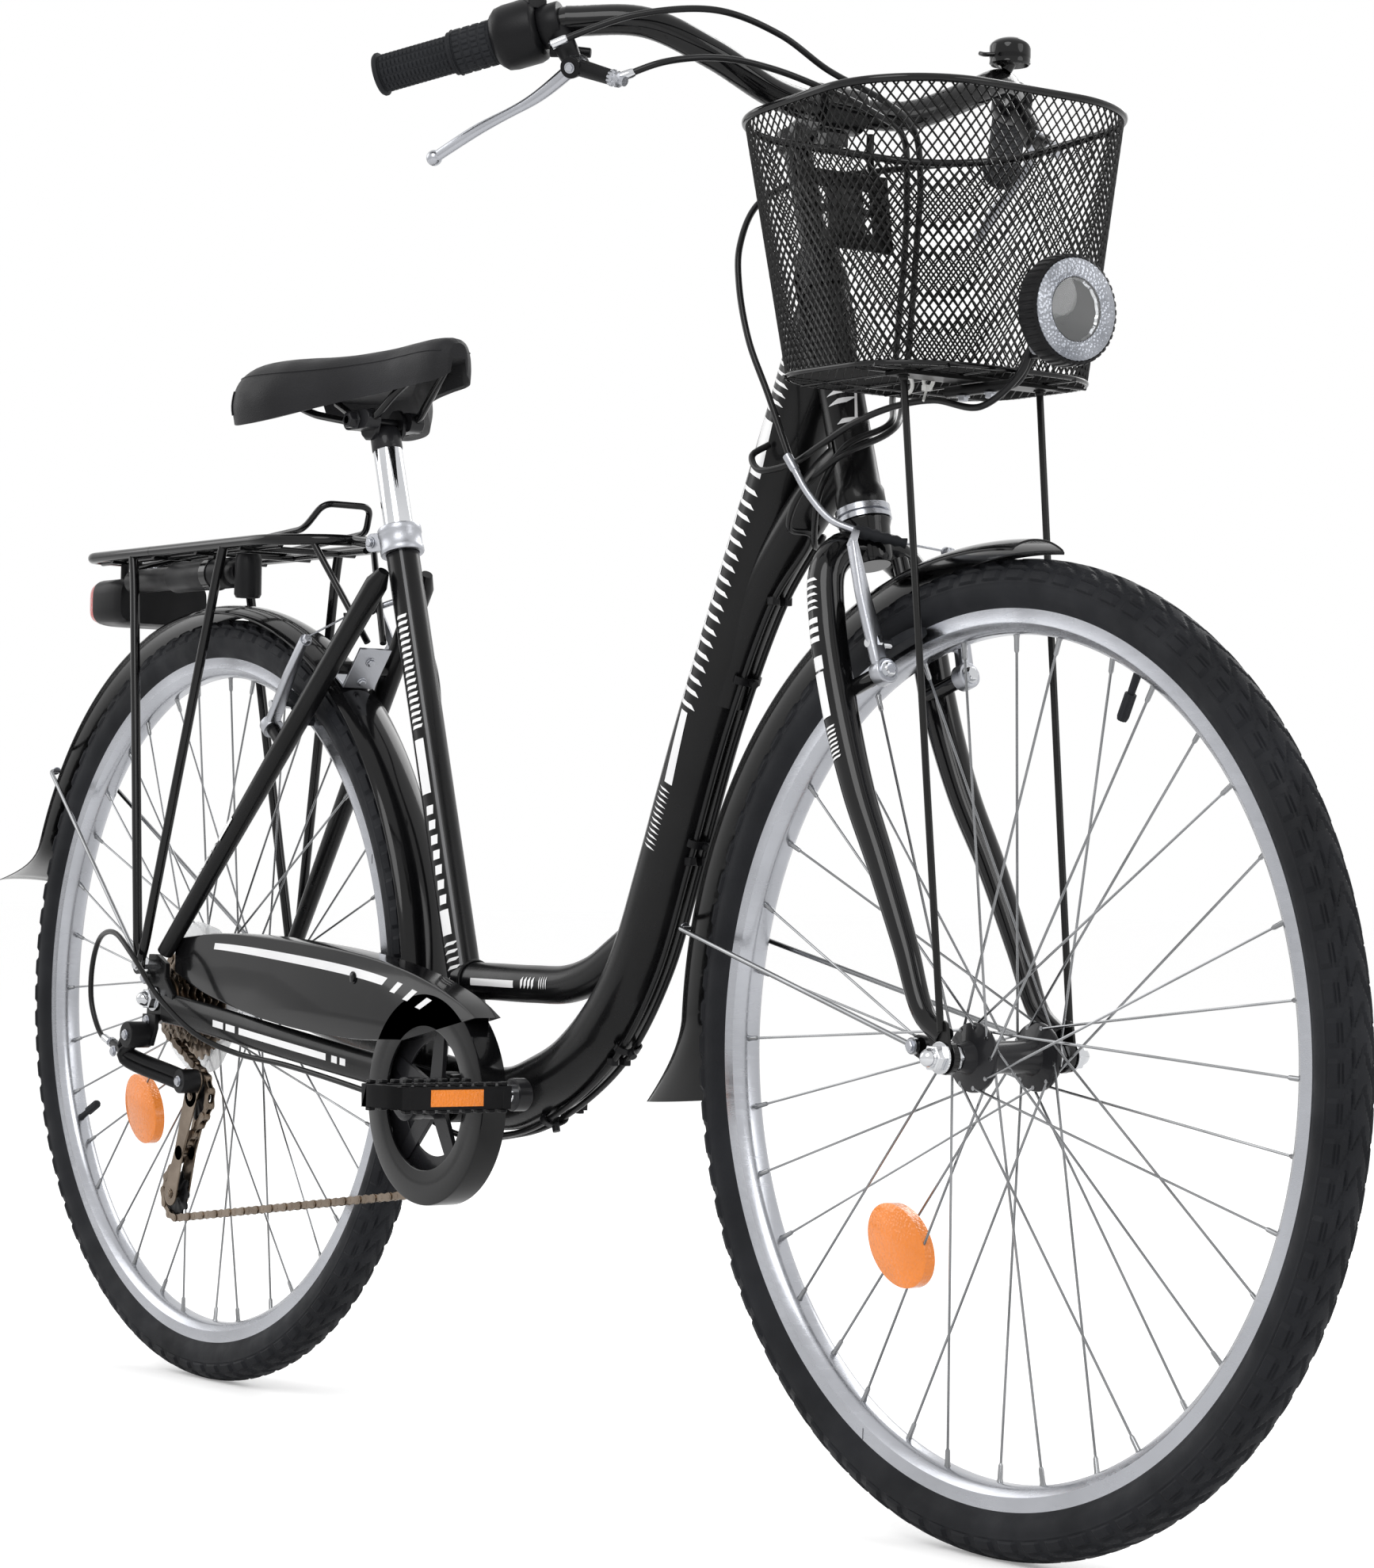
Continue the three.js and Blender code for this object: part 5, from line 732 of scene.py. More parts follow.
def make_tube_clips(main):
    """Bands that hold both cables under the main tube."""
    clips = Skin()
    turn = np.linspace(0, TAU, 40, endpoint=False)[:, None]
    for share in (0.62, 0.46, 0.25, 0.12):
        spot = int(share * 110)
        tangent = unit(main[spot + 1] - main[spot])
        outside = np.array([tangent[2], 0, -tangent[0]])
        outside = -outside if outside[2] > 0 else outside
        middle = main[spot] + outside * (MAIN_RADIUS + 3.2)
        ringed = middle + np.cos(turn) * 11.5 * ACROSS + np.sin(turn) * 6.2 * outside
        sweep(clips, ringed, [[-0.6, -3], [0.6, -3], [0.6, 3], [-0.6, 3]], loop=True)
        rod(clips, middle + outside * 4, middle + outside * 11, 3.2, 16)
    piece("cable_clips", clips, "plastic", "frame")


class BICYCLE_OT_frame(bpy.types.Operator):
    """Main frame: tubes, stays, drop-outs, headset and prints"""

    bl_idname = "bicycle.frame"
    bl_label = "Frame"

    def execute(self, context):
        main, brace = smooth(MAIN_ROUTE, 110), smooth(BRACE_ROUTE, 40)
        make_frame_tubes(main, brace)
        make_chain_stays()
        make_seat_stays()
        make_headset()
        make_frame_prints(main, brace)
        make_tube_clips(main)
        return {"FINISHED"}


def brake_pivot(axle, angle, side):
    """Where a brake arm turns, on the circle of its wheel's bosses."""
    return axle + wheel_place(288, math.radians(angle), side * 38)


# Fork, stem, bar and grips

QUILL_TOP = 734.0
BAR_CENTRE = steering(QUILL_TOP) + [50.3, 0, 10.4]
GRIP_START = BAR_CENTRE + [-47, 212, 44]
GRIP_END = BAR_CENTRE + [-162, 300, 10]
GRIP_LINE = unit(GRIP_END - GRIP_START)
GRIP_RUN = np.linalg.norm(GRIP_END - GRIP_START)


def on_grip(distance, side):
    """A place on the axis of a grip, counted out from its inner end."""
    return mirrored(GRIP_START + GRIP_LINE * distance, side)


RISES = np.array([[8, 60, 2], [6, 120, 25], [-12, 168, 44]], float)


def make_fork():
    """Two bent blades, steerer tube, brake pivots and printed bars."""
    fork, prints = Skin(), Skin()
    steps = np.array([[-3, 53, 14], [-26, 53, 29], [-49, 52, 75], [-80, 51, 134], [-110, 49, 185],
                      [-138, 47, 251], [-155, 45.5, 309], [-164, 39, 348], [-167, 22, 363]])
    for side in (-1, 1):
        route = smooth(np.vstack([mirrored(FRONT + steps, side), steering(398)]), 70)
        share = np.linspace(0, 1, 71)
        tube(fork, route, 7.5 + 6 * np.minimum(1, share * 1.5), 32)
        prism(fork, capsule(FRONT, FRONT + [-29, 0, 7], (12, 8)), 50.3, 55.7, side)
        pivot = brake_pivot(FRONT, 110, side)
        rod(fork, pivot - AHEAD * 42, pivot - AHEAD * 4.8, 6, 24)
        if side < 0:
            for i in range(5):
                patch(prints, route, 13.7, (0.86 - i * 0.012, 0.865 - i * 0.012), (-28, 22), 12)
            for i in range(3):
                patch(prints, route, 13.7, (0.755 + i * 0.016, 0.764 + i * 0.016), (-22, 20))
            patch(prints, route, 13.4, (0.62, 0.73), (-22, 18))
            for i in range(8):
                patch(prints, route, 12.9, (0.60 - i * 0.008, 0.6035 - i * 0.008), (-22, 18), 5)
    lathe(fork, [[0, 384], [14.5, 384], [16.4, 388], [16.8, 400], [18, 412], [19.5, 416], [19.5, 418],
                 [14.2, 418], [14.2, HEAD_HIGH + 30.6], [0, HEAD_HIGH + 30.6]], FOOT, UP, 44)
    piece("fork_body", fork, "gloss", "steering", "fork", bevel=0.6)
    piece("fork_prints", prints, "white", "steering")


def make_stem():
    """Quill and arm of the stem, with its bolts."""
    stem = Skin()
    top = QUILL_TOP
    lathe(stem, [[0, 545], [11, 545], [11, top - 16], [15, top - 13], [15.4, top - 3], [14.6, top],
                 [12.4, top], [12.4, top - 1.2], [0, top - 1.2]], FOOT, UP, 40)
    arm = smooth([steering(top - 8), steering(top - 5) + AHEAD * 22, BAR_CENTRE], 24)
    tube(stem, arm, np.linspace(13.5, 12, 25), 32)
    lathe(stem, [[11.2, -20], [16.6, -20], [18, -18.5], [18, 18.5], [16.6, 20], [11.2, 20]],
          BAR_CENTRE, ACROSS, 44)
    block(stem, BAR_CENTRE + [-9, -10, -27], BAR_CENTRE + [3, 10, -15])
    piece("stem_body", stem, "gloss", "steering", "stem", bevel=0.8)
    fixings = Skin()
    lathe(fixings, [[0, top - 1], [5, top - 1], [5.6, top + 2.4], [0, top + 2.4]], FOOT, UP, 24)
    bolt(fixings, BAR_CENTRE + [-3, 0, -27], [0, 0, -1], 4, 3)
    piece("stem_bolts", fixings, "crank", "steering")


def make_bar():
    """The swept-back bar, from one grip's end to the other's."""
    middle = smooth(np.vstack([
        on_grip(0, -1), mirrored(BAR_CENTRE + RISES[::-1], -1), BAR_CENTRE, BAR_CENTRE + RISES,
        on_grip(0, 1)]), 90)
    path = np.vstack([on_grip(GRIP_RUN - 4, -1), middle, on_grip(GRIP_RUN - 4, 1)])
    bar = Skin()
    tube(bar, rounded(path, 6, 4), 11.1, 36)
    piece("bar_tube", bar, "gloss", "steering", "handlebar")


def sleeve(skin, side, profile, wave=None, sides=96):
    """A turned skin on the axis of a grip."""
    return lathe(skin, profile, on_grip(0, side), mirrored(GRIP_LINE, side), sides, wave)


def blocks(start, end, height, rows, around=14):
    """A wave of raised blocks in rows along a sleeve and columns round it."""
    def wave(place, turn):
        share = (place - start) / (end - start)
        row = np.abs(np.mod(share * rows, 1) - 0.5)
        column = np.abs(np.mod(turn / TAU * around, 1) - 0.5)
        inside = (share > 0) & (share < 1)
        return height * inside * np.clip((0.42 - row) * 12, 0, 1) * np.clip((0.42 - column) * 12, 0, 1)
    return wave


def grip(side, start, name, node, rows):
    """A wrapped rubber grip with a bead at each end."""
    end = GRIP_RUN - 3
    run = np.linspace(start + 3, end - 1, 118)
    profile = [[11.7, start], [15.6, start], [16, start + 1], [16, start + 2.4], [13.2, start + 3]]
    profile += [[13.2, place] for place in run[1:]]
    profile += [[15.6, end - 0.6], [16, end], [16, end + 1.6], [15, end + 3], [0, end + 3.2]]
    made = Skin()
    sleeve(made, side, profile, blocks(start + 4, end - 2, 0.8, rows))
    return piece(name, made, "rubber", "steering", node)


def make_shifter():
    """The twist sleeve with its housing, cable outlet and scale."""
    twist = Skin()
    run = np.linspace(56, 86, 64)
    profile = [[11.7, 55.3], [17, 55.3], [17.4, 56]] + [[15.7, place] for place in run[1:-1]]
    profile += [[17.2, 86.4], [16.6, 87], [11.7, 87]]
    sleeve(twist, -1, profile, blocks(57, 85.5, 1.0, 4, 22))
    piece("twist_sleeve", twist, "rubber", "twist", "twist_grip")
    housing = Skin()
    sleeve(housing, -1, [[11.7, 19.3], [19, 19.3], [22.6, 21.5], [24, 26], [24, 44], [23, 50], [19.5, 54],
                         [17.6, 55], [11.7, 55]], sides=48)
    window = on_grip(36, -1) + unit([0.4, 0.1, 1]) * 22
    block(housing, window + [-10, -8, -4], window + [10, 8, 3.5])
    rod(housing, on_grip(30, -1) + [14, 10, -14], on_grip(30, -1) + [34, 32, -16], 5, 20, 3.6)
    piece("shifter_body", housing, "plastic", "steering", "shifter_housing", bevel=0.7)
    marks = Skin()
    for i in range(7):
        block(marks, window + [-8 + i * 2.4, -3.2, 3.5], window + [-7.2 + i * 2.4, 3.2, 3.8])
    piece("gear_marks", marks, "white", "steering")


def make_bell():
    """A small domed bell with its lever."""
    drum = BAR_CENTRE + RISES[2] + [8, 4, 13]
    bell = Skin()
    rod(bell, drum + [-2.8, -2.8, -2.8], drum + [0, 0, 4], 6)
    arc = np.linspace(0, TAU / 4, 10)
    dome = np.stack([16 * np.cos(arc), 14 + 8 * np.sin(arc)], -1)
    lathe(bell, [[0, 0], [14.5, 0], [16, 1.5], [15.6, 5], [16, 6], *dome.tolist()], drum, UPRIGHT, 48)
    lever_path = smooth([drum + [0, -15, 7], drum + [-6, -20, 7], drum + [-13, -19, 9]], 10)
    tube(bell, lever_path, 1.8, 12)
    piece("bell_dome", bell, "gloss", "steering", "bell")


class BICYCLE_OT_steering(bpy.types.Operator):
    """Fork, stem, handlebar, grips, bell and twist shifter"""

    bl_idname = "bicycle.steering"
    bl_label = "Fork and bar"

    def execute(self, context):
        make_fork()
        make_stem()
        make_bar()
        rows = context.scene.bicycle_sizes.grip_rows
        grip(-1, 87.3, "right_grip", "grip_right", rows)
        grip(1, 21, "left_grip", "grip_left", rows)
        make_shifter()
        make_bell()
        return {"FINISHED"}


def make_lever(side, end):
    """A blade that tapers towards its ball, its clamp on the bar and its barrel adjuster."""
    pivot_at = BAR_CENTRE + [-25, 219, 7]
    tip_at = BAR_CENTRE + [-144, 262, -49]
    pull = on_grip(GRIP_RUN * 0.85, 1) - tip_at
    pin_at = unit(np.cross(tip_at - pivot_at, pull))
    pivot, tip, pin = (mirrored(p, side) for p in (pivot_at, tip_at, pin_at))
    elbow = pivot + (tip - pivot) * 0.3 + mirrored([6, 0, -3], side)
    route = smooth([pivot, elbow, pivot + (tip - pivot) * 0.7, tip], 40)
    blade = Skin()
    share = np.linspace(0, 1, 41)
    radius = 6 * (1 - 0.25 * share) * (1 - 0.25 * np.exp(-((share - 0.45) / 0.2) ** 2))
    tube(blade, route, radius, 28, 0.7)
    lathe(blade, [[2.4, -4], [8, -4], [8, 4], [2.4, 4]], pivot, pin, 32)
    arc = np.linspace(-TAU / 4, TAU / 4, 12)
    lathe(blade, np.stack([5.9 * np.cos(arc), 5.9 * np.sin(arc)], -1), tip, ACROSS, 24)
    piece(f"lever_blade_{end}", blade, "alloy", f"lever_{end}", f"brake_lever_{end}")
    body = Skin()
    lathe(body, [[11.7, 3], [15.4, 3], [16, 3.8], [16, 18.2], [15.4, 19], [11.7, 19]], on_grip(0, side),
          mirrored(GRIP_LINE, side), 44)
    from_bar = on_grip(9.5, side)
    middle = from_bar + (pivot - from_bar) * 0.6
    tube(body, np.array([from_bar, middle, pivot]), [9, 8.6, 7], 24, 0.9)
    for low, high in ((4.3, 8.6), (-8.6, -4.3)):
        lathe(body, [[0, low], [7.6, low], [8, low + 0.5], [8, high - 0.5], [7.6, high], [0, high]],
              pivot, pin, 28)
    barrel = BAR_CENTRE + mirrored([8, 208, -5], side)
    rod(body, pivot, barrel, 6.4, 24, 5.6)
    piece(f"lever_clamp_{end}", body, "plastic", "steering", f"brake_bracket_{end}", bevel=0.4)
    metal = Skin()
    run = unit(barrel - pivot)
    lathe(metal, [[0, -1], [5.8, 0], [5.8, 3], [4.8, 4], [5.6, 5], [5.6, 8], [3.6, 9], [3.6, 13], [0, 13]],
          barrel - run * 2, run, 24, lambda place, turn: 0.35 * np.cos(turn * 12) * (place < 8))
    bolt(metal, pivot + pin * 8.6, pin, 3.2, 2.6)
    bolt(metal, on_grip(11, side) + mirrored([8, 4, -14], side), [0, 0, -1], 3.4, 3)
    piece(f"lever_metal_{end}", metal, "cast", "steering")


class BICYCLE_OT_levers(bpy.types.Operator):
    """Brake levers with their clamps and barrel adjusters"""

    bl_idname = "bicycle.levers"
    bl_label = "Brake levers"

    def execute(self, context):
        make_lever(-1, "right")
        make_lever(1, "left")
        return {"FINISHED"}


# Basket, its holder and legs, and the lamp

RIM_CENTRE = BAR_CENTRE + [117, 0, -25.3]
FLOOR_CENTRE = RIM_CENTRE + [8, 0, -190.2]
FLOOR_HALF, RIM_HALF = (86, 101.5), (109, 129)
PITCH = math.radians(3.9)
RIM_FORWARD = np.array([math.cos(PITCH), 0, math.sin(PITCH)])


def tub_section(turns):
    """Points of a rounded square of half-size 1 at shares of its whole turn, equal in length."""
    arc = np.linspace(0, TAU / 4, 24)
    corners = [np.stack([a * 0.32 + 0.68 * np.cos(arc + start), b * 0.32 + 0.68 * np.sin(arc + start)], -1)
               for a, b, start in ((1, 1, 0), (-1, 1, TAU / 4), (-1, -1, TAU / 2), (1, -1, TAU * 3 / 4))]
    line = np.vstack(corners + [corners[0][:1]])
    run = np.r_[0, np.cumsum(np.linalg.norm(np.diff(line, axis=0), axis=1))]
    share = np.mod(turns, 1) * run[-1]
    return np.stack([np.interp(share, run, line[:, i]) for i in range(2)], -1)


def tub_wall(turns, rise):
    """A place on the basket's wall from its share of the way round and of the way up."""
    flat = tub_section(turns)
    rise = np.asarray(rise, float)[..., None]
    low = FLOOR_CENTRE + flat[..., :1] * FLOOR_HALF[0] * FORWARD + flat[..., 1:] * FLOOR_HALF[1] * ACROSS
    high = RIM_CENTRE + flat[..., :1] * RIM_HALF[0] * RIM_FORWARD + flat[..., 1:] * RIM_HALF[1] * ACROSS
    return low + (high - low) * rise


def strands(skin, paths, half):
    """Many square wires at once: paths run over wires, points and x y z."""
    tangent = unit(np.gradient(paths, axis=1))
    outward = paths - np.array([FLOOR_CENTRE[0], 0, 0])
    outward = outward * [1, 1, 0] + [0, 0, 1e-3]
    outward = unit(outward - tangent * np.sum(outward * tangent, -1, keepdims=True))
    sideways = np.cross(outward, tangent)
    corners = np.array([[1, 0], [0, 1.1], [-1, 0], [0, -1.1]]) * half
    ring = paths[:, :, None] + corners[:, :1] * sideways[:, :, None] + corners[:, 1:] * outward[:, :, None]
    return skin.arrays(ring)


def make_mesh(count, half):
    """Crossing strands up the wall and over the floor."""
    rise = np.linspace(0, 1, 26)
    mesh = Skin()
    start = np.arange(count)[:, None] / count
    for way in (-1, 1):
        strands(mesh, tub_wall(start + way * 0.19 * rise[None, :], np.broadcast_to(rise, (count, 26))), half)
    # Floor strands: slanted lines cut off where they meet the rounded outline
    outline = tub_section(np.linspace(0, 1, 96, endpoint=False)) * FLOOR_HALF
    edge = np.roll(outline, -1, 0) - outline
    normal = unit(np.stack([edge[:, 1], -edge[:, 0]], -1))
    reach = np.sum(normal * outline, -1)
    lines = []
    for slope in (0.72, -0.72):
        along = unit([1.0, slope])
        side = np.array([-along[1], along[0]])
        for offset in np.arange(-130, 131, 5.6):
            gap = reach - normal @ (side * offset)
            speed = normal @ along
            end = np.min(np.where(speed > 1e-6, gap / np.where(speed > 1e-6, speed, 1), 1e9))
            begin = np.max(np.where(speed < -1e-6, gap / np.where(speed < -1e-6, speed, 1), -1e9))
            if end - begin > 6:
                t = np.linspace(begin, end, 8)[:, None]
                flat = side * offset + along * t
                lines.append(FLOOR_CENTRE + flat[:, :1] * FORWARD + flat[:, 1:] * ACROSS + UPRIGHT * 1.2)
    strands(mesh, np.array(lines), half)
    piece("basket_mesh", mesh, "wire", "steering", "basket", angle=60)


def make_basket_rings():
    """Rim, floor ring and the wires under the floor."""
    turns = np.linspace(0, 1, 160, endpoint=False)
    rings = Skin()
    tube(rings, tub_wall(turns, np.ones(160)), 3, 16, loop=True)
    tube(rings, tub_wall(turns, np.full(160, 0.002)) + UPRIGHT * 1.4, 2, 12, loop=True)
    for y in (-58, -20, 20, 58):
        rod(rings, FLOOR_CENTRE + [-84, y, 0.6], FLOOR_CENTRE + [84, y, 0.6], 1.6, 10)
    for x in (-54, 30, 50):
        rod(rings, FLOOR_CENTRE + [x, -98, 0.6], FLOOR_CENTRE + [x, 98, 0.6], 1.6, 10)
    piece("basket_rings", rings, "gloss", "steering")


def make_holder():
    """Slotted plate behind the basket and two hooks up to the bar."""
    low = FLOOR_CENTRE - [FLOOR_HALF[0], 0, 0]
    high = RIM_CENTRE - [RIM_HALF[0], 0, math.sin(PITCH) * RIM_HALF[0]]
    wall = unit(high - low)
    behind = np.array([-wall[2], 0, wall[0]])

    def spot(share, y, depth):
        return low + (high - low) * share + ACROSS * y + behind * depth

    holder = Skin()
    for y0, y1, s0, s1 in ((-42, -25, 0.6, 0.92), (-17, 17, 0.6, 0.92), (25, 42, 0.6, 0.92),
                           (-42, 42, 0.6, 0.67), (-42, 42, 0.85, 0.92), (-42, 42, 0.745, 0.775)):
        rows = np.array([[spot(s, y, d) for y, d in ((y0, 0.4), (y1, 0.4), (y1, 3.2), (y0, 3.2))]
                         for s in (s0, s1)])
        holder.grid(rows)
    for side in (-1, 1):
        hook = smooth([spot(0.92, side * 32, 3.3) - wall * 4.5, spot(0.92, side * 34, 9) + wall * 14,
                       BAR_CENTRE + [-1, side * 34, -14.1]], 24)
        tube(holder, hook, 3, 16)
        bolt(holder, spot(0.70, side * 34, 3.2), behind, 4, 3)
    piece("holder_plate", holder, "wire", "steering", "basket_bracket", bevel=0.3)


def make_legs():
    """Cross plate under the basket with a wire leg down to each end of the axle."""
    legs = Skin()
    top = FLOOR_CENTRE[2] - 0.3
    block(legs, [FLOOR_CENTRE[0] + 28, -70, top - 3], [FLOOR_CENTRE[0] + 52, 70, top])
    for side in (-1, 1):
        rod(legs, [FLOOR_CENTRE[0] + 40, side * 63, top - 1.5], FRONT + [0, side * 59.2, 18], 2.6, 16)
        prism(legs, capsule(FRONT, FRONT + [0, 0, 20], (9.5, 6)), 56, 58.3, side)
        bolt(legs, [FLOOR_CENTRE[0] + 40, side * 63, top - 3], [0, 0, -1], 3.6, 4)
    piece("leg_wires", legs, "wire", "steering", "basket_legs", bevel=0.3)


def make_ties():
    """Two white straps round the lamp cable."""
    ties = Skin()
    spots = [(FLOOR_CENTRE + [20, -24, -1], 9), (FLOOR_CENTRE + [2, -28, -4], 8)]
    for place, reach in spots:
        turn = np.linspace(0, TAU, 24, endpoint=False)[:, None]
        ring = place + np.cos(turn) * reach * FORWARD * 0.6 + np.sin(turn) * reach * UPRIGHT * 0.7
        sweep(ties, ring, [[-0.6, -1.4], [0.6, -1.4], [0.6, 1.4], [-0.6, 1.4]], loop=True)
    block(ties, FLOOR_CENTRE + [16, -27, -9], FLOOR_CENTRE + [21, -21, -5])
    rod(ties, FLOOR_CENTRE + [18, -24, -8], FLOOR_CENTRE + [22, -30, -17], 0.9, 8)
    piece("white_ties", ties, "tie", "steering")


def make_lamp():
    """Lamp shell with ring, reflex ring, mirror, glass, arm and screws."""
    lamp = FLOOR_CENTRE + [150, 0, 38.5]
    shell, ringed = Skin(), Skin()
    lathe(shell, [[0, -44], [12, -44], [16, -42], [24, -31], [34, -20], [36.5, -15], [36.5, -3.6],
                  [35.5, -3], [35.5, -5], [0, -5]], lamp, FORWARD, 56)
    arm_drop = FLOOR_CENTRE[2] - 7.6
    route = rounded([[FLOOR_CENTRE[0] + 12, 0, arm_drop], [FLOOR_CENTRE[0] + 88, 0, arm_drop],
                     lamp + [-42, 0, -22], lamp + [-32, 0, -6]], 9, 8)
    tube(shell, route, 4, 18)
    block(shell, lamp + [-40, -7, -31], lamp + [-26, 7, -16])
    lathe(ringed, [[35.8, -17], [38, -17], [39, -15], [39, -4], [38.4, -1], [36.4, 0], [35.8, -1]], lamp,
          FORWARD, 320,
          lambda place, turn: -0.9 * (np.mod(turn * 40 / TAU, 1) > 0.62) * (place > -16.5), True)
    piece("lamp_shell", shell, "plastic", "steering", "headlight", bevel=0.4)
    piece("lamp_ring", ringed, "plastic", "steering")
    reflex, mirror, glass = Skin(), Skin(), Skin()
    lathe(reflex, [[22.5, -3.2], [35.6, -3.2], [35.6, 0.4], [34.8, 0.8], [23, 0.8], [22.5, 0.4]], lamp,
          FORWARD, 240, lambda place, turn: 0.15 * np.cos(turn * 60), True)
    bowl = np.linspace(0.12, 1, 12)
    lathe(mirror, [[2.6, -24], *np.stack([22.4 * bowl, -24 + 21 * bowl**2], -1).tolist(), [22.4, -25],
                   [2.6, -25]], lamp, FORWARD, 64,
          lambda place, turn: 0.35 * np.cos(turn * 16) * (place > -20), True)
    arc = np.linspace(1, 0, 8)
    lathe(glass, np.stack([22.2 * arc, 0.6 + 2.4 * (1 - arc**2)], -1).tolist()
          + np.stack([22.2 * arc[::-1], -0.8 + 2.0 * (1 - arc[::-1]**2)], -1).tolist(), lamp, FORWARD, 56,
          hollow=True)
    rod(mirror, lamp + [-24, 0, 0], lamp + [-12, 0, 0], 2.4, 16)
    piece("lamp_reflex_ring", reflex, "prism", "steering")
    piece("lamp_mirror", mirror, "mirror", "steering")
    piece("lamp_glass", glass, "lens", "steering", "headlight_lens")
    screw = Skin()
    bolt(screw, lamp + [-33, -7, -24], [0, -1, 0], 4.2, 4)
    bolt(screw, [FLOOR_CENTRE[0] + 60, 0, arm_drop - 4], [0, 0, -1], 4, 4)
    bolt(screw, [FLOOR_CENTRE[0] + 30, 0, arm_drop - 4], [0, 0, -1], 4, 4)
    piece("lamp_screws", screw, "cast", "steering")


class BICYCLE_OT_basket(bpy.types.Operator):
    """Wire basket with diamond mesh, its holder, legs and cable ties"""

    bl_idname = "bicycle.basket"
    bl_label = "Basket"

    def execute(self, context):
        sizes = context.scene.bicycle_sizes
        make_mesh(sizes.mesh_columns, sizes.mesh_wire * 1000)
        make_basket_rings()
        make_holder()
        make_legs()
        make_ties()
        make_lamp()
        return {"FINISHED"}


# Wheels


SPOKE_BED = 296.0
HOLE_CIRCLE = 21.5


def wheel_place(radius, turn, y):
    """A place at a radius and turn in the wheel's plane, and y to the rider's left of it."""
    return np.array([radius * math.cos(turn), y, radius * math.sin(turn)])


def around(section, axle, steps):
    """Radius and sideways pairs of a section carried round the axle."""
    turn = np.linspace(0, TAU, steps, endpoint=False)[:, None]
    radius, y = np.asarray(section, float).T
    return np.stack([radius * np.cos(turn), y + 0 * turn, radius * np.sin(turn)], -1) + axle


def make_tyre(name, body, axle, blocks, width):
    """A tread over the way round and the way across: raised blocks on the shoulders and a broken
    chevron belt in the middle, over a round casing with a thin bead."""
    ring = width / 2 - 0.6
    turn = np.linspace(0, TAU, blocks * 8, endpoint=False)[:, None]
    across = np.linspace(-1, 1, 61)[None, :]
    phase, place = turn / TAU * blocks, np.abs(across)
    belt = np.mod(phase + place * 3.2 + 0.25 * (across > 0), 1)
    shoulder = np.mod(phase + 0.5 * (across > 0), 1)
    height = sum(rise * ((place > low) & (place < high)) * kept for rise, low, high, kept in (
        (1.5, -1, 0.17, belt < 0.74), (1.6, 0.22, 0.36, belt < 0.6), (1.9, 0.4, 0.58, shoulder < 0.62),
        (0.35, 0.62, 0.66, 1), (0.5, 0.9, 0.93, 1)))
    lean = across * math.radians(129)
    out = WHEEL - 1.5 - ring + (ring + height) * np.cos(lean)
    points = np.stack([out * np.cos(turn), (ring + height) * np.sin(lean), out * np.sin(turn)], -1) + axle
    bead = around([[308.6, 9.4], [308.6, -9.4]], axle, len(turn))
    piece(f"{name}_tread", Skin().grid(np.concatenate([points, bead], 1), loop_u=True), "tyre", body,
          f"{name}_tyre", angle=15)


def make_rim(name, body, axle):
    """A hoop with a hollow bed for the tyre and a flat brake track on each side."""
    half = np.array([[306.5, 3], [308.5, 9.7], [316.6, 10.1], [317.4, 11.5], [317, 12.5], [315.4, 12.3],
                     [305.5, 12.3], [304.4, 12.5], [303.6, 12.5], [299, 9.5], [296.4, 6], [SPOKE_BED, 3]])
    section = np.vstack([half, half[::-1] * [1, -1]])
    piece(f"{name}_rim_hoop", Skin().grid(around(section, axle, 240), loop_u=True), "alloy", body,
          f"{name}_rim", angle=30)


def make_spokes(name, body, axle, right, left):
    """Eighteen spokes from each flange, leaning ahead and behind in turn, with their heads and nipples."""
    steel = Skin()
    step = TAU / 9
    for flange, offset in ((right, 0), (left, step / 4)):
        lean = math.copysign(1, flange)
        for i in range(18):
            way = 1 if i % 2 == 0 else -1
            hole = step * i / 2 + offset
            inner = wheel_place(HOLE_CIRCLE, hole, flange + way * lean * 2.4) + axle
            outer = wheel_place(SPOKE_BED, hole + way * TAU / 6, lean * 2.5) + axle
            rod(steel, inner, outer, 0.95, 8)
            run = unit(inner - outer)
            tube(steel, outer + run * np.array([[-1], [2], [11], [12.5]]), [2.6, 1.9, 1.75, 1.2], 10)
            lathe(steel, [[0, -0.8], [1.7, -0.5], [1.7, 0.5], [0, 0.8]],
                  wheel_place(HOLE_CIRCLE, hole, flange + way * lean * 3) + axle, ACROSS, 10)
    piece(f"{name}_spokes", steel, "spoke", body, f"{name}_hub")


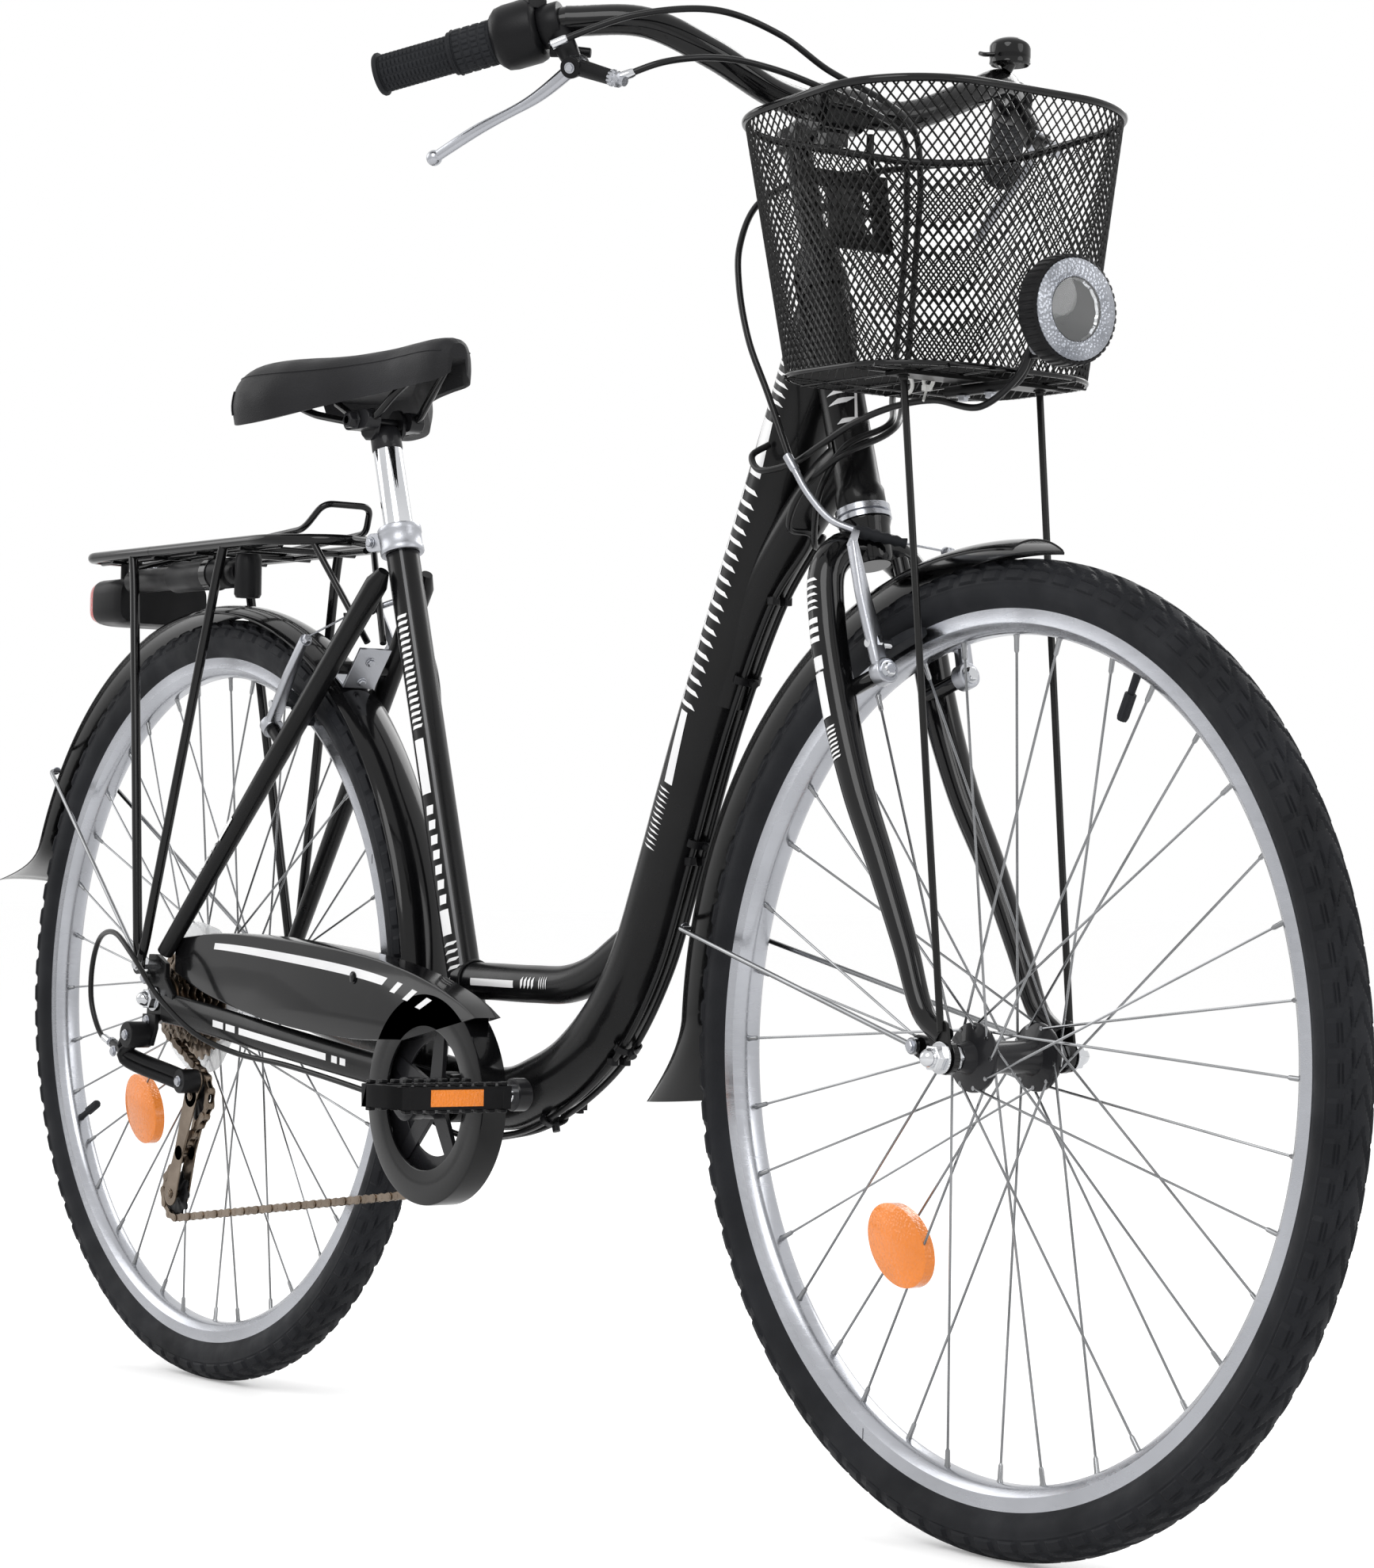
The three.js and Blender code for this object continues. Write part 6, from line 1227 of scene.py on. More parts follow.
def make_hub(name, body, axle, right, left):
    """A turned shell with two flanges; the rear one also carries the milky disc behind its sprockets."""

    def flange(place):
        return [[24, place - 2.2], [24.6, place - 1], [24.6, place + 1], [24, place + 2.2]]

    end = {"front": [[5.6, right - 15], [9, right - 15], [12, right - 6]],
           "rear": [[5.6, right - 20], [16.8, right - 20], [16.8, right - 3]]}[name]
    waist = [[13.5, right + 6], [11.5, right + 14], [11.5, left - 14], [13.5, left - 6]]
    shell = [*end, *flange(right), *waist, *flange(left),
             [12, left + 6], [9.4, left + 14], [9, left + 15], [5.6, left + 15]]
    piece(f"{name}_hub_shell", lathe(Skin(), shell, axle, ACROSS, 48, hollow=True),
          "crank" if name == "front" else "chrome", body)
    if name == "rear":
        disc = [[24.8, right - 3.6], [68, right - 3.6], [70, right - 2.8], [68, right - 2.2],
                [24.8, right - 2.2]]
        milk = lathe(Skin(), disc, axle, ACROSS, 96,
                     lambda place, turn: 1.2 * np.cos(turn * 9) * (place < right), True)
        piece("spoke_protector", milk, "milky", body)


def make_reflector(name, body, axle, spot, radius, y):
    """An oval plate between the spokes with two square clips."""
    turn = np.arange(64)[:, None] * TAU / 64
    along, tall = wheel_place(1, spot + TAU / 4, 0), wheel_place(1, spot, 0)
    middle = axle + wheel_place(radius, spot, 0)
    oval = np.cos(turn) * along * 36 + np.sin(turn) * tall * 26
    depths = ((0.94, y), (1, y - 1), (1, y - 10), (0.94, y - 11))
    plate = Skin().grid(np.array([middle + oval * scale + ACROSS * depth for scale, depth in depths]))
    piece(f"{name}_reflector", plate, "amber", body)
    clip = Skin()
    for way in (-1, 1):
        centre = middle + along * way * 12
        block(clip, centre + [-5, y, -5], centre + [5, y + 1.8, 5])
    piece(f"{name}_reflector_clip", clip, "plastic", body, bevel=0.4)


def make_valve(name, body, axle, turn_at):
    """The valve with its ribbed cap, and the rim's seam across from it."""
    stem, foot = Skin(), axle + wheel_place(SPOKE_BED + 1, turn_at, 0)
    inward = wheel_place(-1, turn_at, 0)
    lathe(stem, [[0, -2], [4.4, -1], [3, 2], [2.6, 20], [0, 20]], foot, inward, 20)
    lathe(stem, [[0, 17], [4, 17], [4, 34], [3.2, 37], [0, 37.5]], foot, inward, 20,
          lambda place, turn: 0.25 * np.cos(turn * 10))
    piece(f"{name}_valve", stem, "rubber", body)
    seam = Skin()
    for way in (-1, 1):
        spot = axle + wheel_place(310, math.pi + turn_at, way * 12.4)
        cuboid(seam, spot, [0.15, 0.15, 4])
    piece(f"{name}_rim_seam", seam, "crank", body)


def make_nuts(name, axle, lock, place, body):
    """Threaded ends of an axle with locknuts, washers and domed nuts."""
    nuts = Skin()
    arc = np.linspace(0, TAU / 4, 8)
    dome = np.stack([7 * np.cos(arc), place + 9 + 8.6 * np.sin(arc)], -1).tolist()
    for line in (-ACROSS, ACROSS):
        puck(nuts, axle, line, 9, lock - 5.6, lock - 0.2, 6)
        rod(nuts, axle + line * 10, axle + line * (place + 6), 4.7, 20)
        puck(nuts, axle, line, 11.4, place, place + 1.8, 32)
        lathe(nuts, [[0, place + 1.8], [9.6, place + 1.8], [9.6, place + 8.6], [8.6, place + 9.4],
                     [0, place + 9.4]], axle, line, 6)
        lathe(nuts, [[0, place + 9], *dome], axle, line, 32)
    piece(f"{name}_nuts", nuts, "chrome", body, f"{name}_axle", bevel=0.3)


class BICYCLE_OT_wheels(bpy.types.Operator):
    """Both wheels with tyre, rim, spokes, hub, valve and reflector, and both axles"""

    bl_idname = "bicycle.wheels"
    bl_label = "Wheels"

    def execute(self, context):
        sizes = context.scene.bicycle_sizes
        for name, axle, right, left, reflector, valve in (
                ("front", FRONT, -29, 29, (math.radians(235), 170, -6), math.radians(64)),
                ("rear", REAR, -17.5, 33, (math.radians(221), 165, -3), math.radians(205))):
            body = f"{name}_wheel"
            make_tyre(name, body, axle, sizes.tread_blocks, sizes.tyre_width * 1000)
            make_rim(name, body, axle)
            make_spokes(name, body, axle, right, left)
            make_hub(name, body, axle, right, left)
            make_reflector(name, body, axle, *reflector)
            make_valve(name, body, axle, valve)
        make_nuts("front", FRONT, 50, 58.6, "steering")
        make_nuts("rear", REAR, 63, 69, "frame")
        return {"FINISHED"}


# Drive: sprockets, chain, cranks, pedals, derailleur and guard

CHAIN_Y = -39.5
GUIDE = REAR + [33, 0, -87]
TENSION = REAR + [-1, 0, -178]
CAGE_PIVOT = REAR + [42, 0, -73]
LOOP = ((BRACKET, 38, 1), (TENSION, 11, 1), (GUIDE, 11, -1), (REAR, 20, 1))


def pitch_radius(teeth):
    """The radius on which the chain's pins run."""
    return teeth * CHAIN_PITCH / TAU


def toothed(teeth, height=3.4, samples=10, start=0.0):
    """Radii round a sprocket: a flat-topped wave with rounded gaps, one for each tooth."""
    turn = np.linspace(0, TAU, teeth * samples, endpoint=False)
    wave = np.cos(turn * teeth)
    return pitch_radius(teeth) - height * 0.5 + height * np.tanh(wave * 1.8) * 0.62, turn + start


def toothed_disc(skin, centre, teeth, y, thickness=2.0, hole=0.0, start=0.0):
    """A sprocket with bevelled teeth, standing across y."""
    radius, turn = toothed(teeth, start=start)
    ring = np.stack([np.cos(turn), np.zeros_like(turn), np.sin(turn)], -1)
    rows = [(hole, -1), (0.86, -1), (1, -0.45), (1, 0.45), (0.86, 1), (hole, 1)]
    inner = pitch_radius(teeth)
    points = np.array([centre * [1, 0, 1] + ACROSS * (y + thickness / 2 * side)
                       + ring * (np.full_like(radius, inner * share) if share == hole else radius * (
                           1 if share == 1 else 0.93))[:, None] for share, side in rows])
    return skin.grid(points, loop_u=True)


def chain_line(count=1600):
    """The closed line of the chain round its four wheels, at equal steps, with its outward direction."""
    wheels = [(np.asarray(c), pitch_radius(t) * s) for c, t, s in LOOP]
    leave = []
    for i, (centre, radius) in enumerate(wheels):
        other, next_radius = wheels[(i + 1) % 4]
        run = other - centre
        leave.append(math.atan2(run[2], run[0])
                     - math.asin((radius - next_radius) / math.hypot(run[0], run[2])))
    points = []
    for i, (centre, radius) in enumerate(wheels):
        enter = leave[(i + 3) % 4]
        turn = -((enter - leave[i]) % TAU) if radius > 0 else (leave[i] - enter) % TAU
        angle = enter + np.linspace(0, turn, 60)
        points.append(np.stack([centre[0] - np.sin(angle) * radius, np.zeros(60),
                                centre[2] + np.cos(angle) * radius], -1))
    line = np.vstack(points + [points[0][:1]])
    ramp = np.clip((line[:, 0] - 66.6) / (BRACKET[0] - 76.8 - 66.6), 0, 1)
    line[:, 1] = CHAIN_Y + (-45 - CHAIN_Y) * ramp
    return evenly(line, count)[:-1]


def make_sprockets():
    """Seven sprockets on the freewheel's shell."""
    cogs = Skin()
    for i, teeth in enumerate((28, 24, 22, 20, 18, 16, 14)):
        toothed_disc(cogs, REAR, teeth, -24.5 - 5 * i, 1.9, 0.3)
    lathe(cogs, [[17.4, -22], [21, -22], [21, -56.5], [19, -57.5], [12, -57.8], [12, -56], [17.4, -56]],
          REAR, ACROSS, 48, hollow=True)
    piece("sprockets", cogs, "bronze", "freewheel", "freewheel", angle=30)


def make_chain(pitch):
    """Inner and outer links in turn, with pins and rollers."""
    line = chain_line()
    length = np.sum(np.linalg.norm(np.diff(np.vstack([line, line[:1]]), axis=0), axis=1))
    count = int(round(length / pitch / 2)) * 2
    pins = line[(np.arange(count) * len(line) / count).astype(int)]
    chain = Skin()
    for i in range(count):
        a, b = pins[i], pins[(i + 1) % count]
        out = np.cross(unit(b - a), ACROSS)
        wide = 2.3 if i % 2 else 3.3
        run = unit(b - a)
        turn = np.linspace(-TAU / 4, TAU / 4, 5)[:, None]
        far = b + 3.7 * (np.cos(turn) * run + np.sin(turn) * out)
        waist_b = (a + b) / 2 + out * 2.5
        near = a - 3.7 * (np.cos(turn) * run + np.sin(turn) * out)
        waist_a = (a + b) / 2 - out * 2.5
        shape = np.vstack([far, waist_b, near, waist_a])
        for side in (-1, 1):
            low = side * wide - 0.45
            chain.grid(np.stack([shape + ACROSS * low, shape + ACROSS * (low + 0.9)]))
        rod(chain, a - ACROSS * 3.9, a + ACROSS * 3.9, 1.8, 8)
        rod(chain, a - ACROSS * 2, a + ACROSS * 2, 3.4, 10)
    piece("chain_links", chain, "bronze", "frame", "chain", angle=30)


def make_chainring():
    """Toothed ring on five arms."""
    ring = Skin()
    toothed_disc(ring, BRACKET, 38, -45, 2, 0.62)
    for i in range(5):
        turn = TAU * i / 5 + 0.2
        prism(ring, capsule(BRACKET + wheel_place(16, turn, 0), BRACKET + wheel_place(62, turn, 0), (9, 7)),
              -47.5, -43.5)
    piece("chainring", ring, "crank", "crank", "crankset", bevel=0.3)


def make_pedal(name, side, end):
    """A square cage with a barrel, ribs, studs and a reflector on each long side."""
    pedal, glow = Skin(), Skin()
    low, high = sorted((side * 103.0, side * 203.0))
    for x0, x1, y0, y1 in ((-30, -22, low, high), (22, 30, low, high), (-30, 30, low, low + 8),
                           (-30, 30, high - 8, high)):
        block(pedal, end + [x0, y0, -9], end + [x1, y1, 9])
    rod(pedal, end + ACROSS * (low + 4), end + ACROSS * (high - 4), 9, 28)
    for y in np.linspace(low + 20, high - 20, 4):
        for sign in (-1, 1):
            cuboid(pedal, end + [sign * 15, y, 0], [8, 2, 7])
    for sign in (-1, 1):
        for y in np.linspace(low + 6, high - 6, 9):
            for up in (-1, 1):
                cuboid(pedal, end + [sign * 26, y, up * 10.5], [3.4, 2.6, 1.5])
        cuboid(glow, end + [sign * 29.9, (low + high) / 2, 0], [0.5, (high - low) / 2 - 26, 6.5])
    piece(f"pedal_body_{name}", pedal, "plastic", f"pedal_{name}", f"pedal_{name}", bevel=0.7)
    piece(f"pedal_reflectors_{name}", glow, "amber", f"pedal_{name}", bevel=0.3)


def make_cranks():
    """Both crank arms with their pedals; the right one also carries the spindle."""
    tilt = math.radians(4.4)
    for side, name, start, nodes in ((-1, "right", 68.5, ()), (1, "left", 58.5, ("left_crank",))):
        arm, axle, out = Skin(), Skin(), ACROSS * side
        run = np.array([math.cos(tilt), 0, math.sin(tilt)]) * side
        end = BRACKET - run * 170
        path = [BRACKET + out * start, BRACKET + out * (start + 1) - run * 30, end + out * 76.5 + run * 24,
                end + out * 77.5]
        tube(arm, smooth(path, 30), np.linspace(13, 10.5, 31), 32, 0.52)
        lathe(arm, [[0, start - 7], [16.5, start - 7], [18, start - 5], [18, start + 8], [15, start + 11],
                    [9, start + 11.5], [9, start + 8], [0, start + 8]], BRACKET, out, 44)
        lathe(arm, [[0, 71], [12, 71], [13, 72], [13, 83], [12, 84], [0, 84]], end, out, 36)
        if name == "right":
            rod(arm, BRACKET - ACROSS * 40, BRACKET - ACROSS * 62, 17, 36)
            rod(arm, BRACKET - ACROSS * 46, BRACKET + ACROSS * 50, 8.4, 24)
        piece(f"crank_arm_{name}", arm, "crank", "crank", *nodes)
        lathe(axle, [[0, 84], [8, 84], [8, 88], [6, 90], [6, 102.4], [5, 103], [5, 188], [0, 188]],
              end, out, 20)
        piece(f"pedal_axle_{name}", axle, "chrome", "crank")
        make_pedal(name, side, end)


def make_derailleur():
    """Hanger, links and bolts of the rear derailleur."""
    mech, silver = Skin(), Skin()
    knuckle = REAR + [-8, 0, -33]
    bend = REAR + [-30, -84, -49]
    prism(mech, np.array([[-14, -14], [10, -14], [10, -27], [2, -43], [-18, -43]]) + [0, WHEEL], -73, -69)
    lathe(mech, [[0, 69.3], [11.4, 69.3], [12, 70], [12, 92], [11.4, 93], [0, 93]], knuckle, -ACROSS, 32)
    for lift in (-4.5, 4.5):
        tube(mech, smooth([knuckle + [0, -81, lift], bend + [0, 0, lift], CAGE_PIVOT + [-4, -58, lift]], 20),
             4.6, 20, 1.2)
    lathe(mech, [[0, 47], [10.4, 47], [11, 48], [11, 64.4], [10.4, 65], [0, 65]], CAGE_PIVOT, -ACROSS, 32)
    rod(mech, bend, REAR + [-64, -76, -43], 4, 16)
    piece("derailleur_links", mech, "plastic", "frame", "derailleur_body", bevel=0.5)
    for place, axis in ((knuckle - ACROSS * 93, -ACROSS), (CAGE_PIVOT - ACROSS * 65, -ACROSS),
                        (bend - ACROSS * 9, -ACROSS), (REAR + [-6, -72.5, -20], -ACROSS)):
        bolt(silver, place, axis, 4, 3)
    lathe(silver, [[0, 0], [4.4, 0], [4.4, 10], [2.8, 12], [0, 12]], REAR + [-61, -76.8, -43.4],
          [-1, 0.24, 0.12], 20, lambda place, turn: 0.3 * np.cos(turn * 10))
    piece("derailleur_bolts", silver, "cast", "frame")


def make_cage():
    """Cage plates and the two jockey wheels."""
    plates = Skin()
    for y in (-46.7, -33.8):
        prism(plates, capsule(TENSION, TENSION + (GUIDE - TENSION) * 0.42, (11, 7)), y - 0.75, y + 0.75)
        prism(plates, capsule(TENSION + (GUIDE - TENSION) * 0.42, GUIDE, (7, 11)), y - 0.75, y + 0.75)
    prism(plates, capsule(GUIDE, CAGE_PIVOT, 10.5), -47.45, -45.95)
    for centre in (GUIDE, TENSION):
        rod(plates, centre - ACROSS * 47.6, centre - ACROSS * 32.9, 3.4, 20)
        bolt(plates, centre - ACROSS * 47.4, -ACROSS, 3.6, 2)
    piece("cage_plates", plates, "bronze", "cage", "derailleur_cage", bevel=0.3)
    wheels = Skin()
    for centre in (GUIDE, TENSION):
        toothed_disc(wheels, centre, 11, CHAIN_Y, 2.2, 0.2)
    piece("jockey_wheels", wheels, "plastic", "cage")


# Upper and lower edge of the chain guard, in shares of its length and height
GUARD_TOP = ((0.04, 1), (0.225, 1.05), (0.56, 1.01), (0.83, 0.92), (0.99, 0.81), (1.12, 0.66), (1.17, 0.57))
GUARD_LOW = ((0.04, 0.74), (0.14, 0.62), (0.41, 0.44), (0.74, 0.36), (0.92, 0.38))


def make_chain_guard():
    """Long guard over the chain with a ring round the bracket."""
    guard, trim = Skin(), Skin()
    top, low = (evenly(smooth(np.insert(np.array(edge) * [BRACKET[0], 122], 1, 0, 1), 60), 60)[:, [0, 2]]
                + [0, BRACKET[2]] for edge in (GUARD_TOP, GUARD_LOW))
    down = unit(low - top)
    guard.grid(np.array([np.insert(np.vstack([top + down * shrink, (low - down * shrink)[::-1]]), 1, y, 1)
                         for y, shrink in ((-33.2, 0), (-56, 0), (-57.6, 0.8), (-58, 2.4))]))
    lathe(guard, [[59, 57.6], [60, 58], [86, 58], [87.6, 57.4], [88, 56], [88, 34], [86.4, 34], [86.4, 55.6],
                  [59, 55.6]], BRACKET, -ACROSS, 96, hollow=True)
    for x, z in ((36, 60), (330, 96)):
        bolt(guard, [x, -58, BRACKET[2] + z], -ACROSS, 4.2, 2.6)
    piece("chain_guard_shell", guard, "guard", "frame", "chain_guard", bevel=0.6)
    mid = (top + low) / 2
    for first, last, foot, head in ((9, 46, 0.24, 0.34), (47, 49, 0.2, 0.34), (50, 52, 0.17, 0.33),
                                    (53, 55, 0.14, 0.32)):
        bar = np.array([np.insert(mid[first:last] + (top - low)[first:last] * share, 1, -58.25, 1)
                        for share in (foot, head)])
        trim.grid(bar, loop_v=False)
    piece("chain_guard_print", trim, "white", "frame")


class BICYCLE_OT_drive(bpy.types.Operator):
    """Freewheel, chain, chainring, cranks, pedals, derailleur and chain guard"""

    bl_idname = "bicycle.drive"
    bl_label = "Drive"

    def execute(self, context):
        make_sprockets()
        make_chain(context.scene.bicycle_sizes.chain_pitch * 1000)
        make_chainring()
        make_cranks()
        make_derailleur()
        make_cage()
        make_chain_guard()
        return {"FINISHED"}


# Mudguards and their wire stays


def channel(skin, axle, first, last, flap_from, rise, step=150):
    """A mudguard as a bent channel: its round section widens and lifts along the flap."""
    turn = np.radians(np.linspace(first, last, step))[:, None]
    stray = np.clip((np.degrees(turn) - flap_from) / (last - flap_from), 0, 1)
    across = np.linspace(-1, 1, 25)[None, :]
    drop = 7 * np.abs(across) ** 2.2 + 1.1 * (np.abs(across) > 0.93)
    rows = []
    for wall in (0.8, -0.8):
        radius = GUARD_RADIUS + wall - drop + rise * stray**2
        y = across * (24 - (0.8 - wall) * 0.2) * (1 + 0.16 * stray)
        rows.append(np.stack([radius * np.cos(turn), y + 0 * turn, radius * np.sin(turn)], -1))
    points = np.concatenate([rows[0], rows[1][:, ::-1]], 1) + axle
    return skin.grid(points)


def make_guard(name, axle, first, last, flap, rise, body, eye_at, bend_at):
    """One mudguard over the turns first to last, its bent wire stay and the stay's screws."""
    shell, wire, screw = Skin(), Skin(), Skin()
    channel(shell, axle, first, last, flap, rise)
    if name == "front":
        spot = math.radians(110)
        rod(shell, axle + wheel_place(360.4, spot, 0), axle + wheel_place(378, spot, 0), 6, 24)
    piece(f"{name}_guard_shell", shell, "guard", body, f"{name}_mudguard", bevel=0.2)
    turn = math.radians(bend_at)
    eyes = [axle + mirrored(eye_at, side) for side in (-1, 1)]
    crown = [axle + wheel_place(364.6, turn, side * 28) for side in (-1, 1)]
    path = rounded([eyes[0], crown[0], crown[1], eyes[1]], 5, 8)
    tube(wire, path, 2, 14)
    for side, eye in zip((-1, 1), eyes):
        puck(wire, eye, ACROSS, 6, -1.6, 1.6, 24)
        bolt(screw, eye + ACROSS * side * 1.4, ACROSS * side, 4, 3.4)
        clip = axle + wheel_place(364.2, turn, side * 22)
        bolt(screw, clip, wheel_place(1, turn, 0), 3.4, 2.6)
    low, high = (axle + wheel_place(364, turn, y) for y in (-26, -14))
    block(screw, low + [-3, 0, -1], high + [3, 0, 1])
    piece(f"{name}_stay_wire", wire, "spoke", body, f"{name}_mudguard_stay")
    piece(f"{name}_stay_screws", screw, "cast", body)


class BICYCLE_OT_guards(bpy.types.Operator):
    """Both mudguards with their flaps, wire stays and screws"""

    bl_idname = "bicycle.guards"
    bl_label = "Mudguards"

    def execute(self, context):
        make_guard("front", FRONT, 86, 187.7, 178, 42, "steering", [-29, 60, 7], 167)
        make_guard("rear", REAR, -12, 165.7, 157, 64, "frame", [-9, 73, 19], 144.5)
        return {"FINISHED"}


# Rim brakes

# Shares of an arm's height, its half width there and its drift outwards
ARM_TAPER = ((0, 0.1, 0.35, 0.6, 0.85, 1), (1, 1, 0.95, 0.8, 0.62, 0.45), (0, 0.03, 0.06, 0.1, 0.11, 0.12))


def make_brake_arm(end, axle, angle, along, out, name, side):
    """A tapering arm of rounded box section with its pad, pad bolt and pivot bolt."""
    pivot = brake_pivot(axle, angle, side)
    arm, bits, pad = Skin(), Skin(), Skin()
    turn = np.linspace(0, TAU, 20, endpoint=False)[:, None]
    ring = [squared(wave, 0.6) for wave in (np.cos(turn), np.sin(turn))]
    rows = []
    for share in np.linspace(0, 1, 30):
        half, drift = (np.interp(share, ARM_TAPER[0], row) for row in ARM_TAPER[1:])
        centre = pivot + along * (share * 99) + ACROSS * side * drift * 60
        rows.append(centre + out * 4.4 * ring[1] + ACROSS * half * 6.48 * ring[0])
    arm.grid(np.array(rows))
    lathe(arm, [[0, -4.5], [9.4, -4.5], [9.8, -3.8], [9.8, 5], [9, 6], [0, 6]], pivot, out, 36)
    body = f"arm_{end}_{name}"
    piece(f"{end}_arm_{name}", arm, "cast", body, f"{end}_brake_arm_{name}", bevel=0.4)
    turn_at = math.radians(angle)
    spot, radial = axle + wheel_place(310.5, turn_at, 0), wheel_place(1, turn_at, 0)
    along_rim = wheel_place(1, turn_at + TAU / 4, 0)
    section = np.array([[15.6, -5.2], [15.6, 5.2], [21.2, 5.4], [25.8, 3.4], [25.8, -3.4], [21.2, -5.4]])
    pad.grid(np.array([spot + along_rim * t * 30 + ACROSS * side * section[:, :1]
                       + radial * (section[:, 1:] * (1 - 0.5 * abs(t) ** 6) - t * t * 1.3)
                       for t in np.linspace(-1, 1, 16)]))
    piece(f"{end}_pad_{name}", pad, "rubber", body, bevel=0.4)
    rod(bits, spot + ACROSS * side * 24, spot + ACROSS * side * 47, 3.4, 20)
    puck(bits, spot, ACROSS * side, 7, 38, 41, 6)
    bolt(bits, pivot + out * 6, out, 5.4, 4)
    piece(f"{end}_arm_bits_{name}", bits, "chrome", body)


class BICYCLE_OT_brakes(bpy.types.Operator):
    """Four long rim brake arms with their pads, pins and bolts"""

    bl_idname = "bicycle.brakes"
    bl_label = "Brakes"

    def execute(self, context):
        stay_out = np.array([-STAY_RUN[2], 0, STAY_RUN[0]])
        for end, axle, angle, along, out in (("front", FRONT, 110, UP, AHEAD),
                                             ("rear", REAR, REAR_BRAKE_ANGLE, STAY_RUN, stay_out)):
            for name, side in (("right", -1), ("left", 1)):
                make_brake_arm(end, axle, angle, along, out, name, side)
        return {"FINISHED"}


# Saddle and its post


SADDLE_HALF, SADDLE_LENGTH = 90, 270
SADDLE_HEAD = seat_axis(604)
SADDLE_TAIL = SADDLE_HEAD + [-151, 0, 66]
SADDLE_BODY = np.array([
    [0, 0.42, -0.167, -0.511], [0.03, 0.66, -0.1, -0.611], [0.09, 0.88, -0.056, -0.689],
    [0.17, 0.985, -0.033, -0.733], [0.25, 1, -0.033, -0.733], [0.34, 0.95, -0.044, -0.711],
    [0.43, 0.8, -0.056, -0.656], [0.52, 0.6, -0.056, -0.589], [0.6, 0.44, -0.044, -0.533],
    [0.7, 0.34, -0.033, -0.5], [0.82, 0.29, -0.011, -0.467], [0.92, 0.26, 0, -0.444],
    [0.97, 0.2, -0.011, -0.422], [1, 0.1, -0.067, -0.356]])
SADDLE_EDGE = np.array([[-0.97, 0], [-1, 0.3], [-0.93, 0.62], [-0.75, 0.84], [-0.45, 0.96], [0, 1]])


def saddle_row(run):
    """One cross ring of the saddle: its half width, crest and skirt come from smoothed stations, its
    outline is the rounded edge curve; a shallow dip runs down the middle of the back."""
    stations = smooth(np.insert(SADDLE_BODY[:, 1:], 0, SADDLE_BODY[:, 0] * 3, 1)[:, :3], 400)
    lows = smooth(np.stack([SADDLE_BODY[:, 0] * 3, SADDLE_BODY[:, 3], 0 * SADDLE_BODY[:, 0]], -1), 400)
    wide = np.interp(run * 3, stations[:, 0], stations[:, 1])
    crest = np.interp(run * 3, stations[:, 0], stations[:, 2])
    skirt = np.interp(run * 3, lows[:, 0], lows[:, 1])
    half = smooth(np.insert(SADDLE_EDGE, 1, 0, 1), 24)[:, [0, 2]]
    upper = np.vstack([half, (half * [-1, 1])[::-1][1:]])
    x = upper[:, 0] * wide * SADDLE_HALF
    dip = 4.5 * np.exp(-(upper[:, 0] / 0.22) ** 2) * np.clip(1 - abs(run - 0.42) / 0.4, 0, 1)
    z = (skirt + (crest - skirt) * upper[:, 1]) * SADDLE_HALF - dip
    low = np.array([[0.85, 0.04], [0.7, 0.5], [0, 0.55], [-0.7, 0.5], [-0.85, 0.04]])
    under = low[:, 0] * wide * SADDLE_HALF, (skirt + (crest - skirt) * low[:, 1]) * SADDLE_HALF
    return np.stack([np.full(len(x) + 5, run * SADDLE_LENGTH), np.r_[x, under[0]], np.r_[z, under[1]]],
                    -1) + SADDLE_TAIL


def make_saddle():
    """Padded cover with its seams and the glossy bumper behind."""
    cover, seam, bumper = Skin(), Skin(), Skin()
    runs = np.r_[np.linspace(0, 0.06, 12), np.linspace(0.07, 0.93, 90), np.linspace(0.94, 1, 12)]
    rows = np.array([saddle_row(run) for run in runs])
    saddle = piece("saddle_cover", cover.grid(rows), "skin", "seat", "saddle", angle=50)
    for index in (10, 38):
        tube(seam, evenly(rows[4:-4, index], 120), 0.7, 8)
    piece("saddle_seams", seam, "skin", "seat")
    back = np.array([saddle_row(run)[2:8] for run in np.linspace(0.003, 0.13, 16)])
    for side in (1, -1):
        strip = back * [1, side, 1]
        outer = strip + unit(strip - (SADDLE_TAIL + [60, 0, -30])) * 1.3
        bumper.grid(np.concatenate([outer, strip[:, ::-1]], 1))
    piece("saddle_bumper", bumper, "bumper", "seat", angle=60)


def make_rails():
    """Two bent wires under the saddle."""
    rails = Skin()
    for side in (-1, 1):
        line = [[-127, 28.6, 30.5], [-81, 22, 13], [-20, 22, 2], [20, 22, 2], [49, 18, 23], [85, 11, 43]]
        tube(rails, rounded(SADDLE_HEAD + mirrored(line, side), 12, 8), 3.5, 18)
    piece("saddle_rail_wires", rails, "gloss", "seat", "saddle_rails")


def make_post():
    """The chromed seat post."""
    post = Skin()
    lathe(post, [[0, 360], [12.2, 360], [12.7, 361], [12.7, 581], [12.4, 582], [11, 584], [11, 598],
                 [0, 598]], BRACKET, UP, 48)
    piece("post_tube", post, "chrome", "seat", "seat_post")


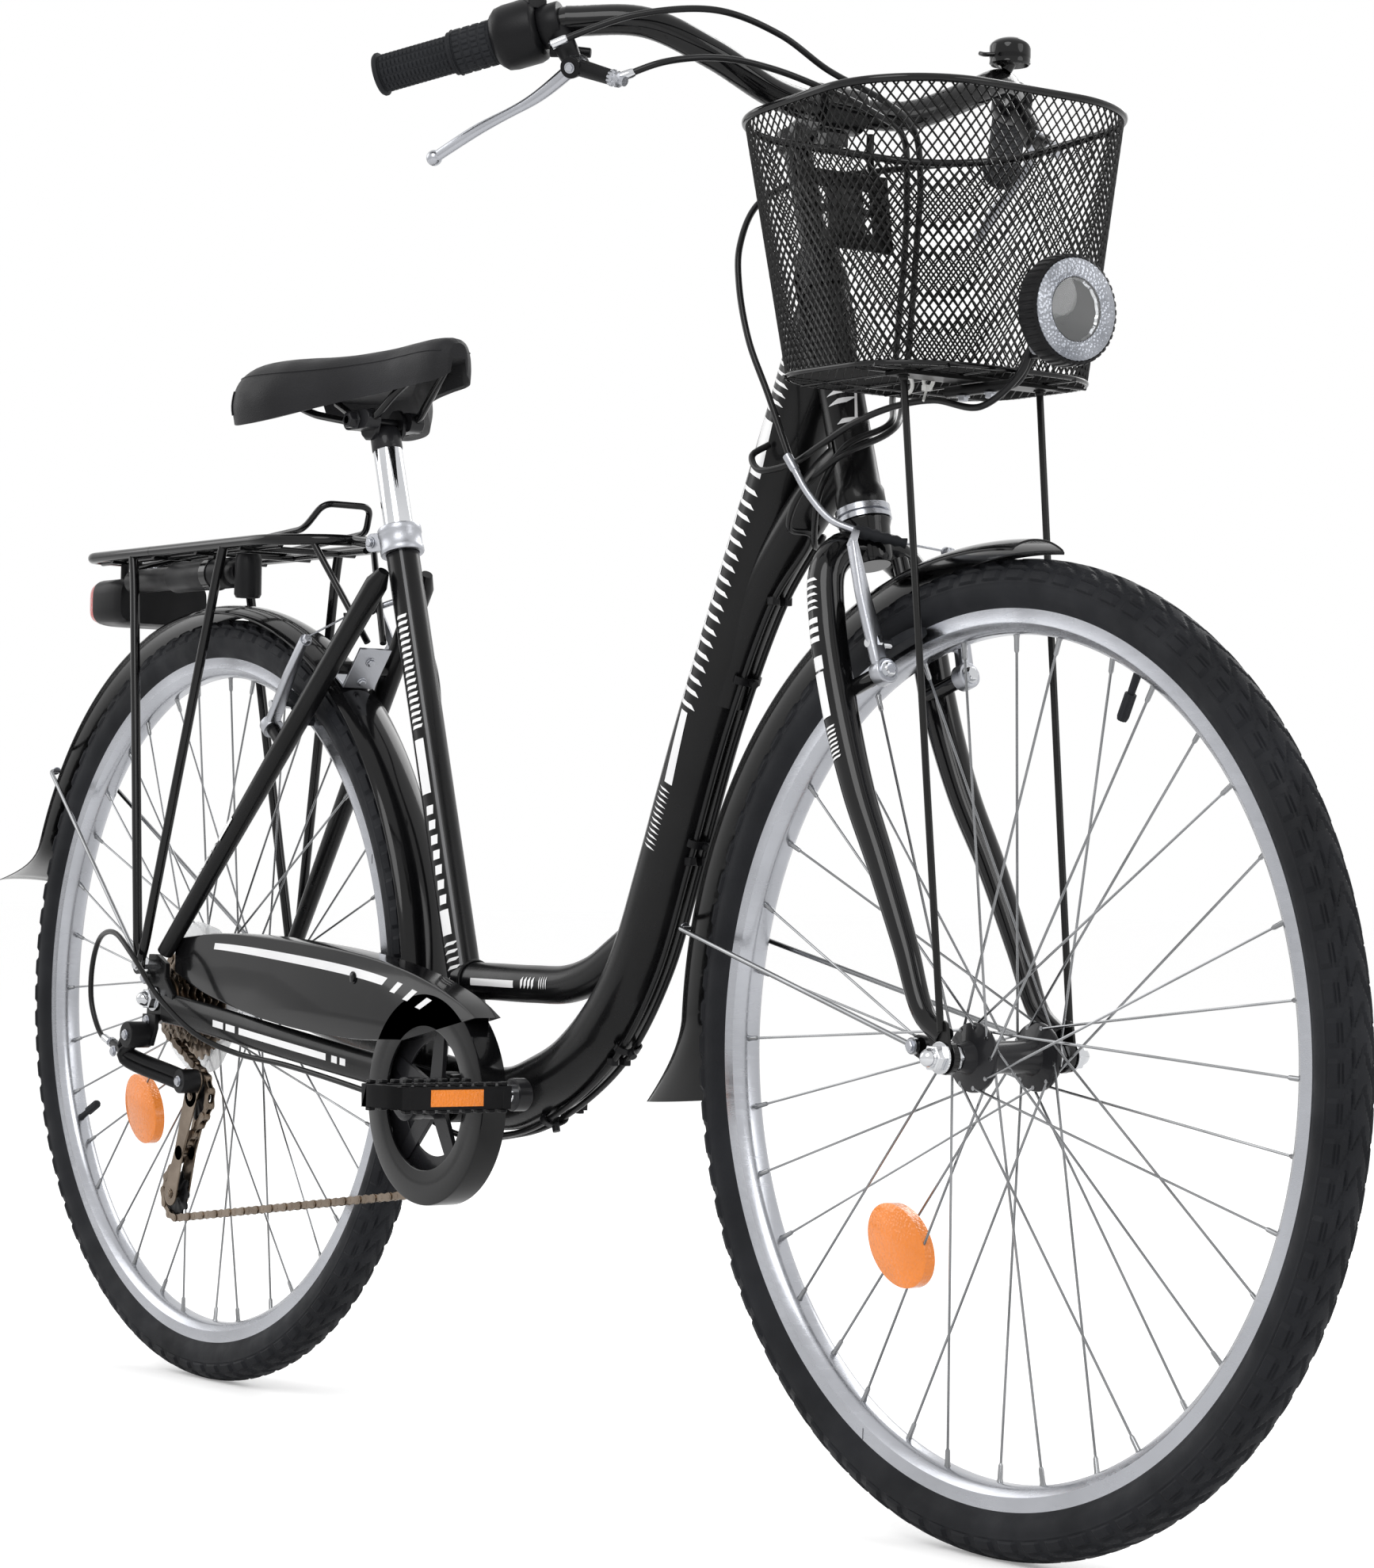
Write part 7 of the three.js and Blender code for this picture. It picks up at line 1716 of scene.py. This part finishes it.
def make_clamp():
    """Jaws, ribbed washers and nuts that hold the rails."""
    clamp = Skin()
    for side in (-1, 1):
        prism(clamp, capsule(SADDLE_HEAD + [-13, 0, 2], SADDLE_HEAD + [13, 0, 2], 8.5), 15.5, 28.5, side)
        low, high = sorted((side * 11.5, side * 15.5))
        puck(clamp, SADDLE_HEAD + [0, 0, -1], ACROSS, 14, low, high, 40,
             lambda place, turn: 0.35 * np.cos(turn * 30))
        lathe(clamp, [[0, 28.5], [9, 28.5], [9, 30], [7.4, 30], [7.4, 37], [6.4, 38], [0, 38]],
              SADDLE_HEAD + [0, 0, 1], ACROSS * side, 6)
    rod(clamp, SADDLE_HEAD + [0, -38, 1], SADDLE_HEAD + [0, 38, 1], 4, 20)
    lathe(clamp, [[0, -26], [12.6, -26], [13.4, -24], [13.4, -10], [12, -6], [0, -6]], SADDLE_HEAD, UP, 40)
    piece("saddle_clamp_jaws", clamp, "crank", "seat", bevel=0.5)


def make_collar():
    """The ring and bolt that close the seat tube."""
    collar, ear = Skin(), seat_axis(495)
    lathe(collar, [[14.6, 483], [18.6, 483], [19.1, 484], [19.1, 488], [18.4, 489], [18.4, 500], [19.1, 501],
                   [19.1, 506], [18.6, 507], [14.6, 507]], BRACKET, UP, 56, hollow=True)
    for side in (-1, 1):
        prism(collar, capsule(ear + [-19, 0, 0], ear + [-36, 0, 0], 8), 5.6, 9, side)
    rod(collar, ear + [-34, -9, 0], ear + [-34, 9, 0], 3, 16)
    bolt(collar, ear + [-34, -9, 0], -ACROSS, 4, 4)
    piece("collar_ring", collar, "cast", "frame", "seat_clamp", bevel=0.3)


class BICYCLE_OT_seat(bpy.types.Operator):
    """Padded saddle with seam and bumper, its rails and clamp, the post and the collar"""

    bl_idname = "bicycle.seat"
    bl_label = "Seat"

    def execute(self, context):
        make_saddle()
        make_rails()
        make_post()
        make_clamp()
        make_collar()
        return {"FINISHED"}


# Luggage rack with its spring clip, lamp and pump


def make_rack():
    """Outer loop, legs, struts and cross wires."""
    wires, thin = Skin(), Skin()
    z = 760.0
    loop = [[-40, -60, z], [-172, -60, z], [-172, 60, z], [165, 60, z], [215, 20, z], [215, -20, z],
            [165, -60, z], [-41, -60, z]]
    tube(wires, rounded(loop, 22, 10), 5, 20)
    nose = np.array([215.0, 0, z])
    target = seat_axis(494.5) + [-26, 0, 0]
    block(wires, [nose[0] - 2, -9, z - 1.6], [nose[0] + 5, 9, z + 1.6])
    tube(wires, smooth([nose, (nose + target) / 2 + [0, 0, -1], target], 12), 4.4, 18)
    for side in (-1, 1):
        for x, ankle in ((-78, -12), (92, -1)):
            knee = REAR + [ankle, side * 80.5, 43]
            leg = [[x, side * 60, z - 2], [x * 0.93, side * 61, z - 22], knee, REAR + [-9, side * 80.5, 31]]
            tube(wires, rounded(leg, 14, 8), 4.4, 18)
        prism(wires, capsule(REAR + [-9, 0, 31], REAR + [-6, 0, 44], (9, 8)), 79, 82.4, side)
        tip = on_stay(BRIDGE_SHARE, 0)
        strut = [[200, side * 31, z - 2], [tip[0] + 23, side * 8, tip[2] + 21.5]]
        tube(wires, np.array(strut, float), 3, 16)
        tube(thin, rounded([[x, side * 44, z - 3.4] for x in (-168, 60, 166)], 10), 3, 14)
    for x in (-120, -40, 40, 120):
        rod(thin, [x, -60, z - 4], [x, 60, z - 4], 3 if x != -120 else 3.2, 14)
    piece("rack_wires", wires, "gloss", "frame", "rack")
    piece("rack_thin_wires", thin, "gloss", "frame")


def make_rack_bolts():
    """Bolts of the rack's feet."""
    bolts = Skin()
    for side in (-1, 1):
        bolt(bolts, REAR + [-9, side * 82.4, 31], ACROSS * side, 4.6, 4)
        puck(bolts, REAR + [-9, side * 68.5, 31], ACROSS * side, 5, 0, 14, 6)
    piece("rack_bolts", bolts, "chrome", "frame")


def make_clip():
    """The spring clip's wires and its two coils."""
    clip, sleeve = Skin(), Skin()
    hinge = np.array([-120.0, 0, 751])
    outline = [hinge - ACROSS * 32, [185, -32, 770], [205, -24, 792], [205, 24, 792], [185, 32, 770],
               hinge + ACROSS * 32]
    tube(clip, rounded(outline, 10, 8), 3, 16)
    rod(clip, hinge - ACROSS * 37, hinge + ACROSS * 37, 3, 16)
    cross = hinge[2] + 19 * (160 / 305)
    rod(clip, [40, -32, cross], [40, 32, cross], 2.6, 14)
    for side in (-1, 1):
        rod(clip, [hinge[0] + 2, side * 32, hinge[2]], [40, side * 8, cross], 2.4, 14)
        turn = np.linspace(0, TAU * 6, 180)
        spring = np.stack([hinge[0] + 5.0 * np.cos(turn), side * (29 - turn / TAU * 2.1),
                           hinge[2] + 5.0 * np.sin(turn)], -1)
        tube(sleeve, np.vstack([spring[0] + [30, 0, 2], spring, spring[-1] + [24, 0, -3]]), 1.1, 8)
    piece("spring_arm_wires", clip, "gloss", "rack_clip", "rack_spring_arm")
    piece("spring_coils", sleeve, "chrome", "rack_clip")


def make_tail_lamp():
    """A case and glass with rounded corners."""
    turn = np.linspace(0, TAU, 64, endpoint=False)
    y, rise = squared(np.cos(turn), 0.35), squared(np.sin(turn), 0.5)

    def ring(x, half, low, high):
        return np.stack([np.full(64, x), half * y, (low + high) / 2 + (high - low) / 2 * rise], -1)

    lamp = Skin().grid(np.array([ring(*row) for row in (
        (-127.0, 46, 699, 740), (-135.0, 50, 697, 742), (-176.0, 50, 697, 742),
        (-177.0, 49.2, 697.6, 741.4))]))
    for side in (-1, 1):
        rod(lamp, [-150, side * 30, 741], [-150, side * 30, 757], 4, 16)
    piece("tail_lamp_case", lamp, "plastic", "frame", "tail_light", bevel=0.4)
    glass = Skin().grid(np.array([
        ring(x, 50 * scale, 719.5 - 22.5 * scale, 719.5 + 22.5 * scale)
        for x, scale in ((-177.0, 0.955), (-184.0, 0.95), (-191.0, 0.9), (-194.4, 0.78))]))
    piece("tail_lamp_glass", glass, "red", "frame", bevel=0.3)


PUMP = np.array([0, -42, 736])


def make_pump():
    """The pump under the rack with its handle and clip."""
    pump, grey = Skin(), Skin()
    lathe(pump, [[0, -110], [9, -110], [11, -108], [11, -30], [13.2, -26], [14, -24], [14, 78], [13, 80],
                 [11.4, 82], [11.4, 94], [10.6, 96], [0, 96]], PUMP, FORWARD, 48)
    lathe(pump, [[0, -24], [10.4, -24], [12, -21], [12, 10], [10.8, 15], [0, 16]], PUMP + [106, 0, 0],
          UPRIGHT, 40, lambda place, turn: 0.3 * np.cos(turn * 12) * (place < 8))
    piece("pump_barrel", pump, "plastic", "frame", "pump", bevel=0.3)
    lathe(grey, [[14.1, 40], [15.2, 40.4], [15.2, 51.6], [14.1, 52]], PUMP, FORWARD, 40, hollow=True)
    block(grey, [41, -47, 749], [51, -37, 757])
    piece("pump_clip_band", grey, "gloss", "frame", bevel=0.3)


class BICYCLE_OT_rack(bpy.types.Operator):
    """Wire luggage rack, its spring clip, the tail lamp and the pump"""

    bl_idname = "bicycle.rack"
    bl_label = "Rack"

    def execute(self, context):
        make_rack()
        make_rack_bolts()
        make_clip()
        make_tail_lamp()
        make_pump()
        return {"FINISHED"}


# Cables


CABLE_RADIUS, CABLE_SIDE = 2.5, 6
REAR_BRAKE_TOP = np.array([
    [910, -206, 1040], [928, -180, 1052], [934, -135, 1060], [937, -92, 1058], [938, -46, 1050],
    [928, 12, 1040], [908, 56, 1030], [886, 78, 1000], [878, 84, 955], [884, 74, 890], [914, 46, 832],
    [949, 14, 806], [945, -22, 788], [924, -27, 760], [906, -19, 734], [889, -4, 718]])
REAR_BRAKE_END = np.array([
    [430, 10, 252], [410, 9, 268], [404, 10, 300], [396, 15, 350], [380, 19, 420], [349, 19, 520],
    [328, 24, 590], [298, 38, 640], [264, 42, 690], [244, 38, 708], [228, 20, 702], [219, -8, 692],
    [213, -44, 672]])
GEAR_TOP = np.array([
    [868, -236, 1066], [880, -222, 1074], [906, -190, 1088], [934, -140, 1094], [944, -90, 1082],
    [945, -46, 1062], [934, 18, 1048], [912, 64, 1034], [890, 88, 1000], [882, 92, 955], [889, 82, 890],
    [919, 52, 828], [956, 10, 800], [945, -29, 779], [912, -38, 754], [890, -30, 730]])
GEAR_END = np.array([
    [430, -14, 252], [380, -27, 270], [300, -35, 284], [200, -45, 298], [130, -58, 306], [90, -74, 320],
    [39, -86, 352], [0, -92, 388], [-42, -89, 408], [-84, -82, 401], [-103, -79, 374], [-104, -78, 341],
    [-86, -77, 313], [-69, -77, 307]])
FRONT_BRAKE = np.array([
    [910, 206, 1040], [908, 160, 1026], [888, 108, 1018], [860, 60, 1010], [838, 12, 1000], [832, -22, 980],
    [842, -46, 944], [850, -52, 915], [868, -55, 870], [890, -52, 827], [915, -48, 775], [930, -44, 753],
    [948, -36, 733], [968, -18, 722], [978, 10, 717], [984, 44, 713]])
LAMP_WIRE = np.array([
    [1133, -6, 847.3], [1126, -9, 828], [1092, -16, 806], [1043, -20, 814], [1004, -25, 812],
    [965, -30, 803], [935, -35, 790], [905, -40, 777], [872, -46, 774], [858, -42, 786], [860, -28, 795]])


def under_tubes(y):
    """Places along the underside of the gusset and main tubes, a cable's half width below their skins."""
    places = []
    for route, shares, radius in ((GUSSET_ROUTE, (0.36, 0.62), GUSSET_RADIUS),
                                  (MAIN_ROUTE[:-1], (0.6, 0.46, 0.34, 0.24, 0.12, 0.05), MAIN_RADIUS)):
        line = evenly(smooth(route, 200), 200)
        tangent = unit(np.gradient(line, axis=0))
        for share in shares:
            at = int(round(share * 200))
            outside = np.array([tangent[at][2], 0, -tangent[at][0]])
            if outside[2] > 0:
                outside = -outside
            spot = line[at] + outside * math.sqrt((radius + 4.7) ** 2 - y * y)
            places.append([spot[0], y, spot[2]])
    return np.array(places)


def make_casings():
    """Four casings; three of them stay where they are built without a parent, the fourth rides on the
    steering.
    """
    rear = np.vstack([REAR_BRAKE_TOP, under_tubes(CABLE_SIDE), REAR_BRAKE_END[:9]])
    gear = np.vstack([GEAR_TOP, under_tubes(-CABLE_SIDE), GEAR_END])
    for name, line, steps, node, body, bends in (
            ("rear_brake", rear, 520, "rear_brake_cable", "frame", (16, 7)),
            ("gear", gear, 520, "gear_cable", "frame", (16, 7)),
            ("front_brake", FRONT_BRAKE[:11], 240, "front_brake_cable", "steering", None),
            ("lamp", LAMP_WIRE, 240, "lamp_cable", "frame", (9, 5))):
        casing = tube(Skin(), smooth(line, steps), CABLE_RADIUS, 14)
        moving = {"body_b": "steering", "ends": (line[bends[0]], line[bends[1]])} if bends else {}
        piece(f"{name}_casing", casing, "cable", body, node, **moving)


def make_ferrules():
    """Ferrules at the casings' ends and clips under the frame."""
    silver, low, clips = Skin(), Skin(), Skin()
    for line in (REAR_BRAKE_TOP, GEAR_TOP, FRONT_BRAKE):
        run = unit(line[1] - line[0])
        lathe(silver, [[0, -1], [3.5, -1], [3.5, 9], [2.9, 11], [0, 11]], line[0], run, 16)
    piece("upper_ferrules", silver, "chrome", "steering")
    lathe(low, [[0, -1], [3.5, -1], [3.5, 10], [2.9, 12], [0, 12]], GEAR_END[-1],
          unit(GEAR_END[-2] - GEAR_END[-1]), 16)
    piece("lower_ferrules", low, "chrome", "frame")
    for side in (-1, 1):
        for spot in under_tubes(side * CABLE_SIDE)[[1, 3, 5, 6]]:
            block(clips, spot + [-4, -3.2, -3.2], spot + [4, 3.2, 3.4])
    piece("cable_clips", clips, "plastic", "frame", bevel=0.8)


def make_brake_links():
    """Bent noodle, link, rubber boot and bare wire of each brake."""
    for name, body, noodle, boot_run, anchor, top in (
            ("front", "steering", FRONT_BRAKE[10:13], ([962, -24, 725], [978, 10, 717]), [984, 44, 713],
             [984.7, -45, 714]),
            ("rear", "frame", REAR_BRAKE_END[8:10], ([228, 20, 702], [219, -8, 692]), [213, -44, 672],
             [212.8, 45, 671])):
        bent, boot = Skin(), Skin()
        start, stop = (np.array(place, float) for place in boot_run)
        line = np.vstack([noodle, start])
        tube(bent, smooth(line, 30), 2.8, 16)
        lathe(bent, [[0, -8], [3.6, -8], [3.6, 4], [2.9, 6], [0, 6]], line[0], line[1] - line[0], 18)
        rod(bent, stop, anchor, 0.9, 8)
        run = unit(start - np.array(top, float))
        tube(bent, np.array([top - run * 3, start + run * 2]), [4.2, 3.6], 4)
        bolt(bent, np.array(anchor, float) + [0, 0, -2], [0.8, 0, 0.3], 4.4, 5)
        span = np.linalg.norm(stop - start)
        steps = np.linspace(0, 1, 11)
        lathe(boot, [[0, 0], *[[4.9 - 1.4 * t + 0.55 * math.cos(t * 10 * math.pi), t * span] for t in steps],
                     [0, span]], start, stop - start, 20)
        piece(f"{name}_brake_link", bent, "cast", body)
        piece(f"{name}_brake_boot", boot, "rubber", body)


class BICYCLE_OT_cables(bpy.types.Operator):
    """Four cable casings with ferrules at their ends and clips under the frame"""

    bl_idname = "bicycle.cables"
    bl_label = "Cables"

    def execute(self, context):
        make_casings()
        make_ferrules()
        make_brake_links()
        return {"FINISHED"}


# Stage


def camera_pose():
    """Looks along the direction solved from the photograph: turned 54.11 degrees, 1.32 below level and
    1.24 round its own axis."""
    azimuth, lift, roll = (math.radians(v) for v in (54.11, -1.32, 1.24))
    back = np.array([math.sin(azimuth) * math.cos(lift), -math.cos(azimuth) * math.cos(lift), math.sin(lift)])
    right = unit(np.cross(-back, UPRIGHT))
    up = np.cross(right, -back)
    r = right * math.cos(roll) + up * math.sin(roll)
    u = -right * math.sin(roll) + up * math.cos(roll)
    pose = np.eye(4)
    pose[:3, 0], pose[:3, 1], pose[:3, 2] = r, u, back
    pose[:3, 3] = to_metres([3284.90, -1851.79, 469.78])[0]
    return Matrix(pose.tolist())


def make_camera(scene):
    """The camera of the photograph."""
    view = bpy.data.cameras.new("Photo view")
    view.lens, view.sensor_width = 93.25, 36
    view.dof.use_dof = False
    eye = bpy.data.objects.new("Photo view", view)
    eye.matrix_world = camera_pose()
    scene.collection.objects.link(eye)
    scene.camera = eye


def make_floor(scene):
    """A pale floor that looks white to the camera."""
    floor = bpy.data.meshes.new("Floor")
    floor.from_pydata([(-40, -40, 0), (40, -40, 0), (40, 40, 0), (-40, 40, 0)], [], [(0, 1, 2, 3)])
    ground = bpy.data.objects.new("Floor", floor)
    scene.collection.objects.link(ground)
    pale = bpy.data.materials.new("Floor")
    pale.use_nodes = True
    shader = pale.node_tree.nodes["Principled BSDF"]
    shader.inputs["Base Color"].default_value = (0.93, 0.93, 0.93, 1)
    shader.inputs["Roughness"].default_value = 0.9
    shader.inputs["Specular IOR Level"].default_value = 0.1
    tree = pale.node_tree
    rays, lift = (tree.nodes.new(kind) for kind in ("ShaderNodeLightPath", "ShaderNodeMath"))
    lift.operation = "MULTIPLY"
    lift.inputs[1].default_value = 0.24
    shader.inputs["Emission Color"].default_value = (1, 1, 1, 1)
    tree.links.new(rays.outputs["Is Camera Ray"], lift.inputs[0])
    tree.links.new(lift.outputs["Value"], shader.inputs["Emission Strength"])
    floor.materials.append(pale)


def make_lamps(scene):
    """Four soft discs that look at the middle of the bicycle."""
    for name, place, size, power in (("Key", (2.6, -3.2, 3.6), 3.0, 90), ("Fill", (-3.4, -2.4, 2.6), 3.0, 40),
                                     ("Front", (4.2, 1.6, 2.2), 2.4, 30), ("Rim", (-1.2, 3.6, 3.2), 2.6, 50)):
        lamp = bpy.data.lights.new(name, "AREA")
        lamp.shape, lamp.size, lamp.energy = "DISK", size, power
        holder = bpy.data.objects.new(name, lamp)
        away = unit(np.array(place) - [0, 0, 0.5])
        side = unit(np.cross(UPRIGHT, away))
        pose = np.eye(4)
        pose[:3, 0], pose[:3, 1], pose[:3, 2], pose[:3, 3] = side, np.cross(away, side), away, place
        holder.matrix_world = Matrix(pose.tolist())
        scene.collection.objects.link(holder)


def make_world(scene):
    """Even light, white where the camera, a glossy face or a clear one looks at it."""
    sky = bpy.data.worlds.new("Studio")
    sky.use_nodes = True
    tree = sky.node_tree
    tree.nodes.clear()
    rays, mix, end = (tree.nodes.new(f"ShaderNode{kind}")
                      for kind in ("LightPath", "MixShader", "OutputWorld"))
    seen, through = (tree.nodes.new("ShaderNodeMath") for _ in range(2))
    seen.operation = through.operation = "MAXIMUM"
    soft, white = (tree.nodes.new("ShaderNodeBackground") for _ in range(2))
    for light, strength in ((soft, 0.8), (white, 1.0)):
        light.inputs["Color"].default_value = (1, 1, 1, 1)
        light.inputs["Strength"].default_value = strength
    for source, output, target, port in (
            (rays, "Is Camera Ray", seen, 0), (rays, "Is Glossy Ray", seen, 1), (seen, "Value", through, 0),
            (rays, "Is Transmission Ray", through, 1), (through, "Value", mix, "Fac"),
            (soft, "Background", mix, 1), (white, "Background", mix, 2), (mix, "Shader", end, "Surface")):
        tree.links.new(source.outputs[output], target.inputs[port])
    scene.world = sky


class BICYCLE_OT_stage(bpy.types.Operator):
    """Pale floor, white surroundings, soft lamps and the camera"""

    bl_idname = "bicycle.stage"
    bl_label = "Stage"

    def execute(self, context):
        scene = context.scene
        make_camera(scene)
        make_floor(scene)
        make_lamps(scene)
        make_world(scene)
        scene.view_settings.view_transform = "Standard"
        return {"FINISHED"}


class BICYCLE_PT_panel(bpy.types.Panel):
    """Sizes, colours and one button for each piece"""

    bl_idname = "BICYCLE_PT_panel"
    bl_label = "Step-through Bicycle"
    bl_space_type = "VIEW_3D"
    bl_region_type = "UI"
    bl_category = "Bicycle"

    def draw(self, context):
        for group in (context.scene.bicycle_sizes, context.scene.bicycle_colours):
            for name in group.bl_rna.properties.keys():
                if name not in ("rna_type", "name"):
                    self.layout.prop(group, name)
        for operator in PIECES:
            self.layout.operator(operator.bl_idname)


PIECES = (BICYCLE_OT_frame, BICYCLE_OT_steering, BICYCLE_OT_levers, BICYCLE_OT_basket, BICYCLE_OT_wheels,
          BICYCLE_OT_drive, BICYCLE_OT_guards, BICYCLE_OT_brakes, BICYCLE_OT_seat, BICYCLE_OT_rack,
          BICYCLE_OT_cables, BICYCLE_OT_stage)
CLASSES = (BICYCLE_PG_sizes, BICYCLE_PG_colours, *PIECES, BICYCLE_PT_panel)


def register():
    """Adds the operators, the panel and the two groups of settings."""
    for kind in CLASSES:
        bpy.utils.register_class(kind)
    bpy.types.Scene.bicycle_sizes = bpy.props.PointerProperty(type=BICYCLE_PG_sizes)
    bpy.types.Scene.bicycle_colours = bpy.props.PointerProperty(type=BICYCLE_PG_colours)


def unregister():
    """Takes them out again."""
    del bpy.types.Scene.bicycle_colours
    del bpy.types.Scene.bicycle_sizes
    for kind in reversed(CLASSES):
        bpy.utils.unregister_class(kind)


def main():
    """Builds every piece in order."""
    register()
    make_finishes()
    bpy.ops.bicycle.frame()
    bpy.ops.bicycle.steering()
    bpy.ops.bicycle.levers()
    bpy.ops.bicycle.basket()
    bpy.ops.bicycle.wheels()
    bpy.ops.bicycle.drive()
    bpy.ops.bicycle.guards()
    bpy.ops.bicycle.brakes()
    bpy.ops.bicycle.seat()
    bpy.ops.bicycle.rack()
    bpy.ops.bicycle.cables()
    bpy.ops.bicycle.stage()
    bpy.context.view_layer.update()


if __name__ == "__main__":
    main()
